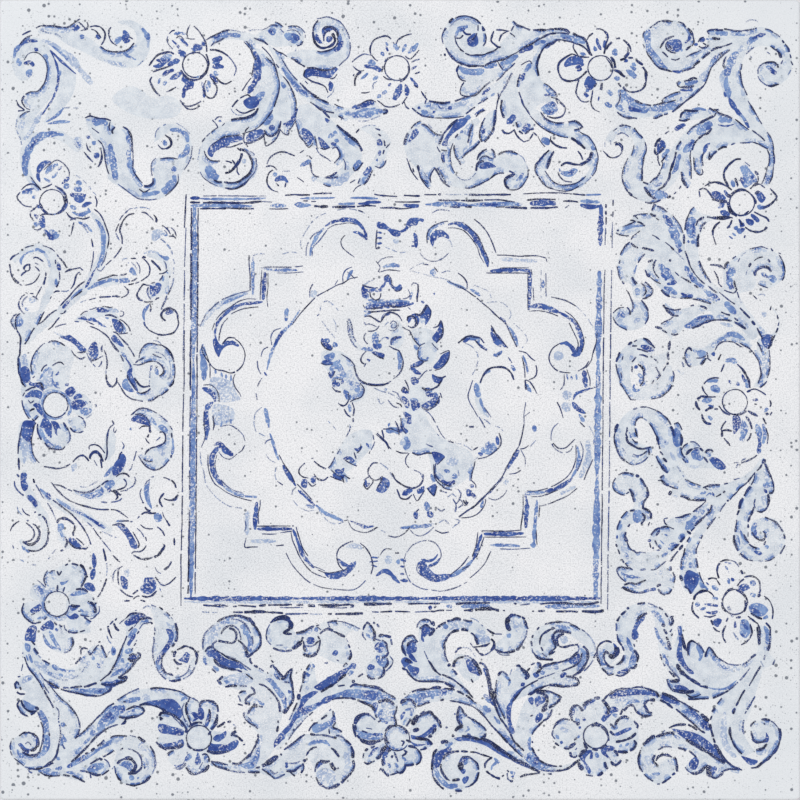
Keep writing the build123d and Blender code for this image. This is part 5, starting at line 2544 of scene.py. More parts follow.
    "corner_scrolls_near_left": """
t 24,643 36,645 40,657 52,665 66,669 79,664 88,650 99,645 106,657 118,657 112,669 100,681 84,687 62,687
48,681 60,694 72,706 80,722 79,734 96,719 118,701 140,690 165,688 190,697 186,724 168,712 148,705 143,712
136,717 122,724 104,732 84,752 71,762 92,751 112,737 136,737 150,746 155,764 150,777 134,785 119,780
114,766 116,750 100,757 110,767 100,775 84,773 84,781 60,776 32,772 12,756 10,744 20,735 34,734 39,744
33,751 24,752 40,754 44,738 41,720 37,712 26,714 19,706 26,692 17,688 20,677 34,676 24,660
t 126,636 126,619 137,613 152,619 139,630 130,650 140,656 134,665 120,677 127,677 118,684 104,686 111,689
100,695 66,690 100,682 114,667
t 153,648 155,624 150,606 164,611 176,625 176,640 162,656 162,667 172,676 188,673 190,662 196,656 196,666
186,678 172,681 160,675 154,664
A 29,627 26,632 25,640 30,641 35,642 36,634 37,627 33,625
W4 28,636 32,640
a 25,643 25,649 28,652 30,651 30,645
L2 31,641 35,645
L3 34,648 36,651 38,654
f1.4 38,655 41,658
L2.4 42,660 46,662 50,664
L2 24.5,657 27,664 30,670 35,676 39,682 43,689.5
L2.2 44,690 47,696 50,701 53.5,708
l1.4 56,707 59,712 58.5,720
l1.2 23,652 22.5,654
l1.2 23,664 21.5,671
w3 29,654 32,663
w2 26,655 28,661
w5 52,665 56,668 59,669
p6 34,661 42,668 52,675 64,677 76,676
w3 58,668 66,671 75,671
w4 58,676 63,675
w3 48,672 52,675
f1.4 46,671 54,677 64,680 74,678 82,672 85,667
p4 80,661 88,662 86,668
L3 75.5,664 78,661
L2 78,661 81,657
L2.2 81,655 81,650 84,648 87.5,649
L2.4 88,651 91,655
L1.8 91,655 94,650 97,646 99,645
L2 98,642 100.5,641.5
L2.6 101,645 103,649 105,653 107,657.5
f1.2 107,656 110,651
w3 82,657 86,657
w4 91,657 95,659
p3 95,655 99,654 102,660 101,667
w3 97,663 100,668
L2.2 127,636 124,643 121,650 118,658 114,666 110,673 104,678 100,681
L2.6 97,683 93,684 88,686 84,687
L2.2 82,686 76,687 70,688
l2.2 69,688 63,687.5
W6 47,682 52,685 58,688
L2.2 44,679 48,682 53,685 59,688.5
l1.2 39,672 44,679
l1.6 43,683 46,689 49,693
L2.6 61,689 67,691 76,693 86,695 95,696 101,695.5
L2.8 101,695.5 106,693 110,690 111.5,686
a 72,688 84,689 92,688 102,688 109,687 108,691 100,694 90,693 80,691
w3 88,691 92,692
w3 96,690 100,689
W3 98,692 102,691
W6 103,684 112,684.5 119,681
L3 101,684 108,685 116,684 122,681
L3.4 118,677 123,678 127,676
L2.6 127.5,677 125,681 120,683 114,684.5
L2.8 119,677 125,673 130,669 133,665 136,661
L2.8 136,661 140,657 140,654 137,653
L3 128,658 131,661 136,660
L2 129,656 133,654 137,655
W6 129,659 133,657 138,656
p6 112,675 118,670 126,664
a 110,677 116,671 125,667 129,663 126,669 119,674
w4 121,662 124,660
w3 126,665 129,663
w4 116,672 122,669
L1.6 131,651 133,648
L1.6 134,646 136,643
l1.4 136,642 137,640
A 127,644 129,640 133,635 136,634 135,638 132,642 129,646
a 128,637 131,631 135,628 138,630 135,634 131,638
a 125,650 131,648 133,651 129,654 125,653
L2.4 128.5,631 133,627
L1.8 137,634 139,631
l1.4 134,627 137,623 140,620
L2.6 139,620 143,618.5 149,618 152,619.5
l1.4 139,629 143,624 147,623 151,622
L2.6 151,622 152.5,624
A 124,622 128,619 133,616 139,614 144,616 147,618 141,619 136,623 131,625 127,626
W5 130,621 137,616
L2.4 126,618 130,614.5 137,613
l2 137,613 142,614 146,616
w3 141,621 149,621
l1.2 119,624 122,621 126,618
l1.2 135,611 137,610
L2 117,618 115,620.5
l1.6 113.5,621 110,624.5
L1.6 107,627 109,626
L2.4 108,628 110,634 112,638.5
L1.6 112,630 113,630.7
L2.8 114,623 116,628 119,631
a 111,650 113,646 116,650 115,655 112,655
W3 112,652 115,652
f1.4 107,636 109,641 113,645
f2 143,608 148,606 150,608
l1.6 151,605 156,607
L1.8 159,607 163,610
L1.8 166,612 170,616
f1.4 163,613 170,619
l1.4 171,617 173,619
L3.2 175.5,623 177,630 177,637 175.5,642
L2.4 175,643 172,647
l1.6 154.5,627 155,631
L1.6 154.5,632.5 154.5,635
l2 153.5,637 154.3,641 153,648 153,655 154,661
L1.8 154,661 155,665
l2 156,667 158,671 161,675 166,679 171,681
L2.8 171,681 177,680.5 181,679.5
l1.8 183,679 188,676 193,671 195,667
L3 195.5,665 197,659 196,653 193,649 189,647
L2.4 189,647 185,646 181,648 177,650
L3.2 176,651 174.5,653 174,657
L3.2 174,659 176,662 179,664 182,664
A 178,660 182,657 185,652 187,652 190,655 189,659 187,663 184,662 180,661
W4 184,660 188,657
L2.6 161.5,660 161.5,666 164,671 167,674
L2.4 167,674 170,674 173,675.5
L2 161.5,662 162,657 165,653
A 166,629 172,630 174,636 172,643 168,650 163,656 160,660 158,665 156,661 158,656 162,650 166,644 169,638
a 156,663 160,666 164,671 166,674 164,676 159,671 156,667
l1.8 175,677.5 180,677 184,675 188,671 190,665
p4 187,673 192,666
p3 166,622 172,628
l2 18,677 20.5,676
L2.4 17,681 15,685 16,689
L2 18,682 19,685
L2 20,687 21,690
L2.8 17,692 20,694 25,694
q 24,677 32,675 33,678 27,682 22,683
w4 28,680 31,677
L2.4 20,700 18,703 18,707 21,712 25,715 28,716
L2.8 21,700 23,705 27,710 32,712 37,711
L3 38,710 37,707.5 35,708
L2.2 31,715 35,712
a 23,700 28,702 33,705 37,707 37,710 32,710 27,708 24,704
w3 25,702 29,707
l2.4 38,712 40,717 41,720
L2.2 41,722 43,727 43.5,733 43,740 41,747 40,751
a 38,712 41,710 45,715 48,721 49,730 50,738 50,746 47,752 42,757 36,759 30,758 38,755 42,749 44,741 44,731
42,722
w4 41,713 46,722 47,730
w4 47,733 46,742 45,750
L2 49,733 49.5,736
W3 45,738 47,740
L2.2 19,736 23,733 28,732.5
L2.8 28,732.5 33,734 37,737 38.5,742 38,747
L3.4 38,745 35,749 31,751
A 33,735 37,738 38.5,743 37,748 34,750 36,744 35,739
L3 21,747 24,750.5 29,751
L3 22,752 26,754 31,755.5 36,755 40,751
A 18,744 21,743 26,748 31,749 30,751 25,750.5 20,747
W4 24,751 29,753
a 17,749 21,753 26,757 20,758 17,753
l1.4 25,744 28,742 31,745
L1.6 15,736.5 15.6,737.2
L1.4 11,741 10,746 10.5,750
L1.6 10.5,751 12,755.5
L1.6 14,758 19,762 24,766
l1.8 25,767 30,768
L2.8 28,768.5 36,769 43,767.5
L3.8 43,767.5 48,764.5 52,761.5
L2.6 52,761.5 55.5,757 57.5,751 59,744
l1.8 59,744 60.5,735 60,728 58.5,721
l2 28,769 30,772 33,773
w3 38,770 42,772
L2.2 40,772 45,775 52,776 60,775.5
L2 63,775 70,776
L2.6 72,776 78,778.5 83,781 85,782
a 41,771 48,768 51,770 45,774
w4 51,773 58,774
w3 55,769 62,767
w3 66,772 74,773
L2 51,764 53.5,763
w4 60,760 56,757
w3 62,767 58,770
w4 61,723 65,726
L1.4 65,725 66.5,725.8
w3 62,734 66,742
l2 62,744 65,749
w4 63,736 61,746
L1.6 50,686 56,693 62,699.5 68,704
L2 68,704 73,710 77,716
l2 77,716 79.5,723 80,729
L1.8 80,729 78,735 75,739
L2 75,738.5 82,733 89,726 96,719
L2.2 96,719 102,713 108,707 114,703.5
L2.6 71,762 76,758 82,752 88,746
L2.2 88,746 94,739 100,733.5 106,729 112,726.5 118,724.5
q 72,752 80,745 88,738 95,730 102,722 108,713 118,706 126,707 120,716 112,725 104,729 96,735 88,742 80,750
74,757
a 98,723 106,713 114,707 124,705 124,712 118,715 114,722 104,727 98,731
W5 105,718 112,713
W4 110,719 114,717
w5 90,735 95,731
w4 75,754 82,748
w3 84,744 90,738
W3 112,708 118,707
L2.2 104,740 100,744 97,746
L3.4 95,748 91,751
L2.8 88,752.5 85,754
w4 80,759 86,755
l1.8 100,746 104,743
L2.2 110,738 114,736 120,735.5 127,736
a 66,768 72,762 80,757 86,754 92,752 100,747 108,741 114,739 112,744 104,748 95,754 86,760 78,764 70,768
W5 67,767 72,764.5
W4 79,761 83,759
w3 93,751 98,750
L1.8 103,757 107,755
L2.4 107,755 112,752 114,750.5
L2 90,764 95,761 100,758
L2.6 99,758 102,760
l1.8 104,759 108,762 110,767
L1.8 109,770 105,773 102,775
L2.6 101,774.5 97,775 91,773 86,771.5
l2.4 86,771.5 80,771
L1.6 90,774 91,778
a 87,770 91,765 96,763 103,763 104,767 99,770 92,772
W3 90,768 96,766
f1.2 112,769 115,766
L1.8 117,700 122,697 128,693.5
l1.8 128,693.5 135,690 139,688.5
L2.2 150,688.5 160,688 168,689
L2.4 168,689 175,690.5 181,692 186,695 192,698
l1.6 192,698 196,700 199,702.5
A 141,704 148,701 158,700 172,699 178,703 181,708 182,716 179,719 172,714 165,710 158,706 150,704.5
A 158,702 170,702 178,706 180,713 172,709 164,706
L2.8 139,705 147,704 155,706
L3.2 155,706 162,709 168,713 175,716 180,720
L2.6 180,720 184,725 187,730
l1.8 172,716 178,722 183,727
a 123,702 130,698 140,697 140,700 130,703
L2 123,702 126,702
p6 142,697 150,698
L2.6 126,710 130,708 134,706.5 140,707 143,709 144,711 142,714
L2.8 142,714 138,716 132,717 126,718 119,717
q 126,712 134,709 141,710 139,714 130,715 124,715
w3 128,711 135,710
W4 121,709 125,711
L3 124,717 125.5,720 124,723 121,724.5
l1.4 130,735.5 136,737
L3 138,737 142,740 145,742
L2.6 150,746 153,751 155,757
l2.4 155,757 155.5,763 155,768
f1.6 155,768 152,774
L3 151,776 146,781 141,784
L2.4 141,784 134,785.5 126,784
L2.4 121,781 118,778 116,774
l1.8 116,774 115,768 114,766
l1.8 128,749 133,750
L2.2 133,750 138,753 141,758 142,764
L3.4 142,764 141,768 138,771 132,773.5 128,773.5
L1.8 120,750 123,748
L3 117,764 120,761 125,759 131,759.5
L3.8 131,759.5 134,762 135.5,766 134,770 130,773
L2 125,757.5 129,757 133,759
a 119,765 124,761 130,762 133,767 130,771 126,768 122,766
w4 130,775 133,780
w2 137,779 139,777
L1.6 144,766 145,769
w3 142,761 146,768
p6 146,757 147,770
p6 112,741 122,740
p5 138,745 146,752
w3 103,745 112,741
w4 181,701 184,698 188,698
""",
    "scrolls_near_middle_left": """
t 203,650 204,636 212,626 224,618 238,615 250,621 259,633 261,644 250,656 252,664 268,673 274,665 283,677
293,669 292,684 294,698 290,707 283,713 274,748 262,766 278,756 305,734 310,734 312,726 332,710 336,722
340,731 352,748 354,766 346,779 328,788 316,778 314,768 306,756 300,770 290,776 276,779 260,773 236,772
211,762 240,762 256,748 258,734 246,720 248,708 258,706 240,702 240,692 254,692 222,686 218,679 240,674
206,664
t 294,712 299,697 304,672 312,662 320,685 352,662 356,668 346,675 360,685 380,689 396,698 397,706 376,712
371,706 356,699 332,700 310,714 290,738 276,750
t 266,636 271,622 286,616 292,626 296,633 314,626 330,621 356,626 345,637 350,648 349,662 340,664 316,655
303,655 303,640 296,648 276,649
t 363,631 367,623 374,634 384,634 392,640 389,652 393,661 385,670 378,679 368,675 366,666 376,656 374,644
L2.4 211,761 218,762.5 228,765
L2.4 211,762 216,766 223,768 230,770.5
l1.8 230,771 238,772 245,772.5
L3.2 232,763.5 238,764 242,762
L3 242,761 247,757 250,754.5 253,750
L2.6 253,750 256,745 258,739 258,734
L2.4 257.5,729 255,726 250,723.5 246,720
l2 246,720 244,716 244,712
l1.6 248,717 252,722
L3.2 248,714 250,710 253,706.5 258,706
L3.4 258,706 253,704.5
W4 253,705 256,706
L2.4 239,693.5 242,691.5 246,691
l1.6 238,695 240,700 240.5,702
L2 238,704 243,705.5
L1.6 245.5,707 246,708
L3 251,687 254,690 255,694
L2.6 255,694 251,695 247,698 245,701
L3 245,701 246,703 250,704.5
q 248,698 254,697 262,704 254,704 249,702
w3 258,701 264,705
L1.8 259,706 263,707
a 240,765 248,762 254,757 258,746 260,752 258,762 254,768 244,768
W3 251,763 255,765
w4 243,766 250,767
L2.4 248,772 254,772.5 260,772
L2.6 256,768 260,767
l2 203,650 203,641 205,634 209,629 214,625
L2.4 217,622 222,619 228,616.5 234,615.5
L4 234,615.5 240,616 246,618 251,621 255,626
L3 255,626 259,632 261,639
L2.6 261,639 260,646 257,650 252,654 247,657.5
l2 231,619 238,620 244,623 249,630 252,637 253,644
a 243,624 248,630 251,637 253,645 251,652 247,650 248,642 245,633 241,626
w4 241,625 243,629
w3 243,630 246,635
L2.2 221,634 224,629 229,626 234,626
l2.2 234,626 238,629 240,634 241,640
L3 229,628 234,630 236.5,635 236,640
L2.8 236,640 232,643 225,642 218,640.5
L3.2 238,640 243,644 246,649 247,657
l2.4 217,641 213,644 213,647 217,651
L2 217,651 222,654 228,658 234,660 240,662
l1.8 240,662 245,666 251,670
l1.4 222,654 229,657 236,659
L3 205,652 208,648 213,646
A 212,650 216,650 221,655 227,659 233,661 239,662 245,668 248,671 240,668 233,669 226,667 220,664 214,657
209,657 206,653
W5 210,653 217,658 224,664
W4 237,664 243,668
w4 204,656 205,664
L3.2 214,659 218,664 224,667 231,669 237,670
L2 237,670 242,672
L1.8 246,674 249,676.5 253,679.5
q 206,642 208,632 214,626 222,620 232,619 240,621 236,624 226,625 219,631 217,639 210,645
w5 221,622 230,621
W3 205,663 207.5,665
L2.4 212,669 216,672.5
w3 213,666 219,671
L2.8 219,680 223,676
l2 217,680 221,685
L1.6 220,681 222,684
L2.6 225,687 229,686 237,686
l1.8 240,686 247,686
q 222,678 234,674 250,674 252,683 228,685
w3 224,681 230,683
L2.4 250,658 250,661 252,664
L2.6 254,665 258,667.5
l1.8 259,668 264,671
L2 267,672 268,673.5
L2 271,660 273.5,662.5
L2.6 271,668 271,666 274,665
L2.6 273,666 277,670 280,674 283,677
L3.2 281,679 284,678 287,674 289,671
L2.8 289,671 293,669
L3.2 291.5,671 290.5,677 292,683 293,690
L3 293,690 293.5,697 292,703 289,707
L5 289,707 286,710 283,713
L2 259,684 264,685.5 268,688
L3 268,688 272,692 276,697
L3.2 276,697 279,703 280,712
a 265,679 271,679 276,683 281,690 286,697 287,704 285,708 281,700 277,694 273,688 269,682
w4 267,679 274,682
W3 283,697 286,700
W3 288,690 290.5,693
l2 284,682 290,682.5
l1.6 276,674 280,680
w3 274,674 279,679
L2 310,664 306,670
L3.2 305,671 303.5,678 303,683
L2 302,685 300,692
L3.8 299,694 298.5,700
L2.2 297,703 293,712
l1.8 293,712 289,720
W3 308,674 309.5,676
w4 313,664 314,668
W3 306,672 309,677
p4 306,686 308,690
A 274,748 274,742 278,736 284,729 290,723 293,716 297,710 300,704 301,698 307,694 314,691 318,692 312,697
308,700 300,711 300,716 296,720 290,730 282,738 277,745
W6 276,745 284,733
W5 302,702 309,695
W4 296,717 300,708
A 314,687 318,684 324,680 330,677 336,673 342,670 348,667 353,663 356,664 355,669 350,669 346,674 340,679
334,683 328,686 322,690 318,690
W6 319,687 328,681 336,676
W5 350,667 354,666
L2.8 321,692 327,688 334,684 340,679 346,674
a 350,670 354,672 349,676
a 300,706 308,706 316,703 324,699 332,695 340,692 348,690 356,689 364,690 372,690 378,691 384,694 394,698
390,700 380,700 370,701 360,699 350,697 340,698 330,701 322,705 312,711 304,715 298,718
A 366,691 374,691 378,692 376,699 370,700 364,697
A 300,707 306,708 312,706 310,712 302,715
W5 316,705 326,700 336,695
w5 342,693 352,692 362,694
w4 384,697 392,699
L1.8 338,686 345,685
L2.8 350,687 354,684.5 362,685
L3.2 362,685 370,686.5 378,688 385,692
L2.2 385,692 391,695.5 396,698.5
L2 332,700 336,698.5 344,698 350,698
L2.4 350,698 356,699.5
L3.6 359,701 365,703 371,706 375,711
L2 313,712 309,715.5
l1.4 308,716 302,722 297,728 292,734 288,740
L1.8 302,723 297,728
L3 293,731 294,729
A 371,705 376,702 378,704 377,710 375,714 373,710
L2 278,720 278,723
L2.8 278,726 277,732
L1.8 276.5,735 276,736.5
L2.4 284,750 291,745 297,740 305,734.5
L2.4 280.5,754 282,755
L5.4 262,766 268,763 274,759 278,756
L2.4 309,731 311,727 315,723 318,722.5
L3.6 310,734 315,735
l2.2 315,735 322,735 330,736.5 335,738
L3 334,737 336.5,738.5
a 312,727 318,724 326,722 332,717 335,712 334,722 330,726 322,731 314,733
A 331,719 335,716 335,722 331,722
w3 314,731 320,727 322,731
L1.6 329,729 329.5,734
L2.6 321,719.5 327,715
l1.8 329,711 331,709
L2.6 333,711 334,717
L2.2 336,722 333,727 338,729
L2.2 338,729 342,732
q 331,731 338,730 342,737 334,736
l1.8 336,735 342,737 346,740
L3 344,739 348,742 351,745
L3.4 351,746 353,752 353,758
L3 353,760.5 354,767 351,773
L3.2 351,773 346,778 341,783
L3.4 340,784 334,787 328,788.5
L2.6 328,788.5 323,786 319,783 316,777
L2.2 306,756 309,751 313,748 317,747
w4 308,745 316,742 325,742 330,746
L3 331,748 334,750 337,754 339,757
L1.6 340.5,747 341.5,747
L1.6 339,764 340,765
L2.8 315,772 316,767 318,763 321,761
L4 320,761 326,762 330,761
L5 331,763 333,767 336,770
L2.2 337,769 339,768
A 317,769 319,763 324,763 320,766
q 316,774 324,768 334,772 336,780 324,784
p6 345,752 348,764 344,772
L2.2 262,769 269,774 275,779
l2 275,779 280,777 285,774
l2 270,770 274,773.5 278,772
W4 285,766 288,767
W4 285,763 288,764
l2 289,763 295,763 300,761
L3.2 286,771 294,771 298,768 303,765
L2.6 303,763 304,768 301,773
L2.2 290,772 295,776
L3.8 303,761 306,760
L3.2 296,633 302,632 308,629 314,626
L1.8 316,626 319,625
L2 317,627 321,630
L2.8 320,634 323,631
L3.4 323,631 328,629 333,631
L3 333,631 339,634 345,637
L2.2 327,622.5 333,621 338,621.5
l1.8 338,621.5 343,622 352,625 360,629
l1.6 328,623 330,628
L1.6 336,623 338,624
A 306,640 309,637 314,638 315,641 312,644 307,643
w4 314,630 318,629
L3 303,641 304,646 305,652
L3.4 303,654 307,655.5 312,656 317,653
L2.6 317,653 319,648 320,641 318,636
l1.8 305,646 312,646 317,643
L2.2 315,644 318.5,641
L5 292,649 297,646 301,642
L3.4 301,642 303,637
L2.8 273,648 278,650
l2.4 278,650 285,651 292,650
l1.6 266,634 267,640 271,645
L5.6 272,621 277,618.5 284,617.5 290,620
L5.6 288,619 291,624 290,629
L3.6 290,629 284,633 292,634
L2 270,623 273,621
l1.6 270,624 267,630 266,635
f1.4 276,645 284,645
f1.4 346,638 348,642
L2 348.5,644 350,648
L3 350,650 351,655 349,660
L2.2 343,667 346,663 347.5,665
A 332,654 335,650 338,651 338,654 335,656
L2 336,659.5 339,661
l1.6 324,663 328,663
L1.4 327,656.5 328,657.5
L2.2 363,630 365,625 367,622
L3.4 367,622 371,626 374,631
L4 374,631 374.5,636 374,641
l1.8 363,632 363,636 366,640
w3 366,633 370,638
L2.4 373.5,624 374.5,622
l2.4 377,624 379,627
l2 375,639 381,641
L3 379,637 381,635 385,635.5 391,637
l2 391,639 392,645
L2.6 382,640 386,643 387,648 388,652
L2.8 389,652 386,656 382,658
A 375,645 379,642 384,645 384,650 380,653 375,650
L3 387,658 388,663 385,668
l1.6 390,656 393,661 391,666 386,671
a 376,656 384,656 387,662 384,667 378,664
A 367,668 370,664 375,666 374,669 369,670
L2.6 367,675 370,678 375,678.5
L2.8 378,679 383,675 384,670 383,667
q 367,670 376,668 383,670 382,676 374,677 368,675
L2.6 358,677 363,674
L3.4 352,682 355,680.5
""",
    "scrolls_near_middle_right": """
t 505,620 516,614 527,624 524,640 516,651 500,652 494,646 506,634
t 459,706 468,717 486,731 480,740 458,736 456,726
L2 408,604 416,603.5 428,603.5
L2.2 428,603.5 440,603.5
L1.8 434,608 436,606
l1.6 405,698 409,694.5
L2.6 412,692 416,690.5 422,689.5 430,689
L3.4 430,689 436,687.5 441,688
L2.4 444,688 449,689 455,690
L3 457,691 461,692.5 464,694.5
L2.4 466,695 470,698 474,702 477,703
a 404,698 410,695 420,692 430,691 440,690 447,692 446,695 436,696 426,698 420,704 416,703 412,699
W4 441,690 447,692
w3 434,692 432,699
L2 417,706 421,705.5 426,703 430,702
L2.6 440,700.5 444,699.5
L2 450,700.5 458,702 466,704 472,706
L2.2 472,706 478,710 484,716 491,725
L2.6 491,725 497,731 503,738 508,743
L2.2 508,743 514,749 520,755 523,757
l1.8 417,628 418,624 421,620
L2.6 421,620 426,619.5 430,621 432,625
L3 433,621 434,626
L2.6 420,629 422,627 426,625 430,628
L4 430,628 434,630 432,633 429,636
A 422,628 429,627 431,631 427,635 424,638 424,642 421,640 421,634
W4 427,629 431,632
L2.4 402,645 403,642 406,638 409,636 413,636 416,640 418,642
L3 402,645 403,650 406,656
L3 407,646 409,643 413,641 416,643
A 407,646 410,642 415,643 417,647 416,652 411,653 408,651
W3 407,648 408,654
A 408,651 412,654 415,658 417,662 413,661 409,657
A 401,660 405,657 410,659 413,663 409,664 405,668 402,664
L5 405,660 411,662
L2.8 402,668 406,670
A 409,664 413,666 419,668 419,672 415,676 410,672 407,667
L2.6 406,669 409,674 413,678 418,681
L3.2 418,681 426,681.5 434,681 444,682
L3.2 444,682 449,685 454,688
l1.6 424,651 428,659
L2.4 428,660 431,664 434,669 438,673 441,675
L2.4 442,674.5 448,677 454,680 459,684
L2.4 459,684 464,688 469,693 473,698
L2 436,629 438,627
L3.4 438,627 442,624 446,622
L3.2 447,621 452,620 456,618.5 461,619.5
L2.8 463,619.5 468,621 472,621
f1.4 470,618 476,620 483,626
L2.2 487,629 491,632 495,634
l1.8 495,634 502,634
w5 443,625 448,628
p6 450,624 460,624 470,626
L3 445,650 444,645 446,640 448,636 451,633
L3 451,633 455,631 459,630.5
L3.2 461,630 464,629.5 468,631
L3 471,633 474,635 476,639 478,645
L2 474,639 474.6,640
l1.4 470,643 474,648
l2 445,650 445,654 446,658 448,662
L4 448,664 450,666
L2.4 452,669 455,672 457,675
L2 455,653 457,650
L3.2 457,649.5 459,648 462,647.5
f1.4 462,647.5 468,648 472,652 475,657
L4 454,667 454,663 457,659
L3.2 457,659 460,657.5 464,657
l2 464,656 468,656 472,659
L4 472,659 476,664 479,669 481,675
A 466,659 470,660 474,664 478,670 480,676 475,674 470,672 467,667
W4 470,665 476,672
L2 471,679 473,683
L2.4 474,647 480,646.5 486,645.5 490,643
L3.4 491,639 494,642 494,647 491,651
L2 475,648 479,653
L3 479,653 484,655.5
l1.8 484,655.5 489,653 491,651
q 478,636 488,636 490,641 482,645
p5 476,630 485,633
L2.6 495,649 499,651.5 504,652.5
L3.2 504,652.5 510,652 515,650.5
l1.4 497,652 502,655 510,655
L2.6 479,663 482,663
l2.4 482,663 485,666 487,670
L4.4 487,669 488,675 489,682 490,688
L5.4 490,688 493,696 495,704
L3 495,704 497,710 500,718
A 483,668 487,670 489,680 491,690 494,698 495,706 491,704 489,697 488,688 486,678
w4 484,694 490,703
w5 483,706 490,712
L3 498,676 500,673 502,671.5
l2 502,671.5 505,673 508,676
L2.2 496.5,680 496,686 495.5,692 496,698
L2.2 496,698 498,704 501,711 505,719
L2.4 500,718 506,726 510,733
L2.4 510,733 514,741 519,746 524,751
w5 503,735 510,741 515,748
w3 514,749 518,750
w3 494,716 500,724
L2.6 437,749 434,753 433,758
L3.2 433,758 432,764 432,770
l2 432,770 433,777
L2.6 433,777 437,783 441,787 444,789
A 435,756 439,751 444,749 449,747 452,749 447,753 443,757 441,762 438,768 435,767 434,761
W5 436,764 440,756
a 435,768 438,770 441,776 446,781 450,785 458,784 452,789 444,786 438,780 435,774
L3.6 443,760 445,756 450,752.5 455,751.5
L3 455,751.5 459,751
L2.6 461,751 468,751.5
L2 470,752 476,752.5 483,755 490,757
L2.8 441,764 441,769 443,774 447,779 450,780.5
L2.8 452,780.5 460,779.5
A 459,762 462,757 467,757 470,758 464,762 463,768 466,770 464,774 461,772 459,768
L6 460,762 461,770
L2.6 462,757 468,757 473,760 477,764 479,770
L2.4 479,772 477,779 473,784 470,786
l1.8 470,786 465,787
L2.8 455,791 462,791
A 462,779 466,776 469,777 467,782 464,784
w3 464,765 468,760
w4 449,785 458,786
L3 460,706 458,711 457.5,717 459,722 463,726
L2.6 461,707 464,713 467,716.5
L2.4 467,716.5 472,719 478,723 483,727 486,731
L3 486,733 484,737 480,739.5
L3.4 480,739.5 474,738 468,736.5 462,736
W5 458,714 459,720 462,726
L4.6 455,731 458,728 463,726.5
W3 454.5,715 455.5,713
W3 461,714 461,719
w3 467,726 469,729 465,732
W3 467,734 471,735
L3.6 452,737 454,735
A 454,738 460,737 468,738 476,740 482,738 488,740 496,744 504,750 512,755 522,762 532,767 538,771 530,769
520,765 512,761 502,756 494,751 486,746 478,743 468,741 458,741
L4.6 482,739 490,742 498,748 506,753
L4.6 506,753 514,759 522,763 530,767
L3.6 530,767 540,772
L4 441,743 444,741.5 448,742
w4 445,745 453,743
w5 447,748 450,744
L2.8 492,757 488,760 485,764 485,768
L3.4 486,771 490,774
L2.6 490,774 495,777 500,778.5
L2 502,776.5 504,775
L2.4 507,770 509,772
w3 491,770 492,766 498,761
w3 494,758 499,763
L2 504.5,761 505.5,761.5
l1.8 507,773 508,779 511,781
L3 510,781 513,781
W3 511,777 514,776
w3 510,772 515,774
L2.8 520,777 525,775 532,774 540,773
L5.8 512,615 508,619 507,625 510,631
L3.4 510,615 516,615
L2 516,615 521,617
L3 522,617 525,619.5
L2.8 525,620 526,625 528,629
l1.8 527,630 526,636 524,640
L2.8 524,640 521,645 518,649
L3 516,650 520,648
p6 514,620 518,632
p5 521,622 523,628
w4 507,634 511,637
L2.4 545,624 550,623 556,622 563,622
l1.6 563,622 570,623
L2.6 570,624 575,626 580,629.5
l1.6 582,629.5 585,631.5
f1.6 585,632 590,637 594,644 596,651
L2.4 596,653 594,658
l1.6 593,660 589,666 584,671
L2 539,627 537,630
L2.2 533,635 532,638
L2.6 531,641 532,646
l1.6 532,648 533,653
L2.6 533,652 537,657 541,659 550,660
L4 549,660 553,659.5
L3.4 555,628 551,628.5
L2.6 551,629 546,632 542,635 540,640 540,645
L2.4 541,647 543,651
l2 542,653 547,657
L3.2 571,633 565,631.5 560,631 556,632 554,634
L3.4 554,634 553,639 555,644 556,648
L2.6 556,648 552,651 549,655
L2 555,651 551,654
L3.4 564,634 560,635 557,638 557,642 559,646
L2.8 559,646.5 564,647 570,645.5 578,644.5
w4 556,626 562,627 570,628
q 560,637 566,636 568,641 563,644
l2 578,645 579,649 577,653
A 568,660 572,656 577,653 580,655 579,661 575,664 571,664
L3 570,659 576,654 578,652
L3 583,646 587,650 588,656 587,662
L3 587,662 583,668 579,672 573,676
a 580,648 585,650 587,657 585,663 581,669 577,671 577,666 581,660 582,654
L2.2 582,653 580,661 576,665 570,668 562,671
L2.6 540,670 544,666 550,664 558,662.5
L2.8 558,662.5 566,660.5 572,658
L3.2 536,674 540,670
W5 533,674 539,676
w4 540,673 545,672
w3 553,668 559,668
A 560,675 564,672 567,674 564,677 561,678
L2.8 566,676 572,677 577,679 579,682 577,685 572,686
L3.4 572,686 564,686.5 556,685.5 549,685
L3 549,685 543,687 537,690 530,695
l1.6 538,679 547,676 555,673
L2.4 512,702 516,697 520,692
L2 520,692 524,688 530,684 538,680
L3 516,666 519,665.5 521,668
L4 521,668 525,672 528,676 525,679
L2.4 526,672 530,668
l1.6 531,665 535,663
L3 537,662.5 540,664 540,668
f1.6 512,669 510,675
w3 505,676 510,681 508,686
L3 509,679 510,681
A 509,703 512,697 516,692 521,688 525,686 520,693 515,699 512,706 511,713 511,720 513,727 515,732 512,734
509,728 507,720 506,711 507,706
W4 508,716 511,730
W4 521,686 525,683
w3 531,686 534,685
L3 528,695 532,692.5
L4 536,692.5 542,691 550,691.5
L2.6 550,691.5 556,694 561,696.5
L3.2 561,696.5 558,701 554,705 549,708
L4 538,692 544,694 547,698 547,703
L4 547,703 544,708 542,712
A 528,699 532,697 534,700 532,705 529,702
A 535,698 540,696 545,698 545,702 540,705 537,707 535,703
A 536,716 540,712 543,714 542,719 537,723 535,720
L4.6 543,711 547,708
L1.8 530,716 533,715
L2.4 552,709 551,713 548,718 543,721
L2.4 543,721 538,726 534,731 532,735
L2 532,737 532.6,738.5
L2 532,741 532.4,743
w4 530,737 529,745 531,751
L2.4 532,747 535,754 539,760
L2.6 539,760 546,764 552,766 557,766.5
L2.2 559,766 562,766
W5 534,757 539,761
W4 527,757 531,759
W4 533,762 538,764
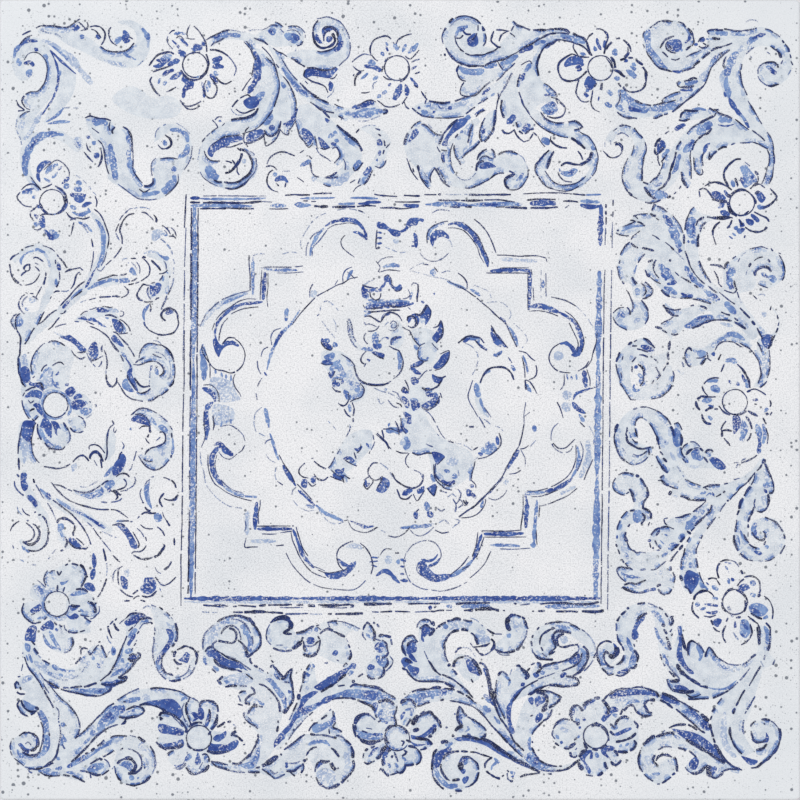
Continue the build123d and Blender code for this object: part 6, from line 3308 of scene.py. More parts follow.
a 524,757 532,752 536,760 542,764 548,768 540,770 532,766
l2.2 541,770 550,771 556,771
L2.8 556,771 563,770 569,768 574,764 577,761 580,760
L2 548,774 552,774
t 402,650 409,636 418,644 420,624 432,621 436,630 452,621 472,621 486,630 480,644 466,630 450,633 444,646
450,666 472,697 450,686 420,681 408,672
t 404,698 420,690 440,688 458,692 476,704 500,712 524,752 524,757 504,738 478,710 450,700 418,705
t 496,702 495,690 498,675 508,676 520,667 528,676 538,663 542,669 568,661 580,646 588,656 582,668 572,676
580,682 560,687 544,687 530,694 512,703 510,718 514,734
t 530,650 532,636 546,624 564,622 584,631 596,650 590,664 586,648 574,638 560,631 554,638 556,648 550,657
540,658
t 454,656 470,656 481,675 472,682 462,676
t 433,776 432,760 442,744 456,737 484,739 528,766 560,771 580,760 560,766 540,761 530,744 532,735 552,712
560,697 545,691 528,697 514,734 516,750 490,748 460,741 448,752 478,758 479,775 462,790 444,787
""",
    "flower_1": """
L1.8 169,34 172,31 175,30
l1.4 168,36 167,40 169,45 173,49
L1.5 188,38 187,34 188,29 190,25
L1.8 194,26 199,31 203,37 206,44 207,52
L1.4 186,38 190,39 195,39
W2.6 172,40 176,44 180,49
W3 179,38 184,42 188,46
L1.5 176,38 180,36 184,40
w3 174,34 180,33 186,34
W6 178,51 182,53 185,57
W6 194,44 198,48 202,46
W4 202,42 205,46
L1.6 189,54 194,53 200,52
W3 191,48 196,51
L2.4 149,66 153,60 158,55 164,53 170,52 174,54
L2 153,72 158,70 164,68 170,66
W4 153,66 158,66 164,63 171,59
w5 160,60 166,57 172,56
W3 156,60 162,61 168,60
W6 180,60 174,62 168,66
W5 182,72 176,76 170,79
W4 162,76 168,72 174,70
w5 163,82 166,84
L2 152,77 150,81 152,86 156,92 160,96
L1.8 166,92 171,90 176,87
w3 160,78 158,84
A 184,76 189,80 194,82 193,88 188,90 184,94 182,90 185,84 181,80
W4 184,92 183,98
L1.8 180,100 184,105 190,106 196,104 201,101
L1.8 182,104 188,109 194,109 200,106
W3 202,82 204,90 204,98
w3 208,80 210,88
L1.8 206,80 204,86 205,94 209,98 213,98 216,94 217,88 214,82 210,77
W5 210,74 214,79 216,84
w3 206,84 208,92
W5 212,60 218,59 222,57
W5 212,67 218,66 224,67
w4 212,63 220,62
L2.2 210,50 216,50 222,52 228,56
l1.4 228,56 233,62 236,69 234,76
L2.2 216,77 220,82 226,84 232,81
w5 214,71 217,76
L2.4 181,70 184,75 189,79 195,80 201,78 206,73
L2.6 206,54 208,60 208,68 205,74 200,78
""",
    "flower_2": """
L2 371,56 370,50 371,45 374,40 380,37 387,36 391,39 394,44
L1.4 372,55 375,59 378,61
W2.6 386,46 388,51
w5 381,52 384,56
w3.4 386,42 388,46
w6 394,44 398,50
L1.8 396,44 398,40 402,37 407,35 412,34
w3 402,52 404,48 406,44
w5 408,53 414,48 418,43
L1.6 419,50 415,55 410,59 405,56
l1.4 370,55 364,54 358,57 353,61 351,64
L1.4 353,66 356,69 360,71 364,70
W5 364,66 370,67 376,68 381,71
w6 368,62 376,64
L2.8 361,72 357,75 355,80 355,86
L1.4 354,74 353,76
w5 373,80 378,76
w3 361,79 365,76 368,73
L1.4 361,93 366,93 370,92
f1.3 373,89 373,84 377,81
W3 391,83 388,86
w4 382,94 387,91
w4 377,98 381,95
W7 401,84 398,92 394,100
W4 405,84 407,90 407,96
L1.7 407,97 404,101 402,104
L1.6 400,104 396,106 390,107 385,106 381,103 377,100
W2.8 410,77 414,82 418,87
L2 414,85 418,88
l1.4 411,62 416,60 420,59
W3 411,69 417,66
L2 415,74 420,72
l1.5 384,62 388,58 393,57
L1.8 383,66 382,72
L1.5 383,76 387,79 392,80
L2.2 408,66 409,70 408,74 404,79 400,82
""",
    "flower_3": """
L2.2 572,54 566,57 560,62 558,68 559,74
L2.4 559,74 562,79 567,81 572,81 578,79 583,75 587,71
L2 572,54 578,56 584,57 589,57
A 564,64 568,58 575,56 583,59 583,63 576,65 570,66 565,67
W3 575,68 580,66 584,64
W3 577,71 582,68
L1.5 574,43 573,47 575,51 578,55
L1.8 574,43 580,45 586,49 590,55
w3 580,53 586,55
L1.8 587,40 589,36 593,33
L1.8 596,29 600,29 605,31
L3 604,31 607,34 608,38
L2 608,38 606,44 605,50 604,54
W4 597,38 598,44 601,50
w3 594,46 596,51
W3 605,40 604,48
L2.8 612,42 608,46 606,50
L1.8 579,80 577,86 576,92 578,97 581,101 585,102 589,101
A 588,76 593,79 596,82 591,90 586,88 584,84
W5 584,93 588,97
w3 590,84 587,92
L1.6 593,90 592,96 591,103 594,109 600,112
L2 597,83 594,87
L2.6 602,83 601,90
W2 599,96 598,101
w5 607,90 612,95
w6 605,103 612,107
w4 612,52 617,50
L3.4 611,57 614,62 615,68
L1.4 606,58 610,63 612,68
L2.2 623,40 627,43 630,47 631,52
L2.8 629,52 627,56 624,59 620,60
L1.6 628,47 628,52 624,57
L2 628,58 633,58
L2.8 636,60 640,63 643,65
L3 643,67 646,72 646,77 646,82
L2.6 646,82 644,87 641,90 635,92 629,92
L2.4 629,92 625,90 623,87
L2.2 616,39 620,38
w5 612,54 617,52
w4 632,63 636,66
w5 626,70 632,74 636,78
w3 630,66 636,70
W3 624,62 628,60
L3 614,70 619,72 622,75 625,77
w4 614,78 620,79
L1.8 618,83 621,87
L1.5 620,90 620,96 619,102 616,107
""",
    "flower_4": """
L2.8 741,159 736,159.5 731,163 727,167 724,172
L2.4 724,172 724,177 726,182 729,187
l1.5 745,162 750,166
L2.4 753,168 754,169
L3 755,171 758,175
L2 758,176 758,181 754,185 750,189
a 740,167 746,165 750,170 755,176 757,181 751,185 745,188 742,184 743,176 741,171
W4 751,175 755,180
L2.4 735,178 738,186
w4 732,180 734,187
W3 741,177 743,185
L2 705,186 710,183 716,182
L2.8 716,182 722,184 728,187
L2 728,187 732,190
L2 699,190 703,188.5 707,190
L1.8 699,191 700,197
L2 707,190 710,194 712,198
A 711,193 716,191 722,194 726,198 722,201 716,200 712,198
W3 724,190 728,196
L3.4 712,199 720,201 727,201.5
L4 727,196 731,196
L4 728,202 729,208 732,213 737,216
L2.2 738,216 744,215 749,211
L1.8 731,194 735,191 741,189 747,191 752,195 755,199
L2.4 755,199 756,204
L1.8 754,186 758.5,184 763,186
L2.4 761,185 765,188
L2.2 770,188.5 775,194 777,197
L2.4 777,197 773,202 768,206 763,208
A 756,193 760,191 764,195 766,198 762,203 758,200
L3 755,194 759,191
w5 757,206 762,208
W3 760,208 766,207
W5 719,204 724,206
w3 718,208 722,206
A 720,211 725,210 730,214 728,217 722,215
L2.6 713,217 720,217 728,217 733,218
L2.4 754,212 761,215.5 767,218.5 769,222
W4 751,214 756,219 759,222
W5 746,219 750,222 754,223
L3 739,219 742,225
W6 741,222 743,227
L2 732,220 730,225 727,228.5
w5 737,226 735,230
L2.4 745,227 751,231 759,232 764.6,230
L2.6 764.6,230 767,227
w6 737,229 742,233
W4 741,228 744,231
W2 729,236 733,239
L2.4 745,235 744,238
w2 732,233 736,236
""",
    "flower_5": """
w6 725,361 731,360 737,363
L2.6 737,364 742,369 746,375 749,381 750,388
W2.4 742,374 745,382
w4 746,379 748,388
L2.6 747,392 751,390
L1.6 721,372 723,367 724,364
W3 729,380 731,384
W4 737,382 739,386
L2 719,406 724,412 730,415
L2.4 735,415 741,414 746,411
L2 704,384 708,380 714,378 719,378
w4 706,381 718,381
L2 702,386 704,391 708,396
a 711,386 716,385 720,389 719,393 714,392 711,390
W2 713,390 718,391
L2.2 697,399 701,397
L2.4 700,396 708,397 716,397
w7 702,401 712,400
L2.8 696,401 697,406 700,410
W2 708,405 714,407
L2.8 705,411 710,408 713,408
L2 714,409 718,409
L2.8 702,414 703,419 706,423 711,424
w4 708,416 712,420
A 733,416 739,416 741,424 738,430 734,434 733,426
L2.2 726,421 723,425 721,430
L2.6 721,431 727,430 732,431
L2.6 722,431 722,437
L2 724,438 728,443 730,446
w7 743,420 744,428 743,436 741,441
L2.8 746,416 750,422 752,429
L1.8 751,433 750,437 747,441
L1.7 750,390 755,389 760,391 766,395
W2.4 752,400 758,400
L1.6 754,404 757,404
L1.6 770,400 771,404 770,407
L3 766,415 768,413
L1.8 770,415 772,412
w4 764,412 768,408
L2.6 748,411 753,414 758,416
W2.6 751,412 758,416
""",
    "flower_6": """
L2.6 719,578 717,571 718,566 720,563
L1.8 720,562 725,560 730,560
l1.6 730,560 735,562 739,567
L3 741,570 743,574
L2.4 708,579 712,578 717,579
L2 717,580 720,585
w3.6 728,578 729,584
w1.8 725,566 728,570
W3.4 731,578 734,581
W2.6 728,572 729,572
w4 712,586 718,590
W2 706,582 709,585
w3 704,586 708,590
w1.6 724,562 732,564
L2.6 744,577 750,576 755,577
L2.2 755,577 759,581 760,586
L1.8 760,586 760,591 758,595
L2 737,586 740,582 744,579
A 738,588 742,584 747,584 750,588 745,591 741,592
w5 750,582 756,584
w5 750,594 756,596
L3 758,597 760,594
L3 694,600 695,596 698,593
L3.4 698,593 703,591 708,591
L2 708,591 712,594 714,597
L2.2 693,602 692,608 694,613 699,618
w5 695,604 700,605
W2.4 704,604 711,605 718,606
W3 706,612 712,613 718,611
w3 712,598 718,599
w3 700,610 706,608
L2 704,616 710,617 716,615
L2.2 722,600 725,595 729,590 733,588
L2.4 736,590 742,593 746,598
L2.2 746,598 748,603
L2 722,602 723,608 726,612
l1.8 729,612 733,617
L2.2 736,618 741,617
f3 728,606 730,611
L2.4 745,600 746,606 744,612
a 749,606 756,603 764,605 768,610 763,616 756,616 750,612
W5 751,610 760,612
L1.6 764,596 768,599 771,603
L1.8 771,603 773,609 773,614
L1.5 773,614 772,619
w4 763,619 768,616
L2.4 751,613 757,617 762,619
L2.4 748,616 753,620 758,624
L2 758,624 760,630 760,636 760,644
L2.4 766,623 770,628 770,636
l2 770,636 770,644
p5 766,630 767,642
A 713,621 718,618 722,620 718,627 714,625
L2.6 711,620 713,625
L2 713,627 717,631 720,632
L2.2 728,618 726,622
W2.6 735,621 735,628
L2 726,625 723,632 723,638
L1.7 723,638 726,643
a 741,620 747,620 750,628 750,634 745,638 740,634 740,628
W3 742,622 748,630
W3 740,634 745,636
L2.4 750,624 752,632 750,638
L2 750,638 746,642 741,645
f2.4 733,632 738,640
""",
    "flower_7": """
t 572,722 570,710 577,704 600,697 612,706 620,716 634,720 638,730 636,748 618,753 621,762 612,764 608,768
596,776 582,770 576,756 560,747 552,732 562,720
L3.4 572,721 571,715 571,710 574,706 578,705
L3.2 578,705 581,708 583,711
W3 574,709 573,715
w4 576,718 579,723
W3 583,717 585,721
L4 583,706 587,702 592,699
A 583,707 587,701 592,699 596,700 592,703 587,706 585,710
L3.8 594,698 600,698
L3.6 602,700 606,704 609,709 608,714
A 610,707 616,707 619,711 613,713 608,718 604,722 601,719 605,713 607,709
w4 612,714 617,716
L2.8 623,709 620,715
L4 615,725 617,721 620,718
L4 620,718 625,716.5 629,718
L3.2 634,721 638,726 637,728
L3.4 636,733 632,737 627,739.5
L2.8 627,739.5 622,741 616,742
A 613,734 618,732 624,729 630,727 632,729 627,732 620,735 615,736
w4 611,728 618,727
L3.4 610,724 615,728
L3 610,731 614,735
L2.8 634,740 636,744 634,748 630,751
L3.6 618,751.5 623,752 628,752
w3 619,747 622,745
w3 625,746 629,743
L3.6 614,750 617,753 618,756
L3.6 611,761 613,764 616,765 619,763 621,760
A 601,749 606,746 612,746 615,748 612,751 606,752 609,757 611,760 606,757 602,754
L3 600,749 604,746 607,745
L4.6 591,726 596,724 600,726
L2.6 601,726 605,730 608,735 609,741
L3 584,742 585,746 587,749
L3.6 592,749 598,750
L1.8 592,744 592.6,744.8
L1.8 595,745 595.6,745.8
A 580,758 583,753 588,750 592,751 588,755 585,760 588,765 591,771 589,774 586,769 584,763
L4.4 579,757 583,752 587,750
L4.4 578,762 580,766 583,770
W4 592,752 591,759
w4 596,752 598,758
L2 586,775 593,776
L3 597,775.5 600,774.5 603,772
L3 605,762 606,767 608,769
L2.8 553,729 556,724 560,720.5 565,719 570,720
l1.6 553,730 552,735 555,739
L3 555,743 559,746
L3.6 564,748 569,749
W4 560,742 563,743
w4 556,735 559,739
L4 573,721 577,723 579,725
L3 574,740 577,738
L2 571,724 572,725
L4.6 569,748 573,745 576,743
L3 570,752 571,756 575,757 577,755
W3 575,750 577,748
W3 579,729 580,726
w3 577,738 580,736
p6 560,728 568,732
""",
    "flower_8": """
t 371,705 378,702 392,701 398,708 396,722 408,732 414,742 406,756 406,768 390,776 381,769 384,756 372,764
362,758 366,750 372,744 357,737 354,724 362,714 374,716
L3.8 378,702 384,700.5 390,701 394,705
L2.6 397,706 396,711 394,716
L3 394,716 396,722 396,725
L2.2 375,714 377,718
L2 378,722 381,720
w3 378,716 381,712 383,709
w4 391,717 393,720
W4 384,722 388,723
w3 379,717 384,722
q 380,705 392,705 393,720 382,720
L4.4 355,724 357,719 361,715 366,713.5
L3.4 366,713.5 370,715
l1.8 370,715 375,720
L2.4 353,724 354,730 356,737
L3 355,725 355.5,730
L2.6 357,735 360,739
L4.6 360,739 363,741 369,743 376,742
L3 376,742 381,740
L2.4 381,740 384,738
a 357,731 366,732 374,734 382,733 383,737 376,740 366,739 360,737
L2 362,731 368,733
W4 373,734 379,735
l1.6 366,728 372,729
L1.4 383,728 384,729
L3.2 385,735 386,740 389,744
L2.4 385,731 388,727 393,725.5 397,726
L2.4 399,726 404,729 407,734
L2.6 365,751 368,748.5
L2 364,753 363,758
L2.4 364,762 367,764 372,762
L2.2 372,762 375,761
L3 371,748 375,746
W3 370,755 374,750 378,747
w3 368,757 373,753
L4.4 376,759 380,756 383,750 386,746
l1.8 380,749 386,747
A 383,765 382,758 384,752 387,747 391,748 388,753 385,758 386,764
W5 385,758 387,750
L2.6 382,759 383,766
L3.6 382,769 385,773 389,776
L3.2 388,752 391,749
L3 391,756 393,757
l2.2 394,752 396,757 398,762
L2.2 390,775 394,774 398,773
L3 396,771 400,773 404,770 406,765
L2 379,771 381,768
L2.2 402,756 406,753 404,750
w3 388,762 390,768
w3 395,763 398,768
L2 401,741 404,742 402,746
L4 401,704 403,701 406,700.5
L3 406,699.5 411,700 414,703 416,707
w3 402,706 405,703 408,704
W3 401,720 403,714 405,712
w3 403,725 406,720
L3 406,726 409,722 411,719
w3 405,710 412,709 411,716
t 400,704 408,699 416,706 412,720 406,727 400,722
t 411,726 418,715 430,711 440,722 440,730 430,738 432,746 422,750 421,760 412,765 404,763 403,746 408,742
L2.4 420,714 425,711.5
L5 412,725 415,720 418,715.5
L4 418,717 424,714 430,712 433,715
L3.4 433,715 437,719 440,723 441,728
L4 413,731 419,729
A 411,735 418,736 424,733 430,728 434,724 437,726 433,731 427,736 420,739 412,739
L3.4 436,728 434,731 432,734
L3.2 428,737 432,735.5
L4 415,738 422,739 427,739.5
L3 427,739 430,742 432,745
L2 445.5,728 447.5,727
L2.6 406,740 411,742
A 410,741 414,743 420,744 426,744 420,746 414,746
W4 427,742 429,745
L2.8 420,750 424,749 427,747.5
L3.2 408,746 413,747 417,749
L3 417,749 420,753 421.5,758
L2.6 421,757 420,762 416,765
L3 404,765 409,765 414,764
L2.4 404,750 407,752 405,754
w3 402,757 406,761
""",
    "flower_9": """
t 188,700 198,701 213,701 219,716 213,730 235,733 236,745 214,752 209,764 198,773 187,768 180,769 168,760
172,750 157,744 160,733 158,724 160,714 176,717 188,727
L2.8 187,702 186,708 187.5,715
L2.4 187.5,715 190,722 191,725
L2 190,697 188,702
l1.6 184,703 182,709 183,716 186,722 189,727
L2 193,699 194,700
A 191,713 194,712 198,714 199,718 195,721 192,722 194,718
A 199,707 202,708 204,712 204,718 202,720 199,719 198,712
W5 201,711 202,718
W4 194,718 197,719
L2.8 200,707 200,704 203,701 208,700.5
L3 208,700.5 213,702 217,706 218,712
L4 217,714 217,719 215,725 211,730
A 209,711 210,715 210,720 208,726 205,727 206,720
L2.4 209,709 210,716 209,722
p5 213,708 213,722
L3 189,727 193,724 198,722.5 202,723
L2.6 211,731 208,735
l1.6 203,724 207,728
L3.2 159,716 161,713 165,713 170,714
L3.6 159.5,717 162,720
w4 164,715 170,716
A 159,724 163,724 170,726 178,728 184,731 183,735 176,735 168,734 161,733 158,729
W4 160,731 166,728 172,729
W3 166,733 172,732
L3.2 156,742 159,745 163,748 167,749.5
A 163,744 170,743 177,741 182,739 184,742 183,747 176,749 168,749
L3.8 166,748 172,748 178,747 183,744
W4 170,745 180,743
L3.6 187,729 186,733
L1.6 186.5,736 186.5,738
L2 187,743 188,746 191,749
L2.4 193,749.5 199,750.5 203,750
L2 168,756 169,753 172,751 174,750.5
L2 168,758 168.6,759
l2.6 175,768 179,769 183,767 186,763
A 174,765 179,765 183,763 185,759 184,763 180,767 176,767
a 185,760 187,755 190,753 192,757 189,760 186,762
W3 185,761 188,756
l1.6 187,752 188,755
A 195,761 197,754 198,752 200,757 201,762 198,765 195,764
W3 197,758 200,762
L3.2 186,767 189,771 193,774 198,773.5
L3.6 198,773.5 203,771 206,769 209,765
L2.2 202,755 206,754 209,758 209,762
l1.8 208,766 205,769 200,769
l1.4 199,769 203,762
w4 204,756 207,759
L2.6 217,727 221,725 225,722
L2.8 227,722 231,721.5
f1.4 233,724 236,727
A 213,739 216,735 221,734 226,731 226,736 222,740 218,742
L3.2 231,736 233,733 236,731
L2.6 233,735 238,737 241,740 243,741
A 210,743 214,744 220,744 226,745 231,742 237,740 239,742 236,748 230,751 220,753 212,754 208,751
W4 213,748 222,750 232,746
L3.4 207,751 213,753 222,752.5 230,751
L1.6 243,745 245,744
""",
    "flower_10": """
t 44,572 54,570 66,564 80,566 86,576 82,587 72,590 64,594 50,592 46,584
t 34,584 44,588 48,596 36,600 30,594
t 24,604 40,602 46,612 42,621 30,619 24,612
t 44,622 62,626 74,636 72,650 58,652 44,640
t 70,592 88,592 96,602 98,614 88,620 90,632 74,632 66,620
A 92,557 93.5,553 95.5,556 96.5,561 96,566 94,568.5 92.5,565
A 90,576 91.5,570 94.5,568.5 95.5,572 94.5,577 92,580
A 84,585 87,582.5 91,583 93.5,584.5 95.5,590 93,591.5 88,590 85,588
L2 103,548.5 104.5,554 105.5,558.5 106,561
f1.4 106.5,563 107,570 106.5,576
L2 106.5,578.5 105,584 103,588.5 101.5,591.5
L1.7 101,592 99,595.5 97.5,597
L2 65,565.3 68,563.8
L2.4 71.5,564 75,564.2 78.5,565.3
L3.2 80,564.5 83.5,567.5 85.5,571.5 86,576
L2.2 86,576 84.5,580.5 82.5,584.5 81,587
L2.4 85,577.5 88,576
L1.8 48,570.5 46,573 44.5,577 44.3,581 46,585.5
w2 45.5,578 47,584 49,586.5
L1.6 49,573 52,570.7 55,570.5
L1.8 57,571 59,575 61.5,571
q 51,574 55,573 56,578 53,580
a 60,582 64,581.5 68.5,580 65,584 61,585
L2.4 57.5,585 57,592
L2 64.5,587 63,592
w2.2 50.5,590 53,593
l1.6 38,580.5 42,584 46,587.5
q 34,586 40,585 45,589 46,594 44,598 39,597 35,592
a 37,587 41,586.5 44,592 42,595 39,592
L3 76,589.5 80,589 84,589.3 88,592
a 70,595 74,592 79,590.5 84,591 87,593.5 82,595 76,596 71,596
L2 93,597.5 94,600
L2.2 90.5,601.5 94,604
L2.4 24,603 22,610 24,616 28,620 33,623 36,623 41,622
A 30,611 34,607 40,604 42,608 38,612 32,613
L2 31,615 35,613
a 37,619 40,616 44,616 42,619
L2 44,620 47,617
A 40,628 44,624 50,620 54,624 53,630 48,629 43,631
a 49,630 53,634 56,640 60,646 61,651 57,648 53,642 50,637
a 43,634 47,640 51,645 57,648 56,650 50,648 45,643
L2.4 54,622 57,625
L1.8 59,625 62,627
W4 55,628 58,631
f1.6 60,625 61,630 63,635
L2.4 68,631 70,633
L2.6 72,637 73.5,643 72,647
l1.8 72,647 70,650 67,652 64,652.5
l1.4 64,625 65,629 67,631
L2.2 68,631 72,632.5 78,632.5
L1.6 80,632 85,630.5
L2 88.5,628 89.5,629
L2 69,606 67,612 65,615
A 70,605 74,606 79,607 76,610 72,611 70,609
L3 71,605 75,606.5 80,606
A 66,614 70,616 75,613 79,616 76,619 70,619
L1.6 78,611 81,611
w3 80,609 84,612
L2 88,601 92,604 97,603
L3.2 93,604 95,608 95,613
l1.6 99,606 99,612 96,615 93,618 90,619
L2.2 80,615 84,616 89,616.5
L2.6 84,617 88,620 91,622
""",
    "flower_11": """
t 31,362 36,350 46,343 58,342 68,347 74,356 70,372 68,384 60,391 48,391 42,384 34,376
t 22,384 32,386 42,392 42,404 46,414 38,420 28,416 23,404
t 38,422 48,418 60,424 70,432 70,442 60,449 50,447 40,438
t 68,390 84,394 92,404 90,416 76,414 70,404
t 72,418 80,417 85,424 82,431 74,430 70,424
t 18,354 30,362 31,378 22,382 18,368
t 21,422 34,422 32,440 28,460 20,462 18,444
L1.8 48.5,342.5 52,341.2 56,341.3 60,342.5 65,345.8
L1.6 45,343 41,346 37,350 34,354.5 32,359.5 31,365 31.5,370 32.5,373.5
w3 31.5,370 32.5,375
L2 34.5,376 32.5,378
L1.8 41.5,371.5 43,368 45,366 47.2,364.8
L2 52.5,365.5 55.5,363.5 59,362.3 61.5,362.5 64,364.5
w2.4 49.5,367 45,370.5 42,375 40,379
q 44,370 50,367 53,372 52,380 53,386 48,386 44,380 42,375
A 55,375 57,373 58.5,371 59,374 56,375.5
a 55.5,382 58.5,382.5 58,386 55.5,385
w2 53,371 52,378 56,386.5 60,388.5
A 65,384 68.5,383 68,386 65,385.5
L1.8 69.5,378.5 71,378
A 65,391 68,388 72,386.5 76,391 74,394 71,397 68,396 65.5,393.5
A 73,398 76,394.5 80,393.5 83,397 78,398.5 74,399.5
A 71.5,403 74,400.5 79,399.5 84,401 86,404.5 83,407 80,409 75,410 72,408
w2.4 84,401 88,404
a 80,409 86,407.5 91,408.5 92,411 89,414.5 85,415.5 81,413.5
L1.8 89.5,401.5 91,402.5
l1.6 95.5,404 96.5,407
f1.3 92,414 89,416.5 85.5,418
w3.4 56,391 61,393 65,396 68.5,399.5 70.5,404 70.5,410 68,416
L1.8 50.3,413.6 51,413.8
A 21,368 25,366 29,369 30,375 30,381 26,383 22,380 20.5,374
q 22,355 26,354 27,360 28,366 24,366 22,361
L2.4 18,358 18.2,364 18.4,370 19.5,374 21,379 22.5,383.5 25.5,387
A 29,381 33,383 38,382.5 42,383.5 43.5,389 44,393 42,391 38,388 33,386 29,385
L2.4 36.5,383.5 40.5,383 42,386.5 43.5,390
L2.4 25,391 28.5,389.5 32,387.8 35.5,387.5
A 25,395.5 29,392 33,390 37,390 40,391 42,392 42,396 40.5,399 36,397.5 30,397 25,398
L1.8 24.5,392.5 22.8,396
L1.6 22,400 22.8,406 24.5,411 27,415.5 29.5,418.5
l1.6 28,400 30.5,403 34,400.5
A 33,405 36,403 40,404 42,409 44,414 47,417.5 44,418 40,414 37,411 36,408
L2 29.5,411.5 32,409.5 34.5,408.8
L1.8 32,419 34,420.5 36.5,418 38.5,416
A 22.5,423 25,420.5 29,420.5 35,421 34,427 32.5,433 31.5,439 28,441.5 24,439 21,434 21,429
L2 21.8,428 20.5,434 19.5,440 18.5,446 18,454
q 22.5,441 26,442 27,449 27,457 24,464 22.5,457 22,449
L1.7 36,422.5 34,426 33,431 31.8,437 31.2,440 31.8,446 32.6,452 34.5,457 37,461 39.5,463
L2.4 37.5,424 37.5,430 39,435 41.5,440
A 42,420 45,417.5 48,419 50,422 52,425 52,431 51.5,438 48,436 45,431 42.5,428 40,427
a 40,428 43,431 46,437 50,442 54,446 50,446.5 45,442 41,436
A 51,421 56,421.5 58,423.5 61,429.5 58.5,428 57,431 57.5,436 55,433 53.5,427
L2 44.5,443 49,447.5 54,449 59,449.5 62.5,449 65,446.5
l1.5 67,443.5 69.5,440.5 70,435 68.5,430
L2.4 63.5,422.5 65.5,426 68.5,430
w3 55,446 61,447
q 68,420 71,418 73,423 72,426 69,424
L1.8 70,427.5 73,431 76,432.5
l1.6 76,432.5 80,432.5 83.5,431
l1.5 85,428 85.5,424 83.5,420
L1.6 78,416 81,417.5 83.5,419.5
""",
    "flower_12": """
W5 40,182 38,176 40,168 45,163 51,162
L1.4 44,170 50,164 57,160 64,164 69,171 69,177
L1.8 42,188 46,187 52,184
w4 46,174 50,168 58,164
w3 44,178 50,182
f1.3 50,172 54,168
w3 52,178 58,172
W3 62,166 58,170
W4 62,184 66,180 69,177
w5 64,188 69,184
W3.4 56,187 61,190 65,195
L2 55,186 62,190 66,196 67,203
W5 70,194 78,196 84,194
W5 74,199 80,200 86,194
w8 74,188 82,190
w6 76,182 82,184
f1.3 76,175 84,181 90,188 96,195
L1.5 95,196 97,202 96,207
W4 82,207 87,204 92,203
w5 70,206 76,209
w4 72,212 80,215 88,212
w3 88,208 90,213
L1.8 66,212 70,217 76,220
L1.6 70,220 76,218 84,219 90,217
L1.6 74,222 72,230 71,235
w3 78,222 86,226 92,232
L1.6 21,190 27,185 33,184 39,188
L1.7 20,192 17,197 20,202 25,206 32,207
w5 22,194 27,191 32,193
w4 32,198 36,196
W3 22,192 28,190 34,188
W4.5 36,205 40,208
L1.8 30,212 33,210 38,205
W3 34,214 38,218
L1.8 30,213 31,217 34,221
w5 34,222 38,226
W6 43,216 42,222 44,228
W5 44,230 50,236 54,240
w7 50,230 58,238
L2.2 40,216 44,214 48,214
L1.6 34,229 38,230 42,228
L2.2 64,196 65,204 62,210 56,214
L2 40,203 44,210 48,213
L1.5 58,214 62,212 64,210
W4.5 65,196 66,204 62,211
""",
}


class Tone(Enum):
    """How much cobalt an ink or a wash holds."""

    DARK = "dark"
    SOFT = "soft"
    FAINT = "faint"
    DEEP = "deep"
    MID = "mid"
    PALE = "pale"
    TINT = "tint"


class Brush(Enum):
    """A way of laying colour, and what it leaves on the face.

    Each has its letter in the cartoon, the tone it holds, the height of its rim over the
    glaze in millimetres, how steeply it crowns, and whether it fills an outline.
    """

    TINT_AREA = ("t", Tone.TINT, 0.015, 0.0, True)
    TINT_BAND = ("b", Tone.TINT, 0.02, 0.002, False)
    PALE_AREA = ("q", Tone.PALE, 0.035, 0.0, True)
    PALE_WASH = ("p", Tone.PALE, 0.04, 0.01, False)
    AREA = ("a", Tone.MID, 0.05, 0.0, True)
    WASH = ("w", Tone.MID, 0.055, 0.01, False)
    DEEP_AREA = ("A", Tone.DEEP, 0.07, 0.0, True)
    DEEP_WASH = ("W", Tone.DEEP, 0.075, 0.01, False)
    FAINT_LINE = ("f", Tone.FAINT, 0.12, 0.03, False)
    LINE = ("l", Tone.SOFT, 0.125, 0.03, False)
    DARK_LINE = ("L", Tone.DARK, 0.13, 0.03, False)

    def __init__(self, letter: str, tone: Tone, rim: float, crown: float, fills: bool) -> None:
        """Names what the brush holds and leaves."""
        self.letter = letter
        self.tone = tone
        self.rim = rim
        self.crown = crown
        self.fills = fills

    @property
    def draws_line(self) -> bool:
        """Whether the brush draws a line, and doesn't lay a wash."""
        return self.tone in (Tone.FAINT, Tone.SOFT, Tone.DARK)


BRUSH_OF = {brush.letter: brush for brush in Brush}


@dataclass(frozen=True)
class Stroke:
    """One stroke of the cartoon, in squares. A sharp point breaks the smooth path."""

    brush: Brush
    width: float
    points: tuple[Point, ...]
    sharp: tuple[int, ...] = ()


def read_strokes(cartoon: str) -> list[Stroke]:
    """Reads strokes, each written as letter, width and points.

    Args:
        cartoon: lines such as "l1.5 36,27 50,26 80,19". A point that ends in "!" is a
            sharp corner, a line that starts with a point goes on with the stroke above
            it, and what follows a "#" is a remark.

    Returns:
        The strokes, in the order in which they are written.
    """
    rows: list[list[str]] = []
    for line in cartoon.splitlines():
        words = line.split("#")[0].split()
        if words and "," in words[0]:
            rows[-1].extend(words)
        elif words:
            rows.append(words)
    strokes = []
    for letter_and_width, *written in rows:
        places = [word.rstrip("!").split(",") for word in written]
        points = tuple((float(x), float(y)) for x, y in places)
        sharp = tuple(k for k, word in enumerate(written) if word.endswith("!"))
        width = float(letter_and_width[1:] or 1.0)
        strokes.append(Stroke(BRUSH_OF[letter_and_width[0]], width, points, sharp))
    return strokes


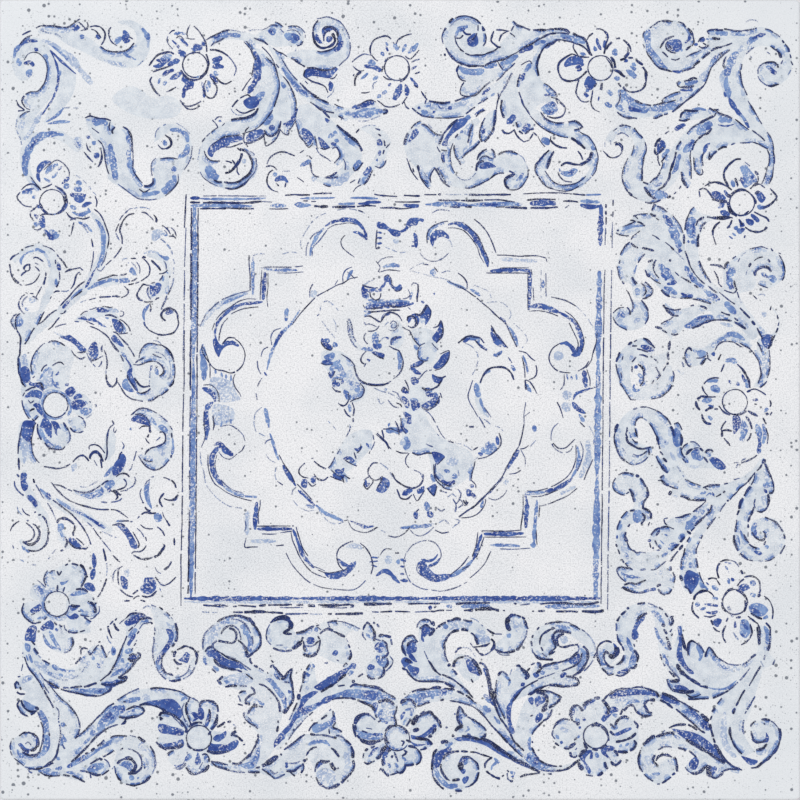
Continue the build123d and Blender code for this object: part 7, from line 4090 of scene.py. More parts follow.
def smooth_run(points: np.ndarray, step: float, closed: bool = False) -> np.ndarray:
    """A smooth line through a few points, evenly sampled.

    Args:
        points: the points that the line passes, one to a row.
        step: the distance between samples.
        closed: whether the line runs on from the last point to the first.

    Returns:
        The samples, from the first point to just before the last, or all round.
    """
    if closed:
        knots = np.vstack([points[-1:], points, points[:2]])
    else:
        before, after = 2 * points[0] - points[1], 2 * points[-1] - points[-2]
        knots = np.vstack([before, points, after])
    samples = []
    for before, start, end, after in zip(knots, knots[1:], knots[2:], knots[3:]):
        chord = float(np.linalg.norm(end - start)) + TINY
        leaving = (end - before) * chord / (np.linalg.norm(start - before) + chord)
        arriving = (after - start) * chord / (np.linalg.norm(after - end) + chord)
        t = np.arange(0, 1, step / max(chord, step))[:, None]
        samples.append(
            (2 * t**3 - 3 * t**2 + 1) * start
            + (t**3 - 2 * t**2 + t) * leaving
            + (3 * t**2 - 2 * t**3) * end
            + (t**3 - t**2) * arriving
        )
    return np.vstack(samples)


def smooth_path(stroke: Stroke, step: float) -> np.ndarray:
    """The path of a stroke, closed where its brush fills an outline.

    Args:
        stroke: the stroke.
        step: the distance between samples, in squares.

    Returns:
        The samples, one to a row.
    """
    points = np.array(stroke.points, float)
    if stroke.brush.fills:
        return smooth_run(points, step, closed=True)
    cuts = [0, *[k for k in stroke.sharp if 0 < k < len(points) - 1], len(points) - 1]
    runs = [smooth_run(points[a : b + 1], step) for a, b in zip(cuts, cuts[1:])]
    return np.vstack([*runs, points[-1:]])


@dataclass
class Hand:
    """The hand that draws, and the wear that has since broken its lines.

    Kept lengths are the shortest and longest stretch of a line that wear has left, in
    squares, for each tone that draws lines. A line wider than the worn width was laid
    thickly enough to stay whole.
    """

    seed: int
    waver: float = 0.22
    waver_span: int = 5
    unevenness: float = 0.34
    uneven_span: int = 2
    slimness: float = 0.86
    step: float = 1.7
    line_end: float = 0.62
    wash_end: float = 0.25
    fullness: float = 0.45
    worn_width: float = 3.2
    least_samples: int = 3
    gaps: tuple[int, ...] = (0, 1, 1)
    kept: dict[Tone, tuple[float, float]] = field(
        default_factory=lambda: {Tone.DARK: (36, 90), Tone.SOFT: (14, 50), Tone.FAINT: (6, 18)}
    )
    chance: random.Random = field(init=False)

    def __post_init__(self) -> None:
        """Seeds the hand, so that it draws the same each time."""
        self.chance = random.Random(self.seed)

    def drift(self, count: int, size: float, span: int) -> np.ndarray:
        """Smooth random drift, with a new value every span of samples."""
        knots = [self.chance.uniform(-size, size) for _ in range(count // span + 3)]
        return np.interp(np.arange(count) / span, np.arange(len(knots)), knots)

    def path(self, stroke: Stroke) -> np.ndarray:
        """The stroke's path as the hand draws it.

        Args:
            stroke: the stroke as the cartoon has it.

        Returns:
            The samples of its path, one to a row, a little off the cartoon.
        """
        path = smooth_path(stroke, self.step)
        drifts = [self.drift(len(path), self.waver, self.waver_span) for _ in "xy"]
        return path + np.stack(drifts, axis=1)

    def half_widths(self, stroke: Stroke, count: int) -> np.ndarray:
        """Half widths along an open stroke, pressed in its middle and light at its ends.

        Args:
            stroke: the stroke.
            count: how many samples its path has.

        Returns:
            One half width for each sample, in squares.
        """
        line = stroke.brush.draws_line
        end = self.line_end if line else self.wash_end
        press = end + (1 - end) * np.sin(math.pi * np.linspace(0, 1, count)) ** self.fullness
        full = stroke.width * (self.slimness if line else 1)
        return full / 2 * press * (1 + self.drift(count, self.unevenness, self.uneven_span))

    def stretches(self, stroke: Stroke, count: int) -> list[slice]:
        """The stretches of a stroke that wear has left.

        Args:
            stroke: the stroke.
            count: how many samples its path has.

        Returns:
            The stretches, as slices of the samples.
        """
        if stroke.brush.tone not in self.kept or stroke.width > self.worn_width:
            return [slice(0, count)]
        left, at = [], 0
        while at < count - 2:
            length = round(self.chance.uniform(*self.kept[stroke.brush.tone]) / self.step)
            length = max(self.least_samples, length)
            left.append(slice(at, min(count, at + length)))
            at += length + self.chance.choice(self.gaps)
        return left


def inside(outline: np.ndarray, places: np.ndarray) -> np.ndarray:
    """Which places lie inside a closed outline, by the even-odd rule.

    Args:
        outline: its points, one to a row.
        places: the places to test, one to a row.

    Returns:
        True or False for each place.
    """
    x, y = places[:, :1], places[:, 1:]
    start, end = outline, np.roll(outline, -1, axis=0)
    spans = (start[:, 1] > y) != (end[:, 1] > y)
    rise = np.where(end[:, 1] == start[:, 1], TINY, end[:, 1] - start[:, 1])
    crossing = start[:, 0] + (y - start[:, 1]) / rise * (end[:, 0] - start[:, 0])
    return np.sum(spans & (x < crossing), axis=1) % 2 == 1


@dataclass(frozen=True)
class Shading:
    """Washes laid along drawn lines, on the side where the form is tinted.

    Each wash is its brush, its width and how far it lies from the line, in squares.
    """

    step: float = 4.0
    reach: float = 3.0
    least_share: float = 0.55
    most_share: float = 0.9
    soft: tuple[tuple[Brush, float, float], ...] = ((Brush.PALE_WASH, 3.4, 2.2),)
    dark: tuple[tuple[Brush, float, float], ...] = (
        (Brush.PALE_WASH, 4.6, 2.9),
        (Brush.WASH, 2.2, 1.4),
    )

    def beside(self, strokes: list[Stroke], hand: Hand) -> list[Stroke]:
        """The washes that shade the lines of a drawing.

        Args:
            strokes: the drawing, with its tint areas.
            hand: the hand that lays the washes.

        Returns:
            The washes, each as a stroke of its own.
        """
        areas = [smooth_path(s, self.step) for s in strokes if s.brush is Brush.TINT_AREA]
        washes = []
        for stroke in strokes:
            path = smooth_path(stroke, self.step) if stroke.brush.draws_line else []
            if len(path) < 3 or not areas or stroke.brush is Brush.FAINT_LINE:
                continue
            along = np.gradient(path, axis=0)
            across = np.stack([-along[:, 1], along[:, 0]], axis=1)
            across /= np.linalg.norm(across, axis=1, keepdims=True) + TINY
            shares = [self.share(areas, path + turn * self.reach * across) for turn in (1, -1)]
            if max(shares) < self.least_share or min(shares) > self.most_share:
                continue
            turn = 1 if shares[0] >= shares[1] else -1
            kinds = self.dark if stroke.brush is Brush.DARK_LINE else self.soft
            for brush, width, offset in kinds:
                start = hand.chance.randint(0, len(path) // 3)
                end = len(path) - hand.chance.randint(0, len(path) // 3)
                laid = (path + turn * offset * across)[start:end]
                if len(laid) > 2:
                    points = tuple((float(x), float(y)) for x, y in laid)
                    washes.append(Stroke(brush, width, points))
        return washes

    def share(self, areas: list[np.ndarray], places: np.ndarray) -> float:
        """The share of places that lie in any of the tinted areas."""
        return float(np.mean(np.any([inside(area, places) for area in areas], axis=0)))


@dataclass(frozen=True)
class DrawnFace:
    """The flat glazed face that the decoration lies on, and its squaring."""

    side: float
    top: float
    seat: float = 0.02 * MM

    @property
    def square(self) -> float:
        """The side of one square of the cartoon."""
        return self.side / CARTOON_SQUARES

    def place(self, squares: np.ndarray) -> np.ndarray:
        """Squares of the cartoon as metres from the middle of the face."""
        return (squares - CARTOON_SQUARES / 2) * [self.square, -self.square]


def deselect_all() -> None:
    """Leaves nothing selected, because an operator acts on all that is."""
    for thing in bpy.context.selected_objects:
        thing.select_set(False)


def curve_object(name: str, filled: bool) -> Object:
    """An empty curve object, of bevelled lines or of filled outlines.

    Args:
        name: its name.
        filled: whether its outlines are filled.

    Returns:
        The curve object, without a spline.
    """
    deselect_all()
    bpy.ops.curve.primitive_bezier_curve_add(location=(0, 0, 0))
    thing = bpy.context.active_object
    thing.name = name
    curve = thing.data
    curve.splines.clear()
    curve.dimensions = "2D" if filled else "3D"
    curve.fill_mode = "BOTH" if filled else "FULL"
    curve.bevel_resolution = 0
    curve.resolution_u = 1
    if filled:
        curve.extrude = 1.0
    else:
        curve.twist_mode = "Z_UP"
        curve.bevel_depth = 1.0
        curve.use_fill_caps = True
    return thing


def add_spline(thing: Object, places: np.ndarray, radii: np.ndarray, cyclic: bool) -> None:
    """Adds one polyline to a curve object.

    Args:
        thing: the curve object.
        places: the points of the line in metres, one to a row.
        radii: the radius at each point.
        cyclic: whether the line closes on itself.
    """
    spline = thing.data.splines.new("POLY")
    spline.points.add(len(places) - 1)
    flat = np.zeros((len(places), 4))
    flat[:, :2] = places
    spline.points.foreach_set("co", flat.ravel())
    spline.points.foreach_set("radius", radii)
    spline.use_cyclic_u = cyclic
    spline.use_smooth = False


def made_mesh(thing: Object) -> Object:
    """Turns a curve object into a mesh object, by the operator.

    Args:
        thing: the curve object.

    Returns:
        The mesh object that takes its place.
    """
    deselect_all()
    thing.select_set(True)
    bpy.context.view_layer.objects.active = thing
    bpy.ops.object.convert(target="MESH")
    return bpy.context.view_layer.objects.active


def joined(things: list[Object], name: str) -> Object:
    """Joins mesh objects into one, with its doubles merged and its faces turned outwards.

    Args:
        things: the mesh objects.
        name: the name of the piece that they make.

    Returns:
        The piece.
    """
    deselect_all()
    for thing in things:
        thing.select_set(True)
    bpy.context.view_layer.objects.active = things[0]
    if len(things) > 1:
        bpy.ops.object.join()
    bpy.ops.object.mode_set(mode="EDIT")
    bpy.ops.mesh.select_all(action="SELECT")
    bpy.ops.mesh.remove_doubles(threshold=DOUBLES_GAP)
    bpy.ops.mesh.normals_make_consistent(inside=False)
    bpy.ops.object.mode_set(mode="OBJECT")
    piece = bpy.context.view_layer.objects.active
    piece.name = name
    piece.data.name = name
    return piece


@dataclass
class BrushWork:
    """Lays strokes on the face as relief, and dresses them with their inks.

    Each filled outline lies a hair over the one laid before it, and each piece a part of
    a hair over the piece before, so that no two of them share a plane.
    """

    face: DrawnFace
    inks: dict[Tone, Material]
    hair: float = 0.0015 * MM
    hairs: int = 8
    parts_of_hair: int = 7
    foot_depth: float = 1e-7
    pieces: int = 0

    def lay(self, name: str, strokes: list[Stroke], hand: Hand) -> Object:
        """Lays strokes as one piece.

        Args:
            name: the name of the piece.
            strokes: its strokes.
            hand: the hand that draws them.

        Returns:
            One mesh object, seated on the face and riding with the tile.
        """
        self.pieces += 1
        strokes = Shading().beside(strokes, hand) + strokes
        layers = []
        for brush in Brush:
            chosen = [stroke for stroke in strokes if stroke.brush is brush]
            if chosen and brush.fills:
                layers.extend(self.filled(s, hand, k) for k, s in enumerate(chosen))
            elif chosen:
                layers.append(self.drawn(brush, chosen, hand))
        piece = joined(layers, name)
        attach(piece, BODY)
        LOG.info("%s: %d strokes, %d faces", name, len(strokes), len(piece.data.polygons))
        return piece

    def drawn(self, brush: Brush, strokes: list[Stroke], hand: Hand) -> Object:
        """Draws the open strokes of one brush.

        Args:
            brush: the brush.
            strokes: its strokes.
            hand: the hand that draws them.

        Returns:
            All of them as one mesh object.
        """
        thing = curve_object(brush.name.lower(), filled=False)
        for stroke in strokes:
            path = hand.path(stroke)
            halves = hand.half_widths(stroke, len(path)) * self.face.square
            for stretch in hand.stretches(stroke, len(path)):
                if len(path[stretch]) > 1:
                    places = self.face.place(path[stretch])
                    add_spline(thing, places, halves[stretch].copy(), cyclic=False)
        thing = made_mesh(thing)
        return self.seated(thing, brush)

    def filled(self, stroke: Stroke, hand: Hand, number: int) -> Object:
        """Fills one outline.

        Args:
            stroke: the outline.
            hand: the hand that draws it.
            number: how many outlines of its brush the piece has before it.

        Returns:
            The filled outline as a mesh object.
        """
        thing = curve_object(stroke.brush.name.lower(), filled=True)
        places = self.face.place(hand.path(stroke))
        add_spline(thing, places, np.ones(len(places)), cyclic=True)
        thing = made_mesh(thing)
        part = self.pieces % self.parts_of_hair / self.parts_of_hair
        return self.seated(thing, stroke.brush, (number % self.hairs + part) * self.hair)

    def seated(self, thing: Object, brush: Brush, lift: float = 0.0) -> Object:
        """Lowers a mesh to its relief, with its foot in the glaze, and inks it.

        Args:
            thing: the mesh object, as its curve left it.
            brush: the brush that gives the height of its rim, its crown and its ink.
            lift: how much higher its rim lies than the brush's.

        Returns:
            The same object.
        """
        mesh = thing.data
        places = np.empty(len(mesh.vertices) * 3)
        mesh.vertices.foreach_get("co", places)
        places = places.reshape(-1, 3)
        over = places[:, 2]
        rim = self.face.top + brush.rim * MM + lift
        heights = rim + np.maximum(over, 0) * (0 if brush.fills else brush.crown)
        foot = over < (0 if brush.fills else -self.foot_depth)
        places[:, 2] = np.where(foot, self.face.top - self.face.seat, heights)
        mesh.vertices.foreach_set("co", places.ravel())
        mesh.update()
        mesh.materials.clear()
        mesh.materials.append(self.inks[brush.tone])
        return thing


@dataclass(frozen=True)
class Ornament:
    """A sub-assembly of the decoration, drawn piece by piece from the cartoon.

    The waver is how far the hand strays from the cartoon, in squares, and the slimness is
    the share of its width at which a line is drawn.
    """

    pieces: tuple[str, ...] = ()
    first_seed: int = 1
    waver: float = 0.22
    slimness: float = 0.86

    def strokes(self, number: int) -> list[Stroke]:
        """The strokes of one piece."""
        return read_strokes(CARTOON[self.pieces[number]])

    def build(self, work: BrushWork) -> None:
        """Draws and dresses the pieces, one after another.

        Args:
            work: the brush work that lays them on the face.
        """
        for number, name in enumerate(self.pieces):
            hand = Hand(self.first_seed + number, waver=self.waver, slimness=self.slimness)
            work.lay(name, self.strokes(number), hand)


@dataclass(frozen=True)
class Cartouche(Ornament):
    """The strapwork round the middle: stepped bands that end in volutes, in quarters."""

    pieces: tuple[str, ...] = (
        "cartouche_far_left",
        "cartouche_far_right",
        "cartouche_near_left",
        "cartouche_near_right",
    )
    first_seed: int = 1


@dataclass(frozen=True)
class Medallion(Ornament):
    """The round of scallops inside the cartouche, with a ring on its lower right."""

    pieces: tuple[str, ...] = ("medallion",)
    first_seed: int = 5


@dataclass(frozen=True)
class SquareFrame(Ornament):
    """The square frame between the middle and the border: a blue band between lines."""

    pieces: tuple[str, ...] = ("square_frame",)
    first_seed: int = 6


@dataclass(frozen=True)
class Lion(Ornament):
    """The crowned lion, standing on one leg inside the medallion."""

    pieces: tuple[str, ...] = ("lion",)
    first_seed: int = 7


@dataclass(frozen=True)
class ScrollBorder(Ornament):
    """The acanthus scrolls of the border, between one flower and the next."""

    pieces: tuple[str, ...] = (
        "corner_scrolls_far_left",
        "corner_scrolls_near_right",
        "scrolls_left_upper",
        "scrolls_left_lower",
        "scrolls_far_middle_left",
        "scrolls_far_middle_right",
        "corner_scrolls_far_right",
        "scrolls_right_upper",
        "scrolls_right_lower",
        "corner_scrolls_near_left",
        "scrolls_near_middle_left",
        "scrolls_near_middle_right",
    )
    first_seed: int = 8


@dataclass(frozen=True)
class FlowerRing(Ornament):
    """The flowers of the border, each of drawn petals about a plain round eye.

    Middles and sizes are in squares. The eye's wash lies along part of its line.
    """

    pieces: tuple[str, ...] = tuple(f"flower_{number}" for number in range(1, 13))
    first_seed: int = 100
    middles: tuple[Point, ...] = (
        (195, 65),
        (397, 68),
        (600.5, 68),
        (742, 203),
        (735, 402),
        (735, 602),
        (596, 736),
        (397, 738),
        (199, 738),
        (57, 604),
        (55.5, 405),
        (52, 202),
    )
    eye_radius: float = 12.5
    eye_step: int = 30
    eye_line: float = 1.4
    eye_wash: float = 1.6
    washed: tuple[int, int] = (6, 12)

    def strokes(self, number: int) -> list[Stroke]:
        """The strokes of one flower: the round of its eye, then its petals.

        Args:
            number: the place of the flower among the pieces.

        Returns:
            Its strokes. The eye's line laps over itself by one step.
        """
        x, y = self.middles[number]
        turns = range(0, 360 + self.eye_step + 1, self.eye_step)
        angles = [math.radians(turn) for turn in turns]
        radius = self.eye_radius
        eye = tuple((x + radius * math.cos(a), y - radius * math.sin(a)) for a in angles)
        laid = [Stroke(Brush.DARK_LINE, self.eye_line, eye)]
        laid.append(Stroke(Brush.WASH, self.eye_wash, eye[slice(*self.washed)]))
        return laid + super().strokes(number)


def linear(code: str) -> tuple[float, float, float, float]:
    """An sRGB hex colour as linear light.

    Args:
        code: the colour, such as "#4D6CAE".

    Returns:
        Red, green, blue and alpha.
    """
    parts = [int(code[k : k + 2], 16) / 255 for k in (1, 3, 5)]
    red, green, blue = [p / 12.92 if p <= 0.04045 else ((p + 0.055) / 1.055) ** 2.4 for p in parts]
    return red, green, blue, 1.0


def add_node(
    tree: NodeTree, kind: str, inputs: dict[str | int, Any] | None = None, **settings: Any
) -> bpy.types.Node:
    """Adds a node with its settings and links.

    Args:
        tree: the material's node tree.
        kind: the node's type.
        inputs: by name or number, what each input takes: a socket is linked, and
            anything else is set as its value.
        **settings: the node's own properties.

    Returns:
        The node.
    """
    node = tree.nodes.new(kind)
    for key, value in settings.items():
        setattr(node, key, value)
    for key, value in (inputs or {}).items():
        if isinstance(value, NodeSocket):
            tree.links.new(value, node.inputs[key])
        else:
            node.inputs[key].default_value = value
    return node


@dataclass(frozen=True)
class Mottle:
    """Soft unevenness of a surface: its size in metres, and the span that shows.

    The value runs from low to high as the unevenness runs over the span.
    """

    size: float
    detail: float
    place: float
    start: float = 0.0
    end: float = 1.0
    low: float = 0.0
    high: float = 1.0

    def raw(self, tree: NodeTree, at: NodeSocket) -> NodeSocket:
        """The unevenness itself, from 0 to 1.

        Args:
            tree: the material's node tree.
            at: the place on the object.

        Returns:
            The socket of its value.
        """
        shift = {0: at, 1: (self.place, -self.place, self.place)}
        moved = add_node(tree, "ShaderNodeVectorMath", shift).outputs[0]
        settings = {"Vector": moved, "Scale": 1 / self.size, "Detail": self.detail}
        return add_node(tree, "ShaderNodeTexNoise", settings).outputs[0]

    def shown(self, tree: NodeTree, at: NodeSocket) -> NodeSocket:
        """The unevenness as far as it shows.

        Args:
            tree: the material's node tree.
            at: the place on the object.

        Returns:
            The socket of its value, from low to high.
        """
        spans = {0: self.raw(tree, at), 1: self.start, 2: self.end, 3: self.low, 4: self.high}
        return add_node(tree, "ShaderNodeMapRange", spans).outputs[0]


@dataclass(frozen=True)
class AgedGlaze:
    """Clear lead-free glaze over a white slip, gone matt and flecked with age.

    To the eye it is a cool white with faint clouds, a fine grain and small dark flecks,
    and it greys towards the corners: a painted shade where the light falls off. The inks
    wear through to it. Flecks stand in crowds, more of them towards the border, and reach
    is a share of the gap between them.
    """

    white: str = "#FBFBFC"
    cloud: str = "#EDF0F3"
    # Painted shade: the grey that the white turns towards the corners, standing in for light falling off
    # there.
    corner_shade: str = "#E8ECEF"
    fleck: str = "#5E6573"
    clouds: Mottle = Mottle(46 * MM, 4, 0.31, 0.4, 0.68)
    grain: Mottle = Mottle(0.75 * MM, 3, 0.17, 0.42, 0.74, 0, 0.4)
    crowding: Mottle = Mottle(30 * MM, 2, 0.53)
    corner_shade_from: float = 200 * MM
    corner_shade_to: float = 310 * MM
    corner_shade_share: float = 0.75
    border_from: float = 140 * MM
    border_to: float = 250 * MM
    border_crowding: float = 0.12
    sparse: float = 0.42
    crowded: float = 0.72
    least_reach: float = 0.2
    most_reach: float = 0.46
    fleck_spacing: float = 2.9 * MM
    fleckless: float = 0.55
    fleck_edge: float = 0.12
    fleck_strength: float = 0.85
    finer: float = 2.6
    fine_strength: float = 0.5

    def colour(self, tree: NodeTree, at: NodeSocket) -> NodeSocket:
        """The colour of the bare glaze.

        Args:
            tree: the material's node tree.
            at: the place on the object.

        Returns:
            The socket of the colour.
        """
        shares = {0: self.clouds.shown(tree, at), 6: linear(self.white), 7: linear(self.cloud)}
        base = add_node(tree, "ShaderNodeMix", shares, data_type="RGBA").outputs[2]
        shares = {0: self.grain.shown(tree, at), 6: base, 7: linear(self.fleck)}
        base = add_node(tree, "ShaderNodeMix", shares, data_type="RGBA").outputs[2]
        # Painted shade: the white greys with distance from the middle, towards the corners.
        out = add_node(tree, "ShaderNodeVectorMath", {0: at}, operation="LENGTH").outputs[1]
        spans = {0: out, 1: self.corner_shade_from, 2: self.corner_shade_to, 3: 0, 4: self.corner_shade_share}
        corner_shade = add_node(tree, "ShaderNodeMapRange", spans).outputs[0]
        shares = {0: corner_shade, 6: base, 7: linear(self.corner_shade)}
        base = add_node(tree, "ShaderNodeMix", shares, data_type="RGBA").outputs[2]
        reach = self.fleck_reach(tree, at, out)
        flecks = self.flecks(tree, at, self.fleck_spacing, reach)
        shares = {0: flecks, 6: base, 7: linear(self.fleck)}
        base = add_node(tree, "ShaderNodeMix", shares, data_type="RGBA").outputs[2]
        fine = self.flecks(tree, at, self.fleck_spacing / self.finer, reach)
        weaker = {0: fine, 1: self.fine_strength}
        fine = add_node(tree, "ShaderNodeMath", weaker, operation="MULTIPLY").outputs[0]
        shares = {0: fine, 6: base, 7: linear(self.fleck)}
        return add_node(tree, "ShaderNodeMix", shares, data_type="RGBA").outputs[2]

    def fleck_reach(self, tree: NodeTree, at: NodeSocket, out: NodeSocket) -> NodeSocket:
        """How far flecks reach, in crowds and more of them towards the border.

        Args:
            tree: the material's node tree.
            at: the place on the object.
            out: the distance from the middle of the tile.

        Returns:
            The socket of the reach, as a share of the flecks' spacing.
        """
        spans = {0: out, 1: self.border_from, 2: self.border_to, 3: 0, 4: self.border_crowding}
        border = add_node(tree, "ShaderNodeMapRange", spans).outputs[0]
        both = {0: self.crowding.raw(tree, at), 1: border}
        crowd = add_node(tree, "ShaderNodeMath", both, operation="ADD").outputs[0]
        reach = {3: self.least_reach, 4: self.most_reach}
        spans = {0: crowd, 1: self.sparse, 2: self.crowded, **reach}
        return add_node(tree, "ShaderNodeMapRange", spans).outputs[0]

    def flecks(self, tree: NodeTree, at: NodeSocket, gap: float, reach: NodeSocket) -> NodeSocket:
        """Small flecks, fewer and smaller where their reach is less.

        Args:
            tree: the material's node tree.
            at: the place on the object.
            gap: the distance between them, in metres.
            reach: how far they reach, as a share of the gap.

        Returns:
            The socket of how much of a fleck each place is.
        """
        cells = add_node(tree, "ShaderNodeTexVoronoi", {"Vector": at, "Scale": 1 / gap})
        split = add_node(tree, "ShaderNodeSeparateColor", {0: cells.outputs["Color"]})
        spans = {0: split.outputs[0], 1: self.fleckless, 2: 1.0, 3: 0, 4: 1}
        size = add_node(tree, "ShaderNodeMapRange", spans).outputs[0]
        size = add_node(tree, "ShaderNodeMath", {0: size, 1: reach}, operation="MULTIPLY")
        inner = {0: size.outputs[0], 1: cells.outputs["Distance"]}
        inner = add_node(tree, "ShaderNodeMath", inner, operation="SUBTRACT").outputs[0]
        spans = {0: inner, 1: 0.0, 2: self.fleck_edge, 3: 0, 4: self.fleck_strength}
        return add_node(tree, "ShaderNodeMapRange", spans).outputs[0]


@dataclass(frozen=True)
class Ink:
    """Cobalt ink or wash under the glaze: uneven, grainy and worn through to the glaze.

    Cover is the share of its area that wear has left, and grain the size of the grains
    that it breaks up into.
    """

    name: str
    full: str
    thin: str
    cover: float
    grain: float = 0.9 * MM
    softness: float = 0.09
    evenness: float = 0.36
    pools: Mottle = Mottle(5.5 * MM, 3, 0.71, 0.36, 0.66)
    patches: Mottle = Mottle(24 * MM, 2, 0.13, 0.35, 0.7, 0.05, -0.07)
    ior: float = 1.5
    specular: float = 0.3
    roughness: float = 0.5

    def build(self, glaze: AgedGlaze) -> Material:
        """Makes the material.

        Args:
            glaze: the glaze that the ink wears through to.

        Returns:
            The material of the ink.
        """
        made = bpy.data.materials.new(self.name)
        made.use_nodes = True
        tree = made.node_tree
        shader = tree.nodes["Principled BSDF"]
        at = add_node(tree, "ShaderNodeTexCoord").outputs["Object"]
        shares = {0: self.pools.shown(tree, at), 6: linear(self.full), 7: linear(self.thin)}
        ink = add_node(tree, "ShaderNodeMix", shares, data_type="RGBA").outputs[2]
        grains = {0: Mottle(self.grain, 2, 0.93).raw(tree, at), 1: self.patches.shown(tree, at)}
        grains = add_node(tree, "ShaderNodeMath", grains, operation="ADD").outputs[0]
        edge = 0.5 + self.evenness * (self.cover - 0.5)
        spans = {0: grains, 1: edge - self.softness, 2: edge + self.softness, 3: 0, 4: 1}
        worn = add_node(tree, "ShaderNodeMapRange", spans).outputs[0]
        shares = {0: worn, 6: ink, 7: glaze.colour(tree, at)}
        colour = add_node(tree, "ShaderNodeMix", shares, data_type="RGBA").outputs[2]
        tree.links.new(colour, shader.inputs["Base Color"])
        shader.inputs["IOR"].default_value = self.ior
        shader.inputs["Specular IOR Level"].default_value = self.specular
        shader.inputs["Roughness"].default_value = self.roughness
        return made


INKS = {
    # Line inks: cobalt with manganese, almost black where the brush was full.
    Tone.DARK: Ink("line_ink_dark", "#0A1840", "#22397A", 0.93, 0.6 * MM),
    Tone.SOFT: Ink("line_ink_soft", "#1D3168", "#405A9A", 0.82, 0.6 * MM),
    Tone.FAINT: Ink("line_ink_faint", "#4A6096", "#7E96C2", 0.64, 0.6 * MM),
    # Washes: cobalt let down with water, from the full brush to the last of it.
    Tone.DEEP: Ink("cobalt_wash_deep", "#24408C", "#4A69AE", 0.88),
    Tone.MID: Ink("cobalt_wash_mid", "#4D6CAE", "#86A2CF", 0.82),
    Tone.PALE: Ink("cobalt_wash_pale", "#96A9CC", "#C0CDE0", 0.64),
    # Tint: a grey-blue film that shows as a faint stipple.
    Tone.TINT: Ink("cobalt_tint", "#C4CEDA", "#E0E7ED", 0.66, 0.7 * MM, 0.14),
}


@dataclass(frozen=True)
class GlazedPorcelain:
    """Porcelain tile body: matt aged glaze on its face, bare fired body elsewhere.

    The bare body is a dull warm grey-white, and the glaze ends in a soft uneven line a
    little below the face.
    """

    bare: str = "#E9E6DF"
    bare_shade: str = "#D6D1C8"
    glazed_over: float = 1.2 * MM
    mottling: Mottle = Mottle(2.2 * MM, 4, 0.37, 0.35, 0.7)
    pits: Mottle = Mottle(0.9 * MM, 3, 0.11)
    pit_depth: float = 0.05 * MM
    pit_strength: float = 0.5
    edge_waver: float = 0.2 * MM
    bare_roughness: float = 0.85
    glazed_roughness: float = 0.48
    ior: float = 1.5
    specular: float = 0.3

    def build(self, glaze: AgedGlaze, top: float) -> Material:
        """Makes the material of the whole tile, which knows its glaze by its height.

        Args:
            glaze: the glaze of its face.
            top: the height of the face, in metres.

        Returns:
            The material.
        """
        made = bpy.data.materials.new("glazed_porcelain")
        made.use_nodes = True
        tree = made.node_tree
        shader = tree.nodes["Principled BSDF"]
        at = add_node(tree, "ShaderNodeTexCoord").outputs["Object"]
        height = add_node(tree, "ShaderNodeSeparateXYZ", {0: at}).outputs[2]
        mottle = self.mottling.shown(tree, at)
        shares = {0: mottle, 6: linear(self.bare), 7: linear(self.bare_shade)}
        bare = add_node(tree, "ShaderNodeMix", shares, data_type="RGBA").outputs[2]
        spans = {0: mottle, 1: 0, 2: 1, 3: -self.edge_waver, 4: self.edge_waver}
        waver = add_node(tree, "ShaderNodeMapRange", spans).outputs[0]
        edge = add_node(tree, "ShaderNodeMath", {0: height, 1: waver}, operation="ADD").outputs[0]
        start = top - self.glazed_over - self.edge_waver / 2
        spans = {0: edge, 1: start, 2: start + self.edge_waver, 3: 0, 4: 1}
        glazed = add_node(tree, "ShaderNodeMapRange", spans).outputs[0]
        shares = {0: glazed, 6: bare, 7: glaze.colour(tree, at)}
        colour = add_node(tree, "ShaderNodeMix", shares, data_type="RGBA").outputs[2]
        tree.links.new(colour, shader.inputs["Base Color"])
        spans = {0: glazed, 1: 0, 2: 1, 3: self.bare_roughness, 4: self.glazed_roughness}
        roughness = add_node(tree, "ShaderNodeMapRange", spans).outputs[0]
        tree.links.new(roughness, shader.inputs["Roughness"])
        pits = self.pits.raw(tree, at)
        bump = {"Height": pits, "Distance": self.pit_depth, "Strength": self.pit_strength}
        normal = add_node(tree, "ShaderNodeBump", bump).outputs[0]
        tree.links.new(normal, shader.inputs["Normal"])
        shader.inputs["IOR"].default_value = self.ior
        shader.inputs["Specular IOR Level"].default_value = self.specular
        return made


@dataclass
class GlazedBody:
    """The fired tile itself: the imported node, with its finish."""

    finish: GlazedPorcelain = GlazedPorcelain()

    def dress(self, glaze: AgedGlaze) -> DrawnFace:
        """Gives the tile its finish.

        Args:
            glaze: the glaze of its face.

        Returns:
            The face to draw on.
        """
        low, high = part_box(TILE_NODE)
        tile = bpy.data.objects[TILE_NODE]
        tile.data.materials.clear()
        tile.data.materials.append(self.finish.build(glaze, high[2]))
        LOG.info("%s: %.0f mm across", TILE_NODE, (high[0] - low[0]) / MM)
        return DrawnFace(side=high[0] - low[0], top=high[2])


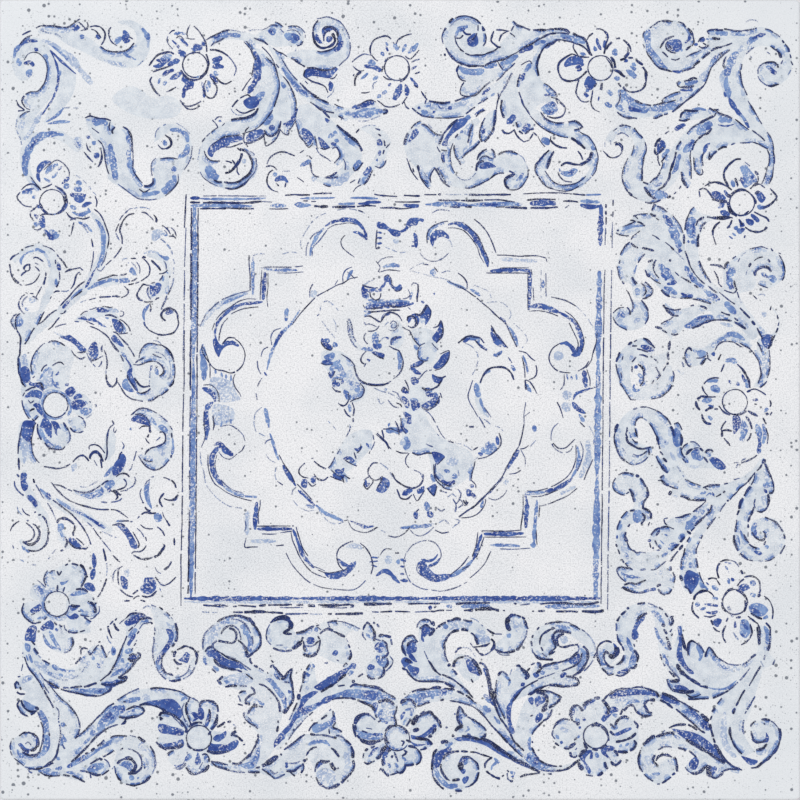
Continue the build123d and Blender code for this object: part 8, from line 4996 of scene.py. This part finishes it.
@dataclass
class Studio:
    """A pale floor, soft lights and a camera that looks straight down on the face.

    Each light is its name, its place, its size in metres and its power in watts.
    """

    floor_side: float = 6.0
    floor_colour: str = "#E4E5E8"
    floor_roughness: float = 0.9
    room_colour: str = "#F8F8FA"
    room_strength: float = 0.63
    lights: tuple[tuple[str, tuple[float, float, float], float, float], ...] = (
        ("key_light", (-1.4, 1.2, 1.9), 1.8, 26),
        ("fill_light", (1.6, -1.0, 1.7), 2.2, 15),
    )
    lens: float = 200.0
    sensor: float = 36.0

    def build(self, face: DrawnFace) -> None:
        """Lays the floor, hangs the lights and sets the camera.

        Args:
            face: the face that the camera looks at.
        """
        self.lay_floor()
        self.hang_lights()
        self.set_camera(face)

    def lay_floor(self) -> None:
        """Lays a floor of pale matt paint under the tile, which takes soft shadows."""
        deselect_all()
        bpy.ops.mesh.primitive_plane_add(size=self.floor_side, location=(0, 0, 0))
        floor = bpy.context.active_object
        floor.name = "studio_floor"
        paint = bpy.data.materials.new("pale_floor_paint")
        paint.use_nodes = True
        shader = paint.node_tree.nodes["Principled BSDF"]
        shader.inputs["Base Color"].default_value = linear(self.floor_colour)
        shader.inputs["Roughness"].default_value = self.floor_roughness
        floor.data.materials.append(paint)

    def hang_lights(self) -> None:
        """Hangs two large soft lights in a pale room."""
        for name, place, size, power in self.lights:
            light = bpy.data.lights.new(name, "AREA")
            light.size = size
            light.energy = power
            lamp = bpy.data.objects.new(name, light)
            lamp.location = place
            lamp.rotation_euler = (-Vector(place)).to_track_quat("-Z", "Y").to_euler()
            bpy.context.scene.collection.objects.link(lamp)
        world = bpy.data.worlds.new("pale_room")
        world.use_nodes = True
        room = world.node_tree.nodes["Background"]
        room.inputs["Color"].default_value = linear(self.room_colour)
        room.inputs["Strength"].default_value = self.room_strength
        bpy.context.scene.world = world
        bpy.context.scene.view_settings.view_transform = "Standard"

    def set_camera(self, face: DrawnFace) -> None:
        """Sets a long lens straight above, so that the face fills the picture.

        Args:
            face: the face that the camera looks at.
        """
        camera = bpy.data.cameras.new("camera")
        camera.lens = self.lens
        camera.sensor_width = self.sensor
        seen = bpy.data.objects.new("camera", camera)
        seen.location = (0, 0, face.top + face.side * self.lens / self.sensor)
        bpy.context.scene.collection.objects.link(seen)
        bpy.context.scene.camera = seen


def main() -> None:
    """Builds the tile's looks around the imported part."""
    logging.basicConfig(level=logging.INFO, format="%(name)s %(message)s")
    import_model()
    glaze = AgedGlaze()
    face = GlazedBody().dress(glaze)
    work = BrushWork(face, {tone: ink.build(glaze) for tone, ink in INKS.items()})
    ornaments = (Cartouche(), Medallion(), SquareFrame(), Lion(), ScrollBorder(), FlowerRing())
    for ornament in ornaments:
        ornament.build(work)
    Studio().build(face)


if __name__ == "__main__":
    main()
